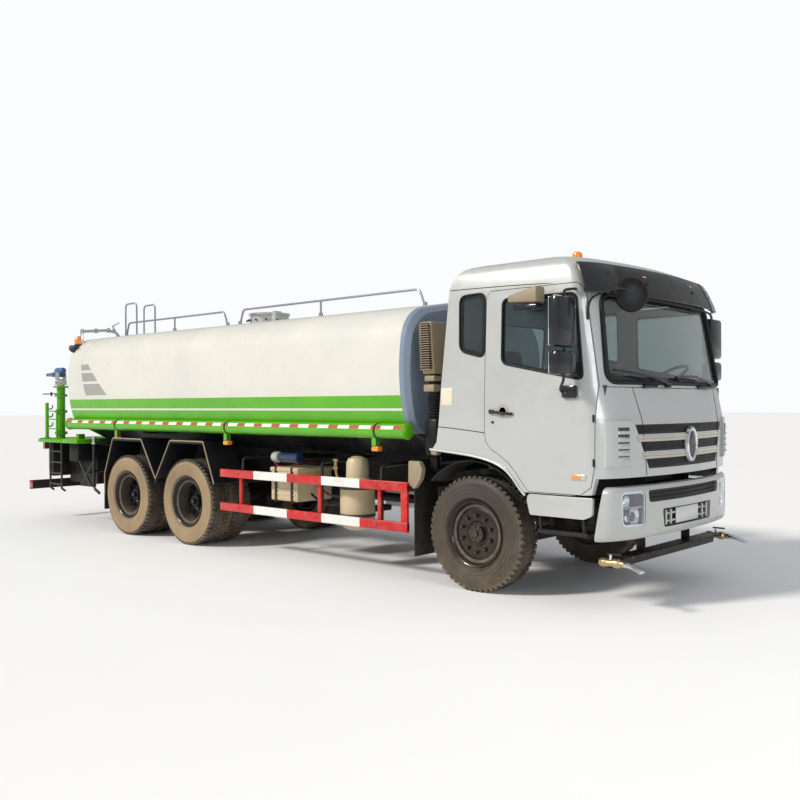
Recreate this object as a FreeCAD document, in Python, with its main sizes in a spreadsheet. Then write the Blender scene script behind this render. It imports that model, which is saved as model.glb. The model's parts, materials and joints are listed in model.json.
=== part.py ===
"""A six-wheel cab-over tanker truck with a sprinkler body.

X runs forward, Y to the truck's left and Z up, in millimetres. Every piece is drawn with X = 0
on the front axle, and its placement then moves it so that the origin lies on the ground under
the middle of the whole truck.
"""
import FreeCAD
import Part
import Sketcher
import math
import os
from FreeCAD import Placement, Rotation, Vector

doc = FreeCAD.newDocument("TankerTruck")
sheet = doc.addObject("Spreadsheet::Sheet", "Sizes")

# Driving dimensions. Heights are above the ground, and a name that ends in _x is a place along
# the truck, forward of the front axle.
SIZES = {
    # Whole truck
    "front_reach": 1626,
    "rear_reach": 8540,
    "half_width": 1240,
    "cut_overrun": 5,
    "seat_gap": 0.3,

    # Wheels and axles
    "wheelbase": 4350,
    "bogie_spacing": 1350,
    "tyre_radius": 528,
    "tyre_width": 280,
    "tread_width": 236,
    "shoulder_drop": 22,
    "bead_radius": 296,
    "bead_width": 206,
    "lug_depth": 14,
    "rim_radius": 285,
    "rim_well_radius": 250,
    "rim_lip": 11,
    "rim_wall": 9,
    "front_track": 2020,
    "dual_track": 1890,
    "dual_spacing": 320,
    "disc_thickness": 14,
    "disc_bolt_circle": 335,
    "nut_radius": 17,
    "nut_length": 26,
    "hub_radius": 135,
    "hub_length": 150,
    "hub_wall": 22,
    "spindle_radius": 45,
    "running_gap": 1,

    # Steering knuckles and the front axle's beam
    "kingpin_y": 840,
    "kingpin_radius": 24,
    "knuckle_eye_radius": 46,
    "knuckle_eye_height": 55,
    "beam_eye_height": 120,
    "beam_depth": 100,
    "beam_low": 370,
    "beam_height": 100,
    "beam_flat_half": 500,
    "beam_rise_half": 680,
    "drum_radius": 200,
    "drum_length": 120,
    "arm_length": 190,
    "arm_width": 40,
    "arm_thickness": 28,

    # Frame
    "rail_front_x": 1330,
    "rail_rear_x": -8150,
    "rail_half_width": 430,
    "rail_flange": 80,
    "rail_web": 9,
    "rail_low": 780,
    "rail_height": 280,
    "cross_length": 120,
    "cross_height": 180,
    "subframe_height": 110,
    "subframe_rear_x": -7900,
    "subframe_front_x": -960,

    # Engine, gearbox and radiator
    "engine_front_x": 1000,
    "engine_rear_x": -420,
    "engine_low": 600,
    "engine_top": 1500,
    "gearbox_rear_x": -1250,
    "gearbox_half_width": 230,
    "gearbox_low": 560,
    "gearbox_top": 980,
    "radiator_x": 1120,
    "radiator_depth": 90,
    "radiator_low": 680,
    "radiator_top": 1440,

    # Springs and rear axles
    "spring_half": 720,
    "spring_width": 75,
    "spring_leaf": 70,
    "spring_eye_z": 690,
    "spring_hanger": 90,
    "axle_radius": 95,
    "axle_half": 640,
    "axle_drum_radius": 205,
    "axle_drum_length": 60,
    "diff_radius": 215,
    "diff_half_width": 150,
    "diff_nose": 300,
    "diff_nose_radius": 110,
    "bogie_spring_y": 500,
    "bogie_spring_height": 130,
    "trunnion_half": 130,
    "trunnion_low": 430,
    "trunnion_top": 960,
    "shaft_radius": 50,
    "shaft_z": 640,
    "transfer_height": 150,

    # Tank
    "tank_front_x": -870,
    "tank_rear_x": -7330,
    "tank_head": 90,
    "tank_crown_z": 2822,
    "tank_shoulder_y": 1130,
    "tank_shoulder_z": 2640,
    "tank_waist_y": 1218,
    "tank_waist_z": 1930,
    "tank_hip_y": 1090,
    "tank_hip_z": 1460,
    "tank_keel_y": 480,
    "crown_radius": 2400,
    "shoulder_radius": 380,
    "waist_radius": 1700,
    "hip_radius": 200,
    "keel_radius": 260,
    "head_inset": 60,

    # Manhole and its lid
    "manhole_x": -4250,
    "manhole_radius": 255,
    "manhole_wall": 12,
    "manhole_top_z": 2880,
    "lid_thickness": 26,
    "lid_rim": 14,
    "lid_hinge_offset": 300,
    "lid_hinge_radius": 12,
    "lid_ear_y": 42,
    "lid_pin_radius": 6,

    # Rails and ladder on the tank
    "grab_y": 350,
    "grab_radius": 13,
    "grab_top_z": 2945,
    "grab_front_x": -1260,
    "grab_mid_front_x": -4400,
    "grab_mid_rear_x": -4700,
    "grab_rear_x": -7150,
    "grab_post_x": -2880,
    "grab_second_post_x": -5900,
    "hoop_y": 160,
    "hoop_top_z": 3270,
    "hoop_front_x": -7190,
    "hoop_rear_x": -7500,
    "rung_radius": 12,
    "ladder_low_z": 1500,
    "ladder_pitch": 280,

    # Side tubes, with the straps that hold them
    "tube_radius": 76,
    "tube_y": 1160,
    "tube_z": 1450,
    "tube_front_x": -780,
    "tube_rear_x": -7340,
    "strap_width": 30,
    "strap_thickness": 6,
    "strap_first_x": -1180,
    "strap_pitch": 2420,

    # Side guards
    "guard_front_x": -730,
    "guard_rear_x": -3670,
    "guard_y": 1220,
    "guard_depth": 36,
    "guard_rail_height": 95,
    "guard_top_z": 965,
    "guard_low_z": 575,
    "guard_end_length": 80,
    "guard_post": 45,
    "guard_post_first_x": -1590,
    "guard_post_second_x": -2270,
    "guard_post_third_x": -3330,
    "guard_arm_radius": 20,
    "guard_arm_z": 1010,

    # Rear mudguards
    "mudguard_in_y": 780,
    "mudguard_top_z": 1270,
    "mudguard_valley_z": 780,
    "mudguard_half_top": 345,
    "mudguard_foot": 560,
    "mudguard_sheet": 14,
    "mudguard_bar_radius": 18,
    "flap_thickness": 10,
    "flap_low_z": 300,

    # Front mud flaps
    "front_flap_x": -660,
    "front_flap_in_y": 860,
    "front_flap_out_y": 1200,
    "front_flap_low_z": 260,
    "front_flap_top_z": 900,
    "front_plate_top_z": 1180,
    "front_plate_length": 60,

    # Side equipment
    "battery_front_x": -2480,
    "battery_rear_x": -2930,
    "battery_in_y": 560,
    "battery_out_y": 1080,
    "battery_low_z": 640,
    "battery_top_z": 1010,
    "filter_z": 1120,
    "filter_radius": 55,
    "filter_y": 1000,
    "vessel_x": -1730,
    "vessel_y": 900,
    "vessel_radius": 185,
    "vessel_neck_radius": 120,
    "vessel_low_z": 380,
    "vessel_shoulder_z": 480,
    "vessel_top_z": 960,
    "fuel_front_x": -1330,
    "fuel_rear_x": -2650,
    "fuel_in_y": 520,
    "fuel_out_y": 1150,
    "fuel_low_z": 460,
    "fuel_top_z": 980,
    "fuel_corner": 90,
    "air_tank_radius": 140,
    "air_tank_front_x": -2800,
    "air_tank_rear_x": -3560,
    "air_tank_y": 800,
    "air_tank_z": 780,
    "holder_thickness": 40,

    # Air intake behind the cab
    "intake_x": -560,
    "intake_y": 1010,
    "intake_length": 150,
    "intake_width": 230,
    "intake_top_z": 2500,
    "intake_head_z": 2020,
    "intake_box_z": 1640,
    "intake_duct_radius": 62,
    "intake_low_z": 1150,

    # Front bumper, lamps and spray bar
    "bumper_front_x": 1540,
    "bumper_corner_x": 1490,
    "bumper_side_rear_x": 1300,
    "bumper_low_z": 570,
    "bumper_top_z": 1030,
    "bumper_wall": 30,
    "bumper_corner_radius": 130,
    "lamp_in_y": 760,
    "lamp_out_y": 1085,
    "lamp_low_z": 690,
    "lamp_top_z": 985,
    "lamp_depth": 110,
    "slot_half_y": 700,
    "slot_low_z": 880,
    "slot_top_z": 985,
    "recess_half_y": 450,
    "recess_low_z": 665,
    "recess_top_z": 815,
    "plate_half_y": 220,
    "plate_thickness": 4,
    "beam_bar_x": 1270,
    "beam_bar_depth": 80,
    "beam_bar_half_y": 980,
    "beam_bar_low_z": 335,
    "beam_bar_top_z": 465,
    "nozzle_y": 1039,
    "nozzle_z": 400,
    "nozzle_valve_radius": 38,
    "nozzle_valve_rear_x": 1230,
    "nozzle_valve_front_x": 1470,
    "nozzle_tip_width": 70,
    "nozzle_tip_height": 22,
    "nozzle_drop": 40,

    # Steps under the doors
    "step_rear_x": 690,
    "step_front_x": 1262,
    "step_top_z": 925,
    "step_skirt_z": 760,
    "step_tread_z": 600,
    "step_tread_height": 40,
    "step_tread_rear_x": 690,
    "step_tread_front_x": 1090,
    "step_in_y": 900,
    "step_wall": 25,

    # Rear platform, structure and bumper
    "platform_rear_x": -8180,
    "platform_front_x": -7440,
    "platform_ledge_x": -7010,
    "platform_low_z": 1170,
    "platform_thickness": 60,
    "platform_ledge_y": 880,
    "post_height": 520,
    "post_radius": 28,
    "post_x": -8090,
    "post_y": 1140,
    "pedestal_x": -7850,
    "pedestal_y": 1040,
    "pedestal_radius": 60,
    "pedestal_top_z": 1980,
    "flange_radius": 110,
    "flange_thickness": 26,
    "pump_front_x": -7200,
    "pump_rear_x": -8000,
    "pump_low_z": 560,
    "pump_half_y": 820,
    "rear_bumper_depth": 60,
    "rear_bumper_low_z": 440,
    "rear_bumper_height": 130,
    "rear_bumper_half_y": 1200,
    "rear_bumper_arm": 80,
    "rear_lamp_y": 1000,
    "rear_lamp_width": 260,
    "rear_lamp_height": 110,
    "rear_lamp_depth": 60,
    "rear_lamp_z": 800,
    "stile_radius": 16,
    "stile_low_z": 480,
    "stile_front_x": -7560,
    "stile_rear_x": -7900,
    "stile_y": 1185,

    # Water cannon
    "cannon_base_radius": 55,
    "cannon_base_height": 110,
    "cannon_ear": 22,
    "cannon_ear_height": 90,
    "cannon_gap": 3,
    "cannon_radius": 42,
    "cannon_length": 420,
    "cannon_tip_radius": 26,

    # Cab
    "cab_rear_x": -300,
    "cab_front_x": 1540,
    "cab_corner_x": 1450,
    "cab_floor_z": 1290,
    "cab_nose_z": 1130,
    "cab_waist_z": 1850,
    "cab_eave_z": 2700,
    "cab_roof_z": 2965,
    "cab_wall": 48,
    "cab_corner_radius": 130,
    "cab_glass_top_x": 1320,
    "cab_glass_corner_top_x": 1265,
    "cab_waist_front_x": 1480,
    "cab_waist_corner_x": 1410,
    "cab_roof_inset": 90,
    "cab_roof_front_x": 1120,
    "cab_eave_inset": 30,
    "cab_tunnel_half": 480,
    "cab_tunnel_top_z": 1600,
    "cab_floor_thickness": 45,
    "cab_seam": 8,
    "arch_front_x": 690,
    "arch_top_z": 1250,

    # Doors
    "door_rear_x": 215,
    "door_top_z": 2690,
    "door_top_front_x": 1160,
    "door_waist_front_x": 1290,
    "door_waist_z": 1860,
    "door_low_front_x": 1275,
    "door_low_corner_z": 1160,
    "door_foot_x": 1170,
    "door_low_z": 955,
    "door_arch_x": 600,
    "door_arch_low_x": 690,
    "door_arch_mid_x": 400,
    "door_arch_mid_z": 1165,
    "door_arch_high_z": 1245,
    "door_gap": 7,
    "door_glass_inset": 160,
    "pane_rear_x": 370,
    "pane_front_low_x": 1200,
    "pane_front_top_x": 1120,
    "pane_low_z": 1905,
    "pane_rear_low_z": 2070,
    "pane_top_z": 2630,
    "glass_thickness": 6,

    # Door hinges
    "hinge_x": 1292,
    "hinge_y": 1242,
    "hinge_low_z": 1290,
    "hinge_high_z": 1770,
    "hinge_half": 30,
    "hinge_eye_half": 18,
    "hinge_radius": 10,
    "hinge_pin_radius": 5,
    "hinge_leaf": 45,
    "hinge_leaf_half": 6,
    "hinge_room": 5,

    # Windows of the cab
    "quarter_rear_x": -110,
    "quarter_front_x": 250,
    "quarter_low_z": 2150,
    "quarter_top_z": 2650,
    "screen_low_z": 1900,
    "screen_top_z": 2610,
    "screen_low_half_y": 1090,
    "screen_top_half_y": 1040,
    "back_glass_half_y": 420,
    "back_glass_low_z": 2050,
    "back_glass_top_z": 2500,

    # Cab's tilt pivot
    "tilt_x": 1420,
    "tilt_z": 800,
    "tilt_pin_radius": 22,
    "tilt_arm_y": 470,
    "tilt_arm_width": 40,
    "tilt_arm_depth": 70,
    "tilt_arm_back": 175,
    "tilt_pin_length": 130,

    # Grille
    "grille_half_y": 740,
    "grille_low_z": 1165,
    "grille_top_z": 1530,
    "grille_bar_height": 34,
    "grille_depth": 14,

    # Visor, mirrors and beacon
    "visor_reach_x": 1450,
    "visor_root_x": 1180,
    "visor_low_z": 2640,
    "visor_top_z": 2900,
    "visor_half_y": 1150,
    "visor_thickness": 14,
    "mirror_x": 1130,
    "mirror_y": 1440,
    "mirror_width": 190,
    "mirror_depth": 70,
    "mirror_low_z": 2170,
    "mirror_top_z": 2570,
    "small_mirror_low_z": 1945,
    "small_mirror_top_z": 2136,
    "mirror_arm_radius": 12,
    "mirror_arm_top_z": 2620,
    "mirror_arm_low_z": 1880,
    "round_mirror_x": 1480,
    "round_mirror_y": 860,
    "round_mirror_z": 2640,
    "round_mirror_radius": 135,
    "round_mirror_depth": 36,
    "beacon_x": 760,
    "beacon_radius": 42,
    "beacon_height": 70,

    # Inside the cab
    "seat_x": 330,
    "seat_length": 500,
    "seat_width": 520,
    "seat_height": 160,
    "seat_y": 805,
    "seat_low_z": 1560,
    "seat_back_thickness": 130,
    "seat_back_height": 640,
    "dash_rear_x": 1080,
    "dash_front_x": 1330,
    "dash_half_y": 1120,
    "dash_low_z": 1560,
    "dash_top_z": 1860,
    "wheel_x": 930,
    "wheel_y": 800,
    "wheel_z": 1960,
    "wheel_radius": 225,
    "wheel_rim_radius": 16,
    "column_radius": 30,
}

# Counts and angles, which have no unit of length.
WHEEL_NUTS = 10
CROSS_MEMBERS = 7
GRILLE_BARS = 4
STRAPS = 3
LADDER_RUNGS = 5
FULL_TURN = 360
QUARTER_TURN = 90


class Size:
    """A length that knows its value and the sheet expression that gives it."""

    def __init__(self, value, text):
        self.value = value
        self.text = text

    def __add__(self, other):
        other = sized(other)
        return Size(self.value + other.value, f"({self.text} + {other.text})")

    def __sub__(self, other):
        other = sized(other)
        return Size(self.value - other.value, f"({self.text} - {other.text})")

    def __mul__(self, other):
        other = sized(other)
        return Size(self.value * other.value, f"({self.text} * {other.text})")

    def __truediv__(self, other):
        other = sized(other)
        return Size(self.value / other.value, f"({self.text} / {other.text})")

    def __neg__(self):
        return Size(-self.value, f"(-1 * {self.text})")

    def __radd__(self, other):
        return sized(other) + self

    def __rsub__(self, other):
        return sized(other) - self

    __rmul__ = __mul__


def sized(length):
    return length if isinstance(length, Size) else Size(float(length), str(length))


class Sizes:
    """The sheet's cells by name, each as a Size."""

    def __init__(self, table):
        for row, (alias, value) in enumerate(table.items(), start=1):
            sheet.set(f"A{row}", alias)
            sheet.set(f"B{row}", str(value))
            sheet.setAlias(f"B{row}", alias)
        doc.recompute()
        for alias in table:
            setattr(self, alias, Size(float(sheet.get(alias)), f"Sizes.{alias}"))


s = Sizes(SIZES)
origin_shift = (s.rear_reach - s.front_reach) / 2
nodes = []
TURNS = {"x": Rotation(Vector(0, 1, 0), QUARTER_TURN),
         "y": Rotation(Vector(1, 0, 0), -QUARTER_TURN),
         "z": Rotation()}
NORMALS = {"XY": "z", "XZ": "y", "YZ": "x"}


def bind(thing, **lengths):
    for name, length in lengths.items():
        thing.setExpression(name, sized(length).text)


def place(thing, x=0, y=0, z=0):
    for axis, length in (("x", x), ("y", y), ("z", z)):
        thing.setExpression(f"Placement.Base.{axis}", sized(length).text)
    return thing


def box(name, x, y, z):
    """A box between a low and a high place on each axis."""
    solid = doc.addObject("Part::Box", name)
    bind(solid, Length=sized(x[1]) - x[0], Width=sized(y[1]) - y[0], Height=sized(z[1]) - z[0])
    return place(solid, x[0], y[0], z[0])


def rod(name, axis, radius, start, length):
    """A cylinder that runs from its start along an axis."""
    solid = doc.addObject("Part::Cylinder", name)
    solid.Placement = Placement(Vector(), TURNS[axis])
    bind(solid, Radius=radius, Height=length)
    return place(solid, *start)


def cone(name, axis, radius, end_radius, start, length):
    solid = doc.addObject("Part::Cone", name)
    solid.Placement = Placement(Vector(), TURNS[axis])
    bind(solid, Radius1=radius, Radius2=end_radius, Height=length)
    return place(solid, *start)


def outline(body, name, plane, points):
    """A closed sketch of straight lines, its corners held by the sheet's sizes."""
    sketch = body.newObject("Sketcher::SketchObject", name)
    support = [item for item in body.Origin.OriginFeatures if item.Role == f"{plane}_Plane"][0]
    sketch.AttachmentSupport = [(support, "")]
    sketch.MapMode = "FlatFace"
    corners = [(sized(u), sized(v)) for u, v in points]
    places = [Vector(u.value, v.value, 0) for u, v in corners]
    lines = [Part.LineSegment(here, after) for here, after in zip(places, places[1:] + places[:1])]
    sketch.addGeometry(lines, False)
    for line in range(len(lines)):
        sketch.addConstraint(Sketcher.Constraint("Coincident", line, 2, (line + 1) % len(lines), 1))
    for line, (u, v) in enumerate(corners):
        for kind, length in (("DistanceX", u), ("DistanceY", v)):
            index = sketch.addConstraint(Sketcher.Constraint(kind, line, 1, length.value))
            sketch.setExpression(f"Constraints[{index}]", length.text)
    return sketch


def prism(name, plane, points, low, high):
    """An outline on a plane, padded between two distances from that plane."""
    body = doc.addObject("PartDesign::Body", name)
    pad = body.newObject("PartDesign::Pad", f"{name}_pad")
    pad.Profile = outline(body, f"{name}_outline", plane, points)
    pad.Reversed = plane == "XZ"
    bind(pad, Length=sized(high) - low)
    body.Tip = pad
    body.setExpression(f"Placement.Base.{NORMALS[plane]}", sized(low).text)
    return body


def turned(name, points, centre):
    """A profile of (y, radius) points, turned about an axis along Y through a centre."""
    body = doc.addObject("PartDesign::Body", name)
    turn = body.newObject("PartDesign::Revolution", f"{name}_turn")
    turn.Profile = outline(body, f"{name}_profile", "YZ", points)
    turn.ReferenceAxis = (turn.Profile[0], ["H_Axis"])
    turn.Angle = FULL_TURN
    body.Tip = turn
    return place(body, *centre)


def fuse(name, *pieces):
    whole = doc.addObject("Part::MultiFuse", name)
    whole.Shapes = list(pieces)
    whole.Refine = True
    return whole


def cut(name, base, *tools):
    for tool in tools:
        result = doc.addObject("Part::Cut", name if tool is tools[-1] else f"{name}_before_{tool.Name}")
        result.Base = base
        result.Tool = tool
        base = result
    return base


def common(name, base, tool):
    result = doc.addObject("Part::Common", name)
    result.Base = base
    result.Tool = tool
    return result


def mirror(piece):
    """The same piece on the truck's other side."""
    other = doc.addObject("Part::Mirroring", f"{piece.Name}_mirror")
    other.Source = piece
    other.Normal = Vector(0, 1, 0)
    return other


def shaped(name, shape):
    feature = doc.addObject("Part::Feature", name)
    feature.Shape = shape
    return feature


def node(name, *pieces):
    """One named piece of the truck: its solids, moved to the truck's own origin."""
    whole = doc.addObject("Part::Compound", name)
    whole.Links = list(pieces)
    whole.Label = name
    place(whole, x=origin_shift)
    nodes.append(whole)
    return whole


def sides(length):
    return -length, length


def make_frame():
    top = s.rail_low + s.rail_height
    inner = s.rail_half_width - s.rail_flange
    web = s.rail_half_width - s.rail_web
    rail = box("rail", (s.rail_rear_x, s.rail_front_x), (inner, s.rail_half_width), (s.rail_low, top))
    hollow = box("rail_hollow", (s.rail_rear_x - s.cut_overrun, s.rail_front_x + s.cut_overrun),
                 (inner - s.cut_overrun, web), (s.rail_low + s.rail_web, top - s.rail_web))
    channel = cut("rail_channel", rail, hollow)
    members = []
    span = s.rail_front_x - s.rail_rear_x
    middle = s.rail_low + s.rail_height / 2
    for count in range(CROSS_MEMBERS):
        rear = s.rail_rear_x + span * CROSS_SHARES[count]
        members.append(box(f"cross_member_{count}", (rear, rear + s.cross_length), sides(web),
                           (middle - s.cross_height / 2, middle + s.cross_height / 2)))
    low = s.tilt_z - s.tilt_arm_depth
    high = s.tilt_z + s.tilt_arm_depth
    horn = box("tilt_horn", (s.rail_front_x, s.tilt_x + s.tilt_arm_depth / 2), (inner, s.rail_half_width),
               (low, high))
    pin = rod("tilt_pin", "y", s.tilt_pin_radius, (s.tilt_x, s.rail_half_width, s.tilt_z),
              s.tilt_pin_length)
    longeron = box("longeron", (s.subframe_rear_x, s.subframe_front_x), (inner, s.rail_half_width),
                   (top, top + s.subframe_height))
    half = [channel, fuse("horn_with_pin", horn, pin), longeron]
    node("frame", *half, *[mirror(piece) for piece in half], *members)


def make_engine():
    inner = s.rail_half_width - s.rail_flange
    engine = box("engine_mass", (s.engine_rear_x, s.engine_front_x), sides(inner),
                 (s.engine_low, s.engine_top))
    gearbox = box("gearbox", (s.gearbox_rear_x, s.engine_rear_x), sides(s.gearbox_half_width),
                  (s.gearbox_low, s.gearbox_top))
    core = box("radiator", (s.radiator_x, s.radiator_x + s.radiator_depth), sides(inner),
               (s.radiator_low, s.radiator_top))
    hose = rod("radiator_hose", "x", s.shaft_radius,
               (s.engine_front_x, 0, s.engine_top - s.radiator_depth * 2), s.radiator_x - s.engine_front_x)
    node("engine_block", fuse("engine_whole", engine, gearbox, core, hose))


def make_front_axle():
    middle = s.tyre_radius
    end_low = middle - s.beam_eye_height / 2
    end_top = middle + s.beam_eye_height / 2
    beam_top = s.beam_low + s.beam_height
    points = [(-s.kingpin_y, end_low), (-s.beam_rise_half, end_low), (-s.beam_flat_half, s.beam_low),
              (s.beam_flat_half, s.beam_low), (s.beam_rise_half, end_low), (s.kingpin_y, end_low),
              (s.kingpin_y, end_top), (s.beam_rise_half, end_top), (s.beam_flat_half, beam_top),
              (-s.beam_flat_half, beam_top), (-s.beam_rise_half, end_top), (-s.kingpin_y, end_top)]
    beam = prism("axle_beam", "YZ", points, -s.beam_depth / 2, s.beam_depth / 2)
    eye = rod("beam_eye", "z", s.knuckle_eye_radius, (0, s.kingpin_y, end_low), s.beam_eye_height)
    bore = rod("kingpin_bore", "z", s.kingpin_radius + s.seat_gap,
               (0, s.kingpin_y, end_low - s.cut_overrun), s.beam_eye_height + s.cut_overrun * 2)
    whole = fuse("beam_with_eyes", beam, eye, mirror(eye))
    node("front_axle", cut("beam_bored", whole, bore, mirror(bore)))


def make_springs():
    """Front leaf springs, and the bogie's leaf packs on their trunnions."""
    axle_top = s.beam_low + s.beam_height
    y_out = s.rail_half_width
    inner = s.spring_half - s.spring_hanger
    eye = s.spring_eye_z
    flat = s.spring_half * FLAT_SHARE
    points = [(-s.spring_half, s.rail_low), (-s.spring_half, eye - s.spring_leaf), (-flat, axle_top),
              (flat, axle_top), (s.spring_half, eye - s.spring_leaf), (s.spring_half, s.rail_low),
              (inner, s.rail_low), (inner, eye), (flat, axle_top + s.spring_leaf),
              (-flat, axle_top + s.spring_leaf), (-inner, eye), (-inner, s.rail_low)]
    front = prism("front_spring", "XZ", points, y_out - s.spring_width, y_out)
    trunnion_x = -s.wheelbase - s.bogie_spacing / 2
    bracket = box("trunnion", (trunnion_x - s.trunnion_half, trunnion_x + s.trunnion_half),
                  (y_out, y_out + s.spring_width), (s.trunnion_low, s.trunnion_top))
    seat = s.tyre_radius + s.axle_radius + s.seat_gap
    reach = s.bogie_spacing / 2 + s.axle_radius
    flat_end = s.bogie_spacing / 2 - s.axle_radius
    bogie = prism("bogie_spring", "XZ",
                  [(trunnion_x - reach, seat), (trunnion_x - flat_end, seat),
                   (trunnion_x - s.trunnion_half, seat - s.spring_leaf),
                   (trunnion_x + s.trunnion_half, seat - s.spring_leaf),
                   (trunnion_x + flat_end, seat), (trunnion_x + reach, seat),
                   (trunnion_x + reach, seat + s.spring_leaf / 2),
                   (trunnion_x + s.trunnion_half, seat + s.bogie_spring_height - s.spring_leaf),
                   (trunnion_x - s.trunnion_half, seat + s.bogie_spring_height - s.spring_leaf),
                   (trunnion_x - reach, seat + s.spring_leaf / 2)],
                  y_out + s.spring_width, y_out + s.spring_width * 2)
    rear = fuse("bogie_side", bracket, bogie)
    node("suspension", front, mirror(front), rear, mirror(rear))


def make_rear_axles():
    hub_z = s.tyre_radius
    pieces = []
    centre_y = s.dual_track / 2
    for name, place_x in AXLES:
        housing = rod(f"{name}_housing", "y", s.axle_radius, (place_x, -s.axle_half, hub_z),
                      s.axle_half * 2)
        spindle_half = centre_y + s.hub_length / 2
        spindle = rod(f"{name}_spindle", "y", s.spindle_radius, (place_x, -spindle_half, hub_z),
                      spindle_half * 2)
        case = rod(f"{name}_case", "y", s.diff_radius, (place_x, -s.diff_half_width, hub_z),
                   s.diff_half_width * 2)
        nose = rod(f"{name}_nose", "x", s.diff_nose_radius, (place_x, 0, s.shaft_z), s.diff_nose)
        drum = rod(f"{name}_drum", "y", s.axle_drum_radius,
                   (place_x, s.axle_half - s.axle_drum_length, hub_z), s.axle_drum_length)
        pieces += [housing, spindle, case, nose, drum, mirror(drum)]
    middle_x = -s.wheelbase
    rear_x = middle_x - s.bogie_spacing
    front_shaft = rod("front_shaft", "x", s.shaft_radius, (middle_x, 0, s.shaft_z),
                      s.gearbox_rear_x - middle_x)
    rear_shaft = rod("rear_shaft", "x", s.shaft_radius, (rear_x, 0, s.shaft_z), s.bogie_spacing)
    node("rear_axles_and_shafts", fuse("rear_axles", *pieces, front_shaft, rear_shaft))


def tyre(name, centre):
    half = s.tyre_width / 2
    tread = s.tread_width / 2
    bead = s.bead_width / 2
    shoulder = s.tyre_radius - s.shoulder_drop
    bulge = (s.bead_radius + s.tyre_radius) / 2
    points = [(-bead, s.bead_radius), (bead, s.bead_radius), (bead, s.bead_radius + s.rim_lip * 2),
              (half, bulge), (half - s.rim_lip, bulge + s.shoulder_drop * 3), (half - s.shoulder_drop / 2, shoulder),
              (tread, s.tyre_radius),
              (-tread, s.tyre_radius), (s.shoulder_drop / 2 - half, shoulder),
              (s.rim_lip - half, bulge + s.shoulder_drop * 3), (-half, bulge),
              (-bead, s.bead_radius + s.rim_lip * 2)]
    return turned(name, points, centre)


def rim_barrel(name, centre):
    inside = s.bead_radius - s.rim_wall
    edge = s.bead_width / 2
    lip = edge + s.rim_lip
    high = s.bead_radius + s.rim_lip
    points = [(-lip, inside), (lip, inside), (lip, high), (edge, high), (edge, s.bead_radius),
              (-edge, s.bead_radius), (-edge, high), (-lip, high)]
    return turned(name, points, centre)


def nuts(name, centre_x, low_y, length):
    ring = []
    for count in range(WHEEL_NUTS):
        angle = math.radians(FULL_TURN / WHEEL_NUTS * (count + 1 / 2))
        circle = s.disc_bolt_circle / 2
        ring.append(rod(f"{name}_{count}", "y", s.nut_radius,
                        (centre_x + circle * math.cos(angle), low_y,
                         s.tyre_radius + circle * math.sin(angle)), length))
    return ring


def make_front_wheels():
    """The left front wheel and its mirror image, each a tyre and a rim with its hub."""
    centre_y = s.front_track / 2
    hub_z = s.tyre_radius
    inside = s.bead_radius - s.rim_wall
    disc_y = centre_y + s.rim_well_radius / 5
    disc = rod("front_disc", "y", inside, (0, disc_y, hub_z), s.disc_thickness)
    hub_start = s.kingpin_y + s.knuckle_eye_radius + s.hub_wall * 2 + s.drum_length / 2
    hub_end = disc_y + s.hub_length / 2
    hub = rod("front_hub", "y", s.hub_radius, (0, hub_start, hub_z), hub_end - hub_start)
    bore = rod("front_hub_bore", "y", s.spindle_radius + s.running_gap,
               (0, hub_start - s.cut_overrun, hub_z), hub_end - hub_start - s.hub_wall + s.cut_overrun)
    barrel = rim_barrel("front_barrel", (0, centre_y, hub_z))
    whole = fuse("front_rim_whole", barrel, disc, hub,
                 *nuts("front_nut", sized(0), disc_y, s.disc_thickness + s.nut_length))
    rim = cut("front_rim_bored", whole, bore)
    rubber = tyre("front_tyre_form", (0, centre_y, hub_z))
    node("front_tyre_left", rubber)
    node("front_rim_left", rim)
    node("front_tyre_right", mirror(rubber))
    node("front_rim_right", mirror(rim))


def make_knuckles():
    middle = s.tyre_radius
    radius = s.knuckle_eye_radius
    y_pin = s.kingpin_y
    top = middle + s.beam_eye_height / 2 + s.seat_gap
    low = middle - s.beam_eye_height / 2 - s.seat_gap - s.knuckle_eye_height
    plate_in = y_pin + radius + s.seat_gap * 10
    plate_out = plate_in + s.hub_wall
    drum_out = plate_out + s.drum_length / 2
    pieces = [rod("kingpin", "z", s.kingpin_radius, (0, y_pin, low),
                  top - low + s.knuckle_eye_height)]
    for name, start in (("top", top), ("low", low)):
        pieces.append(rod(f"knuckle_{name}_eye", "z", radius, (0, y_pin, start), s.knuckle_eye_height))
        pieces.append(box(f"knuckle_{name}_arm", sides(radius), (y_pin, plate_out),
                          (start, start + s.knuckle_eye_height)))
    pieces.append(box("knuckle_plate", sides(radius), (plate_in, plate_out),
                      (low, top + s.knuckle_eye_height)))
    pieces.append(rod("brake_drum", "y", s.drum_radius, (0, plate_out, middle), drum_out - plate_out))
    spindle_end = s.front_track / 2 + s.rim_well_radius / 5 + s.hub_length / 2 - s.hub_wall - s.cut_overrun
    pieces.append(rod("front_spindle", "y", s.spindle_radius, (0, drum_out, middle),
                      spindle_end - drum_out))
    pieces.append(box("steering_arm", (-s.arm_length, 0), (y_pin, y_pin + s.arm_width),
                      (low, low + s.arm_thickness)))
    knuckle = fuse("knuckle_form", *pieces)
    node("knuckle_left", knuckle)
    node("knuckle_right", mirror(knuckle))


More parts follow.
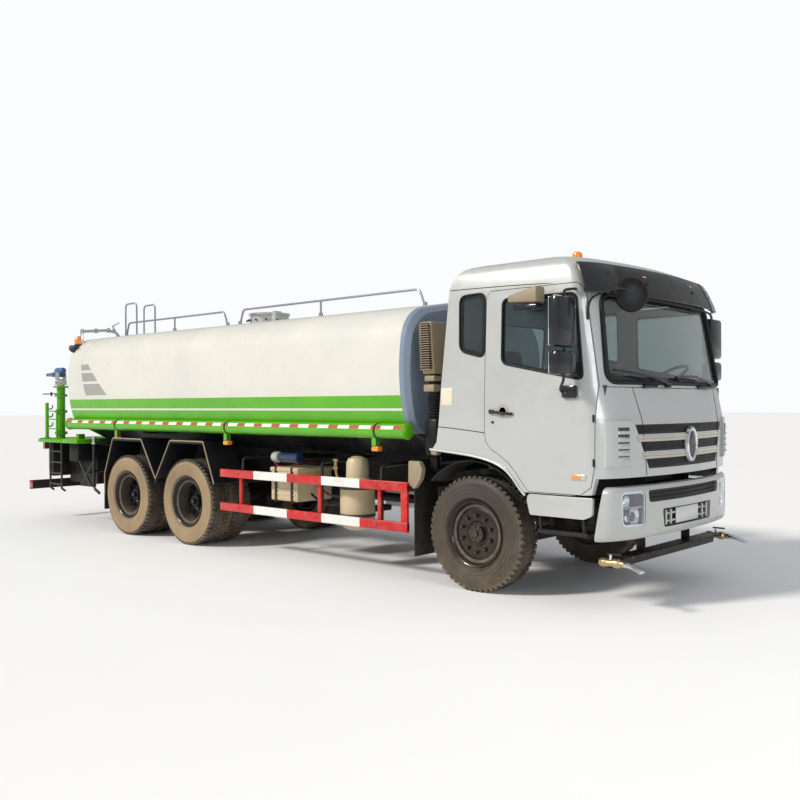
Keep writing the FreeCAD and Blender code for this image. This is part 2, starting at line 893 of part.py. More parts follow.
def make_rear_wheels():
    """Four pairs of twin wheels: on each, two tyres and one dished double rim."""
    hub_z = s.tyre_radius
    centre_y = s.dual_track / 2
    outer_y = centre_y + s.dual_spacing / 2
    inner_y = centre_y - s.dual_spacing / 2
    inside = s.bead_radius - s.rim_wall
    for name, place_x in AXLES:
        disc = rod(f"{name}_disc", "y", inside, (place_x, centre_y - s.disc_thickness, hub_z),
                   s.disc_thickness * 2)
        bridge_start = inner_y + s.bead_width / 2
        bridge = rod(f"{name}_bridge", "y", inside, (place_x, bridge_start, hub_z),
                     outer_y - inner_y - s.bead_width)
        hub_start = s.axle_half + s.spindle_radius / 3
        hub_end = centre_y + s.hub_length
        hub = rod(f"{name}_hub", "y", s.hub_radius, (place_x, hub_start, hub_z), hub_end - hub_start)
        bore = rod(f"{name}_bore", "y", s.spindle_radius + s.running_gap,
                   (place_x, hub_start - s.cut_overrun, hub_z),
                   hub_end - hub_start - s.hub_wall + s.cut_overrun)
        rims = [rim_barrel(f"{name}_{side}_barrel", (place_x, wheel_y, hub_z))
                for side, wheel_y in (("outer", outer_y), ("inner", inner_y))]
        studs = nuts(f"{name}_nut", place_x, centre_y, s.disc_thickness + s.nut_length)
        spacer = cut(f"{name}_spacer", rod(f"{name}_spacer_ring", "y", s.bead_radius,
                                           (place_x, bridge_start, hub_z),
                                           outer_y - inner_y - s.bead_width), bridge)
        whole = fuse(f"{name}_rim_whole", *rims, disc, hub, spacer, *studs)
        rim = cut(f"{name}_rim_bored", whole, bore)
        pair = [tyre(f"{name}_{side}_tyre", (place_x, wheel_y, hub_z))
                for side, wheel_y in (("outer", outer_y), ("inner", inner_y))]
        node(f"{name}_tyres_left", *pair)
        node(f"{name}_rims_left", rim)
        node(f"{name}_tyres_right", *[mirror(rubber) for rubber in pair])
        node(f"{name}_rims_right", mirror(rim))


def rounded_wire(plane, corners):
    """A closed wire of straight runs with an arc at each corner: (u, v, radius) in order."""
    points = [Vector(float(sized(u).value), float(sized(v).value), 0) for u, v, _ in corners]
    edges = []
    last = None
    first = None
    for index, (_, _, radius) in enumerate(corners):
        here = points[index]
        before = (points[index - 1] - here).normalize()
        after = (points[(index + 1) % len(points)] - here).normalize()
        half = before.getAngle(after) / 2
        reach = sized(radius).value / math.tan(half)
        start = here + before * reach
        end = here + after * reach
        middle = here + (before + after).normalize() * (sized(radius).value / math.sin(half) - sized(radius).value)
        if last is not None:
            edges.append(Part.LineSegment(last, start).toShape())
        else:
            first = start
        edges.append(Part.Arc(start, middle, end).toShape())
        last = end
    edges.append(Part.LineSegment(last, first).toShape())
    wire = Part.Wire(edges)
    if plane == "YZ":
        wire = wire.transformGeometry(FreeCAD.Matrix(0, 0, 1, 0, 1, 0, 0, 0, 0, 1, 0, 0, 0, 0, 0, 1))
    return wire


def tank_section(x, inset):
    corners = [(0, s.tank_crown_z - inset, s.crown_radius),
               (s.tank_shoulder_y - inset, s.tank_shoulder_z - inset, s.shoulder_radius),
               (s.tank_waist_y - inset, s.tank_waist_z, s.waist_radius),
               (s.tank_hip_y - inset, s.tank_hip_z + inset / 2, s.hip_radius),
               (s.tank_keel_y, s.rail_low + s.rail_height + s.subframe_height + inset, s.keel_radius)]
    mirrored = [(-u, v, radius) for u, v, radius in reversed(corners[1:])]
    wire = rounded_wire("YZ", corners + mirrored)
    wire.translate(Vector(sized(x).value, 0, 0))
    return wire


def make_tank():
    """The tank, whose two heads draw in towards their dished ends."""
    sections = [tank_section(s.tank_rear_x - s.tank_head, s.head_inset),
                tank_section(s.tank_rear_x - s.tank_head / 2, s.head_inset / 4),
                tank_section(s.tank_rear_x, sized(0)),
                tank_section(s.tank_front_x, sized(0)),
                tank_section(s.tank_front_x + s.tank_head / 2, s.head_inset / 4),
                tank_section(s.tank_front_x + s.tank_head, s.head_inset)]
    node("tank_shell", shaped("tank_form", Part.makeLoft(sections, True, True)))


def make_manhole():
    base = s.tank_crown_z - s.head_inset
    neck = rod("neck_form", "z", s.manhole_radius, (s.manhole_x, 0, base), s.manhole_top_z - base)
    hole = rod("neck_hole", "z", s.manhole_radius - s.manhole_wall,
               (s.manhole_x, 0, base - s.cut_overrun), s.manhole_top_z - base + s.cut_overrun * 2)
    tank = doc.getObject("tank_form")
    lug_x = s.manhole_x - s.lid_hinge_offset
    low = s.manhole_top_z + s.seat_gap
    pin_z = low + s.lid_thickness / 2
    lug = box("neck_lug", (lug_x - s.lid_hinge_radius, s.manhole_x - s.manhole_radius + s.manhole_wall / 2),
              sides(s.lid_ear_y), (base, s.manhole_top_z - s.lid_hinge_radius * 2))
    ears = [box(f"neck_ear_{count}", sides_of(lug_x, s.lid_hinge_radius), y,
                (base, pin_z + s.lid_hinge_radius))
            for count, y in enumerate(((-s.lid_ear_y - s.lid_hinge_radius, -s.lid_ear_y),
                                       (s.lid_ear_y, s.lid_ear_y + s.lid_hinge_radius)))]
    pin = rod("neck_pin", "y", s.lid_pin_radius, (lug_x, -s.lid_ear_y, pin_z), s.lid_ear_y * 2)
    neck_whole = fuse("neck_whole", cut("neck_ring", neck, hole), lug, *ears, pin)
    node("manhole_neck", cut("neck_on_tank", neck_whole, tank))
    plate = rod("lid_plate", "z", s.manhole_radius + s.lid_rim, (s.manhole_x, 0, low), s.lid_thickness)
    arm_half = s.lid_ear_y - s.hinge_room
    arm = box("lid_arm", (lug_x, s.manhole_x), sides(arm_half), (low, low + s.lid_thickness))
    eye = rod("lid_eye", "y", s.lid_thickness / 2, (lug_x, -arm_half, pin_z), arm_half * 2)
    bore = rod("lid_bore", "y", s.lid_pin_radius + s.seat_gap, (lug_x, -s.lid_ear_y, pin_z), s.lid_ear_y * 2)
    knob = box("lid_handle", (s.manhole_x + s.manhole_radius / 2, s.manhole_x + s.manhole_radius * 2 / 3),
               sides(s.lid_hinge_radius * 5), (low + s.lid_thickness, low + s.lid_thickness * 2))
    node("manhole_lid", cut("lid_bored", fuse("lid_whole", plate, arm, eye, knob), bore))


def rail_on_tank(name, front_x, rear_x, post_x, y):
    """A handrail with a leg at each end and one between, standing on the tank's top."""
    foot = s.tank_shoulder_z
    run = rod(f"{name}_run", "x", s.grab_radius, (rear_x, y, s.grab_top_z), sized(front_x) - rear_x)
    legs = [rod(f"{name}_leg_{count}", "z", s.grab_radius, (place_x, y, foot), s.grab_top_z - foot)
            for count, place_x in enumerate((front_x, post_x, rear_x))]
    return fuse(name, run, *legs)


def make_tank_rails():
    tank = doc.getObject("tank_form")
    y = -s.grab_y
    front = rail_on_tank("front_grab", s.grab_front_x, s.grab_mid_front_x, s.grab_post_x, y)
    rear = rail_on_tank("rear_grab", s.grab_mid_rear_x, s.grab_rear_x, s.grab_second_post_x, y)
    low = s.tank_shoulder_z
    hoops = []
    for y, side in ((-s.hoop_y, "right"), (s.hoop_y, "left")):
        hoops.append(rod(f"hoop_{side}_front", "z", s.grab_radius, (s.hoop_front_x, y, low),
                         s.hoop_top_z - low))
        hoops.append(rod(f"hoop_{side}_rear", "z", s.grab_radius, (s.hoop_rear_x, y, s.ladder_low_z),
                         s.hoop_top_z - s.ladder_low_z))
        hoops.append(rod(f"hoop_{side}_top", "x", s.grab_radius, (s.hoop_rear_x, y, s.hoop_top_z),
                         s.hoop_front_x - s.hoop_rear_x))
    for count in range(LADDER_RUNGS):
        hoops.append(rod(f"tank_rung_{count}", "y", s.rung_radius,
                         (s.hoop_rear_x, -s.hoop_y, s.ladder_low_z + s.ladder_pitch * (count + 1 / 2)),
                         s.hoop_y * 2))
    for side, low_y in (("right", -s.hoop_y - s.grab_radius), ("left", s.hoop_y - s.grab_radius)):
        hoops.append(box(f"ladder_foot_{side}", (s.hoop_rear_x, s.tank_rear_x - s.tank_head / 3),
                         (low_y, low_y + s.grab_radius * 2),
                         (s.ladder_low_z, s.ladder_low_z + s.grab_radius * 2)))
    node("tank_rails", cut("rails_on_tank", fuse("rails_whole", front, rear, *hoops), tank))


def make_side_tubes():
    tank = doc.getObject("tank_form")
    tube = rod("side_tube", "x", s.tube_radius, (s.tube_rear_x, s.tube_y, s.tube_z),
               s.tube_front_x - s.tube_rear_x)
    pieces = [tube]
    for count in range(STRAPS):
        front = s.strap_first_x - s.strap_pitch * count
        band = rod(f"strap_{count}", "x", s.tube_radius + s.strap_thickness,
                   (front - s.strap_width, s.tube_y, s.tube_z), s.strap_width)
        foot = box(f"strap_foot_{count}", (front - s.strap_width, front),
                   (s.tank_keel_y, s.tube_y), (s.tube_z - s.strap_thickness, s.tube_z + s.strap_thickness))
        lamp = box(f"strap_lamp_{count}", (front - s.strap_width * 2, front - s.strap_thickness),
                   (s.tube_y - s.strap_width, s.tube_y + s.strap_width),
                   (s.tube_z - s.tube_radius * 2, s.tube_z - s.tube_radius + s.strap_width))
        pieces += [band, foot, lamp]
    whole = cut("tube_on_tank", fuse("tube_whole", *pieces), tank)
    node("side_tubes", whole, mirror(whole))


def make_side_guards():
    out = s.guard_y + s.guard_depth / 2
    inner = s.guard_y - s.guard_depth / 2
    pieces = []
    for name, top in (("top", s.guard_top_z), ("low", s.guard_low_z)):
        pieces.append(box(f"guard_{name}_rail", (s.guard_rear_x, s.guard_front_x), (inner, out),
                          (top - s.guard_rail_height, top)))
    low = s.guard_low_z - s.guard_rail_height
    pieces.append(box("guard_end", (s.guard_front_x - s.guard_end_length, s.guard_front_x),
                      (inner - s.guard_end_length, out), (low, s.guard_top_z)))
    for count, post_x in enumerate((s.guard_post_first_x, s.guard_post_second_x, s.guard_post_third_x)):
        pieces.append(box(f"guard_post_{count}", (post_x - s.guard_post / 2, post_x + s.guard_post / 2),
                          (inner - s.guard_post / 2, inner), (low, s.guard_top_z)))
        pieces.append(rod(f"guard_arm_{count}", "y", s.guard_arm_radius,
                          (post_x, s.rail_half_width, s.guard_arm_z), inner - s.rail_half_width))
        pieces.append(rod(f"guard_drop_{count}", "z", s.guard_arm_radius,
                          (post_x, inner - s.guard_post / 2, low), s.guard_arm_z - low))
    whole = fuse("guard_whole", *pieces)
    node("side_guards", whole, mirror(whole))


def make_rear_mudguards():
    """One bent sheet over both wheels on each side, held by bars from the frame."""
    top = s.mudguard_top_z
    valley = s.mudguard_valley_z
    front = -s.wheelbase
    rear = front - s.bogie_spacing
    between = (front + rear) / 2
    upper = [(rear - s.mudguard_foot, valley), (rear - s.mudguard_half_top, top),
             (rear + s.mudguard_half_top, top), (between, valley), (front - s.mudguard_half_top, top),
             (front + s.mudguard_half_top, top), (front + s.mudguard_foot, valley)]
    lower = [(u, v - s.mudguard_sheet * 2) for u, v in reversed(upper)]
    lower[0] = (front + s.mudguard_foot - s.mudguard_sheet, valley)
    lower[-1] = (rear - s.mudguard_foot + s.mudguard_sheet, valley)
    sheet_form = prism("mudguard_sheet_form", "XZ", upper + lower, s.mudguard_in_y, s.half_width)
    out = s.rail_half_width
    bar_z = valley - s.mudguard_sheet * 2 - s.mudguard_bar_radius / 2
    bars = [rod("mudguard_bar_0", "y", s.mudguard_bar_radius, (between, out + s.spring_width, bar_z),
                s.half_width - out - s.spring_width),
            rod("mudguard_bar_1", "y", s.mudguard_bar_radius,
                (front + s.mudguard_foot - s.mudguard_bar_radius / 2, out, valley), s.half_width - out),
            rod("mudguard_bar_2", "y", s.mudguard_bar_radius,
                (rear - s.mudguard_foot + s.mudguard_bar_radius / 2, out, valley), s.half_width - out)]
    flap_x = rear - s.mudguard_foot - s.flap_thickness
    flap = box("rear_flap", (flap_x, flap_x + s.flap_thickness), (s.mudguard_in_y, s.half_width),
               (s.flap_low_z, valley + s.mudguard_sheet))
    whole = fuse("mudguard_whole", sheet_form, *bars, flap)
    node("rear_mudguards", whole, mirror(whole))


def make_front_flaps():
    flap = box("front_flap", (s.front_flap_x - s.flap_thickness, s.front_flap_x),
               (s.front_flap_in_y, s.front_flap_out_y), (s.front_flap_low_z, s.front_flap_top_z))
    plate = box("front_guard_plate", (s.front_flap_x - s.front_plate_length, s.front_flap_x),
                (s.front_flap_in_y, s.front_flap_out_y), (s.front_flap_top_z, s.front_plate_top_z))
    arm = box("front_guard_arm", (s.front_flap_x - s.front_plate_length, s.front_flap_x),
              (s.rail_half_width, s.front_flap_in_y), (s.front_flap_top_z, s.front_flap_top_z + s.guard_post))
    whole = fuse("front_guard_whole", flap, plate, arm)
    node("front_mudguards", whole, mirror(whole))


def make_side_equipment():
    """Battery box, fuel filter and filter vessel on the right, fuel and air tanks on the left."""
    out = s.rail_half_width
    battery = box("battery_case", (s.battery_rear_x, s.battery_front_x),
                  (-s.battery_out_y, -s.battery_in_y), (s.battery_low_z, s.battery_top_z))
    battery_arm = box("battery_holder", (s.battery_rear_x, s.battery_rear_x + s.holder_thickness * 2),
                      (-s.battery_in_y, -out), (s.battery_top_z - s.holder_thickness * 2, s.battery_top_z))
    cartridge = rod("filter_body", "x", s.filter_radius, (s.battery_rear_x, -s.filter_y, s.filter_z),
                    s.battery_front_x - s.battery_rear_x)
    filter_arm = box("filter_holder", (s.battery_front_x - s.holder_thickness, s.battery_front_x),
                     (-s.filter_y, -out), (s.filter_z - s.filter_radius / 2, s.filter_z))
    vessel = rod("vessel_body", "z", s.vessel_radius, (s.vessel_x, -s.vessel_y, s.vessel_shoulder_z),
                 s.vessel_top_z - s.vessel_shoulder_z)
    vessel_foot = cone("vessel_foot", "z", s.vessel_neck_radius, s.vessel_radius,
                       (s.vessel_x, -s.vessel_y, s.vessel_low_z), s.vessel_shoulder_z - s.vessel_low_z)
    vessel_arm = box("vessel_holder", sides_of(s.vessel_x, s.holder_thickness), (-s.vessel_y, -out),
                     (s.vessel_top_z - s.holder_thickness * 2, s.vessel_top_z))
    node("right_equipment", fuse("battery_whole", battery, battery_arm),
         fuse("filter_whole", cartridge, filter_arm),
         fuse("vessel_whole", vessel, vessel_foot, vessel_arm))
    tank = box("fuel_case", (s.fuel_rear_x, s.fuel_front_x), (s.fuel_in_y, s.fuel_out_y),
               (s.fuel_low_z, s.fuel_top_z))
    straps = [box(f"fuel_strap_{count}", (place_x, place_x + s.holder_thickness),
                  (out, s.fuel_in_y), (s.rail_low, s.fuel_top_z))
              for count, place_x in enumerate((s.fuel_rear_x + s.fuel_corner,
                                               s.fuel_front_x - s.fuel_corner - s.holder_thickness))]
    air = rod("air_case", "x", s.air_tank_radius, (s.air_tank_rear_x, s.air_tank_y, s.air_tank_z),
              s.air_tank_front_x - s.air_tank_rear_x)
    arms = [box(f"air_holder_{count}", (place_x, place_x + s.holder_thickness), (out, s.air_tank_y),
                (s.air_tank_z - s.holder_thickness, s.air_tank_z + s.holder_thickness))
            for count, place_x in enumerate((s.air_tank_rear_x + s.fuel_corner,
                                             s.air_tank_front_x - s.fuel_corner))]
    node("fuel_and_air_tanks", fuse("fuel_whole", tank, *straps), fuse("air_whole", air, *arms))


def sides_of(centre, half):
    return centre - half, centre + half


def make_intake():
    out = s.rail_half_width
    x = sides_of(s.intake_x, s.intake_length / 2)
    y = sides_of(-s.intake_y, s.intake_width / 2)
    head = box("intake_head", x, y, (s.intake_head_z, s.intake_top_z))
    lower = box("intake_case", x, y, (s.intake_box_z, s.intake_head_z - s.holder_thickness))
    duct = rod("intake_duct", "z", s.intake_duct_radius, (s.intake_x, -s.intake_y, s.intake_low_z),
               s.intake_top_z - s.intake_low_z - s.holder_thickness)
    arm_top = s.rail_low + s.rail_height
    arm = box("intake_arm", sides_of(s.intake_x, s.holder_thickness), (-s.intake_y, -out),
              (arm_top - s.holder_thickness, arm_top))
    riser = box("intake_riser", sides_of(s.intake_x, s.holder_thickness),
                sides_of(-s.intake_y, s.holder_thickness),
                (arm_top - s.holder_thickness, s.intake_low_z))
    node("air_intake", fuse("intake_whole", head, lower, duct, arm, riser))


def bow(front_x, corner_x, half, rear_x, radius, z):
    """A level outline: straight rear and sides, rounded corners and a bowed front."""
    front_x, corner_x, half, rear_x, radius, z = [sized(value).value for value in
                                                  (front_x, corner_x, half, rear_x, radius, z)]
    turn = math.sqrt(1 / 2)
    side_x = corner_x - radius
    edge_y = half - radius
    corner_mid = Vector(side_x + radius * turn, edge_y + radius * turn, z)
    corner_end = Vector(corner_x, edge_y, z)
    mirrored = [Vector(point.x, -point.y, z) for point in (corner_end, corner_mid)]
    edges = [Part.LineSegment(Vector(rear_x, -half, z), Vector(rear_x, half, z)).toShape(),
             Part.LineSegment(Vector(rear_x, half, z), Vector(side_x, half, z)).toShape(),
             Part.Arc(Vector(side_x, half, z), corner_mid, corner_end).toShape(),
             Part.Arc(corner_end, Vector(front_x, 0, z), mirrored[0]).toShape(),
             Part.Arc(mirrored[0], mirrored[1], Vector(side_x, -half, z)).toShape(),
             Part.LineSegment(Vector(side_x, -half, z), Vector(rear_x, -half, z)).toShape()]
    return Part.Wire(edges)


def bumper_form(inset, low, top, rear_x):
    level = [bow(s.bumper_front_x - inset, s.bumper_corner_x - inset, s.half_width - inset, rear_x,
                 s.bumper_corner_radius - inset / 2, z) for z in (low, top)]
    return Part.makeLoft(level, True, True)


def make_bumper():
    low = s.bumper_low_z
    top = s.bumper_top_z
    outer = shaped("bumper_outer", bumper_form(sized(0), low, top, s.bumper_side_rear_x))
    inner = shaped("bumper_inner", bumper_form(s.bumper_wall, low - s.cut_overrun, top + s.cut_overrun,
                                               s.bumper_side_rear_x - s.cut_overrun))
    skin = cut("bumper_skin", outer, inner)
    front = (s.rail_front_x, s.front_reach)
    lamp_hole = box("lamp_hole", front, (s.lamp_in_y, s.lamp_out_y), (s.lamp_low_z, s.lamp_top_z))
    slot = box("bumper_slot", front, sides(s.slot_half_y), (s.slot_low_z, s.slot_top_z))
    recess = box("plate_recess", front, sides(s.recess_half_y), (s.recess_low_z, s.recess_top_z))
    open_skin = cut("bumper_open", skin, lamp_hole, mirror(lamp_hole), slot, recess)
    edge = s.bumper_wall / 4
    beam_rear = s.tilt_x + s.tilt_arm_depth / 2
    bar = box("bumper_beam", (beam_rear, s.bumper_front_x - s.bumper_wall / 2), sides(s.rail_half_width),
              (s.recess_top_z + edge, s.slot_low_z - edge))
    plate_back = s.bumper_front_x - s.bumper_wall - edge
    plate = box("plate_form", (plate_back, plate_back + s.plate_thickness), sides(s.plate_half_y),
                (s.recess_low_z + edge, s.recess_top_z - edge))
    bracket = box("plate_bracket", (plate_back - s.bumper_wall, plate_back),
                  sides_of(s.plate_half_y / 2, s.bumper_wall / 2),
                  (s.recess_low_z + s.bumper_wall, s.recess_top_z + edge * 2))
    node("front_bumper", fuse("bumper_whole", open_skin, bar, plate, bracket, mirror(bracket)))
    lens = common("lamp_lens", doc.getObject("bumper_outer"),
                  box("lamp_block", (s.bumper_corner_x - s.lamp_depth, s.front_reach),
                      (s.lamp_in_y, s.lamp_out_y), (s.lamp_low_z, s.lamp_top_z)))
    node("headlamps", lens, mirror(lens))


def make_spray_bar():
    front_x = s.beam_bar_x + s.beam_bar_depth
    bar = box("spray_beam", (s.beam_bar_x, front_x), sides(s.beam_bar_half_y),
              (s.beam_bar_low_z, s.beam_bar_top_z))
    hanger = box("spray_hanger", (s.beam_bar_x, s.beam_bar_x + s.holder_thickness),
                 (s.rail_half_width - s.spring_width, s.rail_half_width), (s.beam_bar_top_z, s.rail_low))
    valve_length = s.nozzle_valve_front_x - s.nozzle_valve_rear_x
    valve = rod("nozzle_valve", "x", s.nozzle_valve_radius,
                (s.nozzle_valve_rear_x, s.nozzle_y, s.nozzle_z), valve_length)
    seat = box("nozzle_seat", (s.beam_bar_x, front_x), (s.beam_bar_half_y, s.nozzle_y),
               sides_of(s.nozzle_z, s.nozzle_valve_radius / 2))
    half = s.nozzle_tip_width / 2
    front = s.front_reach
    bill = prism("nozzle_bill", "XZ",
                 [(s.nozzle_valve_front_x, s.nozzle_z - s.nozzle_valve_radius / 2),
                  (front, s.nozzle_z - s.nozzle_drop), (front, s.nozzle_z - s.nozzle_drop + s.nozzle_tip_height),
                  (s.nozzle_valve_front_x, s.nozzle_z + s.nozzle_valve_radius)],
                 s.nozzle_y - half, s.nozzle_y + half)
    nozzle = fuse("nozzle_whole", valve, seat, bill)
    node("spray_bar", fuse("spray_whole", bar, hanger, mirror(hanger), nozzle, mirror(nozzle)))


def make_steps():
    """Skirt and step below each door, held by an arm from the frame."""
    skirt = box("step_skirt", (s.step_rear_x, s.step_front_x), (s.half_width - s.step_wall, s.half_width),
                (s.step_skirt_z, s.step_top_z))
    shelf = box("step_shelf", (s.step_rear_x, s.step_front_x), (s.step_in_y, s.half_width - s.step_wall),
                (s.step_top_z - s.step_wall, s.step_top_z))
    tread = box("step_tread", (s.step_tread_rear_x, s.step_tread_front_x), (s.step_in_y, s.half_width),
                (s.step_tread_z, s.step_tread_z + s.step_tread_height))
    back = box("step_back", (s.step_rear_x, s.step_tread_front_x),
               (s.step_in_y - s.step_wall, s.step_in_y), (s.step_tread_z, s.step_top_z))
    arm = box("step_arm", (s.step_tread_front_x - s.holder_thickness, s.step_tread_front_x),
              (s.rail_half_width, s.step_in_y - s.step_wall), (s.rail_low, s.rail_low + s.holder_thickness * 2))
    whole = fuse("step_whole", skirt, shelf, tread, back, arm)
    node("side_steps", whole, mirror(whole))


def make_rear():
    """Platform, its posts and ladder, the pump box below it and the rear bumper."""
    top = s.platform_low_z + s.platform_thickness
    deck = box("deck", (s.platform_rear_x, s.platform_front_x), sides(s.half_width),
               (s.platform_low_z, top))
    ledge = box("deck_ledge", (s.platform_front_x, s.platform_ledge_x), (s.platform_ledge_y, s.half_width),
                (s.platform_low_z, top))
    post = rod("deck_post", "z", s.post_radius, (s.post_x, s.post_y, top), s.post_height)
    pipe = rod("pedestal_pipe", "z", s.pedestal_radius, (s.pedestal_x, -s.pedestal_y, top),
               s.pedestal_top_z - top)
    flange = rod("pedestal_flange", "z", s.flange_radius, (s.pedestal_x, -s.pedestal_y, s.pedestal_top_z),
                 s.flange_thickness)
    node("cannon_pedestal", fuse("pedestal_whole", pipe, flange))
    case = box("pump_case", (s.pump_rear_x, s.pump_front_x), (s.rail_half_width, s.pump_half_y),
               (s.pump_low_z, s.platform_low_z))
    node("pump_boxes", case, mirror(case))
    low = s.rear_bumper_low_z
    high = low + s.rear_bumper_height
    bar = box("rear_bar", (-s.rear_reach, s.rear_bumper_depth - s.rear_reach), sides(s.rear_bumper_half_y),
              (low, high))
    arm = box("rear_arm", (s.rear_bumper_depth - s.rear_reach, s.rail_rear_x + s.rear_bumper_arm),
              (s.rail_half_width - s.rail_flange, s.rail_half_width), (low, high))
    drop = box("rear_drop", (s.rail_rear_x, s.rail_rear_x + s.rear_bumper_arm),
               (s.rail_half_width - s.rail_flange, s.rail_half_width), (high, s.rail_low))
    node("rear_bumper", fuse("rear_bar_whole", bar, arm, drop, mirror(arm), mirror(drop)))
    lamp = box("rear_lamp", (s.platform_rear_x - s.rear_lamp_depth, s.platform_rear_x),
               sides_of(s.rear_lamp_y, s.rear_lamp_width / 2),
               (s.platform_low_z - s.rear_lamp_height, s.platform_low_z + s.platform_thickness / 2))
    node("rear_lamps", lamp, mirror(lamp))
    stiles = [rod(f"stile_{count}", "z", s.stile_radius, (place_x, -s.stile_y, s.stile_low_z),
                  s.platform_low_z - s.stile_low_z)
              for count, place_x in enumerate((s.stile_front_x, s.stile_rear_x))]
    rungs = [rod(f"stile_rung_{count}", "x", s.rung_radius,
                 (s.stile_rear_x, -s.stile_y, s.stile_low_z + s.ladder_pitch * (count + 1 / 4)),
                 s.stile_front_x - s.stile_rear_x) for count in range(STRAPS)]
    ladder = fuse("ladder_whole", *stiles, *rungs)
    node("rear_platform", deck, ledge, mirror(ledge), post, mirror(post), ladder)


def make_cannon():
    base = s.pedestal_top_z + s.flange_thickness + s.seat_gap
    x = s.pedestal_x
    y = -s.pedestal_y
    top = base + s.cannon_base_height
    body = rod("cannon_base", "z", s.cannon_base_radius, (x, y, base), s.cannon_base_height)
    ear_in = s.cannon_radius + s.cannon_gap
    ears = [box(f"cannon_ear_{count}", sides_of(x, s.cannon_radius), low_high, (top - s.cannon_ear, top + s.cannon_ear_height))
            for count, low_high in enumerate(((y - ear_in - s.cannon_ear, y - ear_in),
                                              (y + ear_in, y + ear_in + s.cannon_ear)))]
    z = top + s.cannon_radius * 3 / 2 + s.cannon_gap
    pin = rod("cannon_pin", "y", s.rung_radius, (x, y - ear_in - s.cannon_ear, z), (ear_in + s.cannon_ear) * 2)
    node("cannon_swivel", fuse("swivel_whole", body, *ears,
                               box("cannon_shelf", sides_of(x, s.cannon_radius),
                                   (y - ear_in - s.cannon_ear, y + ear_in + s.cannon_ear), (top - s.cannon_ear, top)), pin))
    barrel = rod("cannon_tube", "x", s.cannon_radius, (x - s.cannon_radius, y, z), s.cannon_radius * 2)
    nose = cone("cannon_nose", "x", s.cannon_tip_radius, s.cannon_radius,
                (x - s.cannon_length, y, z), s.cannon_length - s.cannon_radius)
    hole = rod("cannon_bore", "y", s.rung_radius + s.seat_gap, (x, y - s.cannon_radius * 2, z), s.cannon_radius * 4)
    node("cannon_barrel", cut("barrel_bored", fuse("barrel_whole", barrel, nose), hole))


def cab_form(inset, low, top_inset):
    """The cab's body as level outlines joined from the door's foot to the roof."""
    inset = sized(inset)
    rows = [(low, s.cab_front_x, s.cab_corner_x, sized(0), sized(0)),
            (s.grille_top_z, s.cab_front_x, s.cab_corner_x, sized(0), sized(0)),
            (s.cab_waist_z, s.cab_waist_front_x, s.cab_waist_corner_x, sized(0), sized(0)),
            (s.cab_eave_z, s.cab_glass_top_x, s.cab_glass_corner_top_x, s.cab_eave_inset, s.cab_eave_inset * 2),
            (s.cab_roof_z - top_inset, s.cab_roof_front_x, s.cab_roof_front_x - s.cab_roof_inset,
             s.cab_roof_inset, s.cab_roof_inset * 2)]
    levels = [bow(front - inset, corner - inset, s.half_width - lean - inset, s.cab_rear_x + back + inset,
                  s.cab_corner_radius - inset / 2, z) for z, front, corner, lean, back in rows]
    return Part.makeLoft(levels, True, True)


def cab_layer(name, near, far):
    """A thin layer of the cab's own form, between two distances below its surface."""
    low = s.door_low_z
    outer = shaped(f"{name}_outer", cab_form(near, low, near))
    inner = shaped(f"{name}_inner", cab_form(far, low - s.cut_overrun, far))
    return cut(f"{name}_layer", outer, inner)


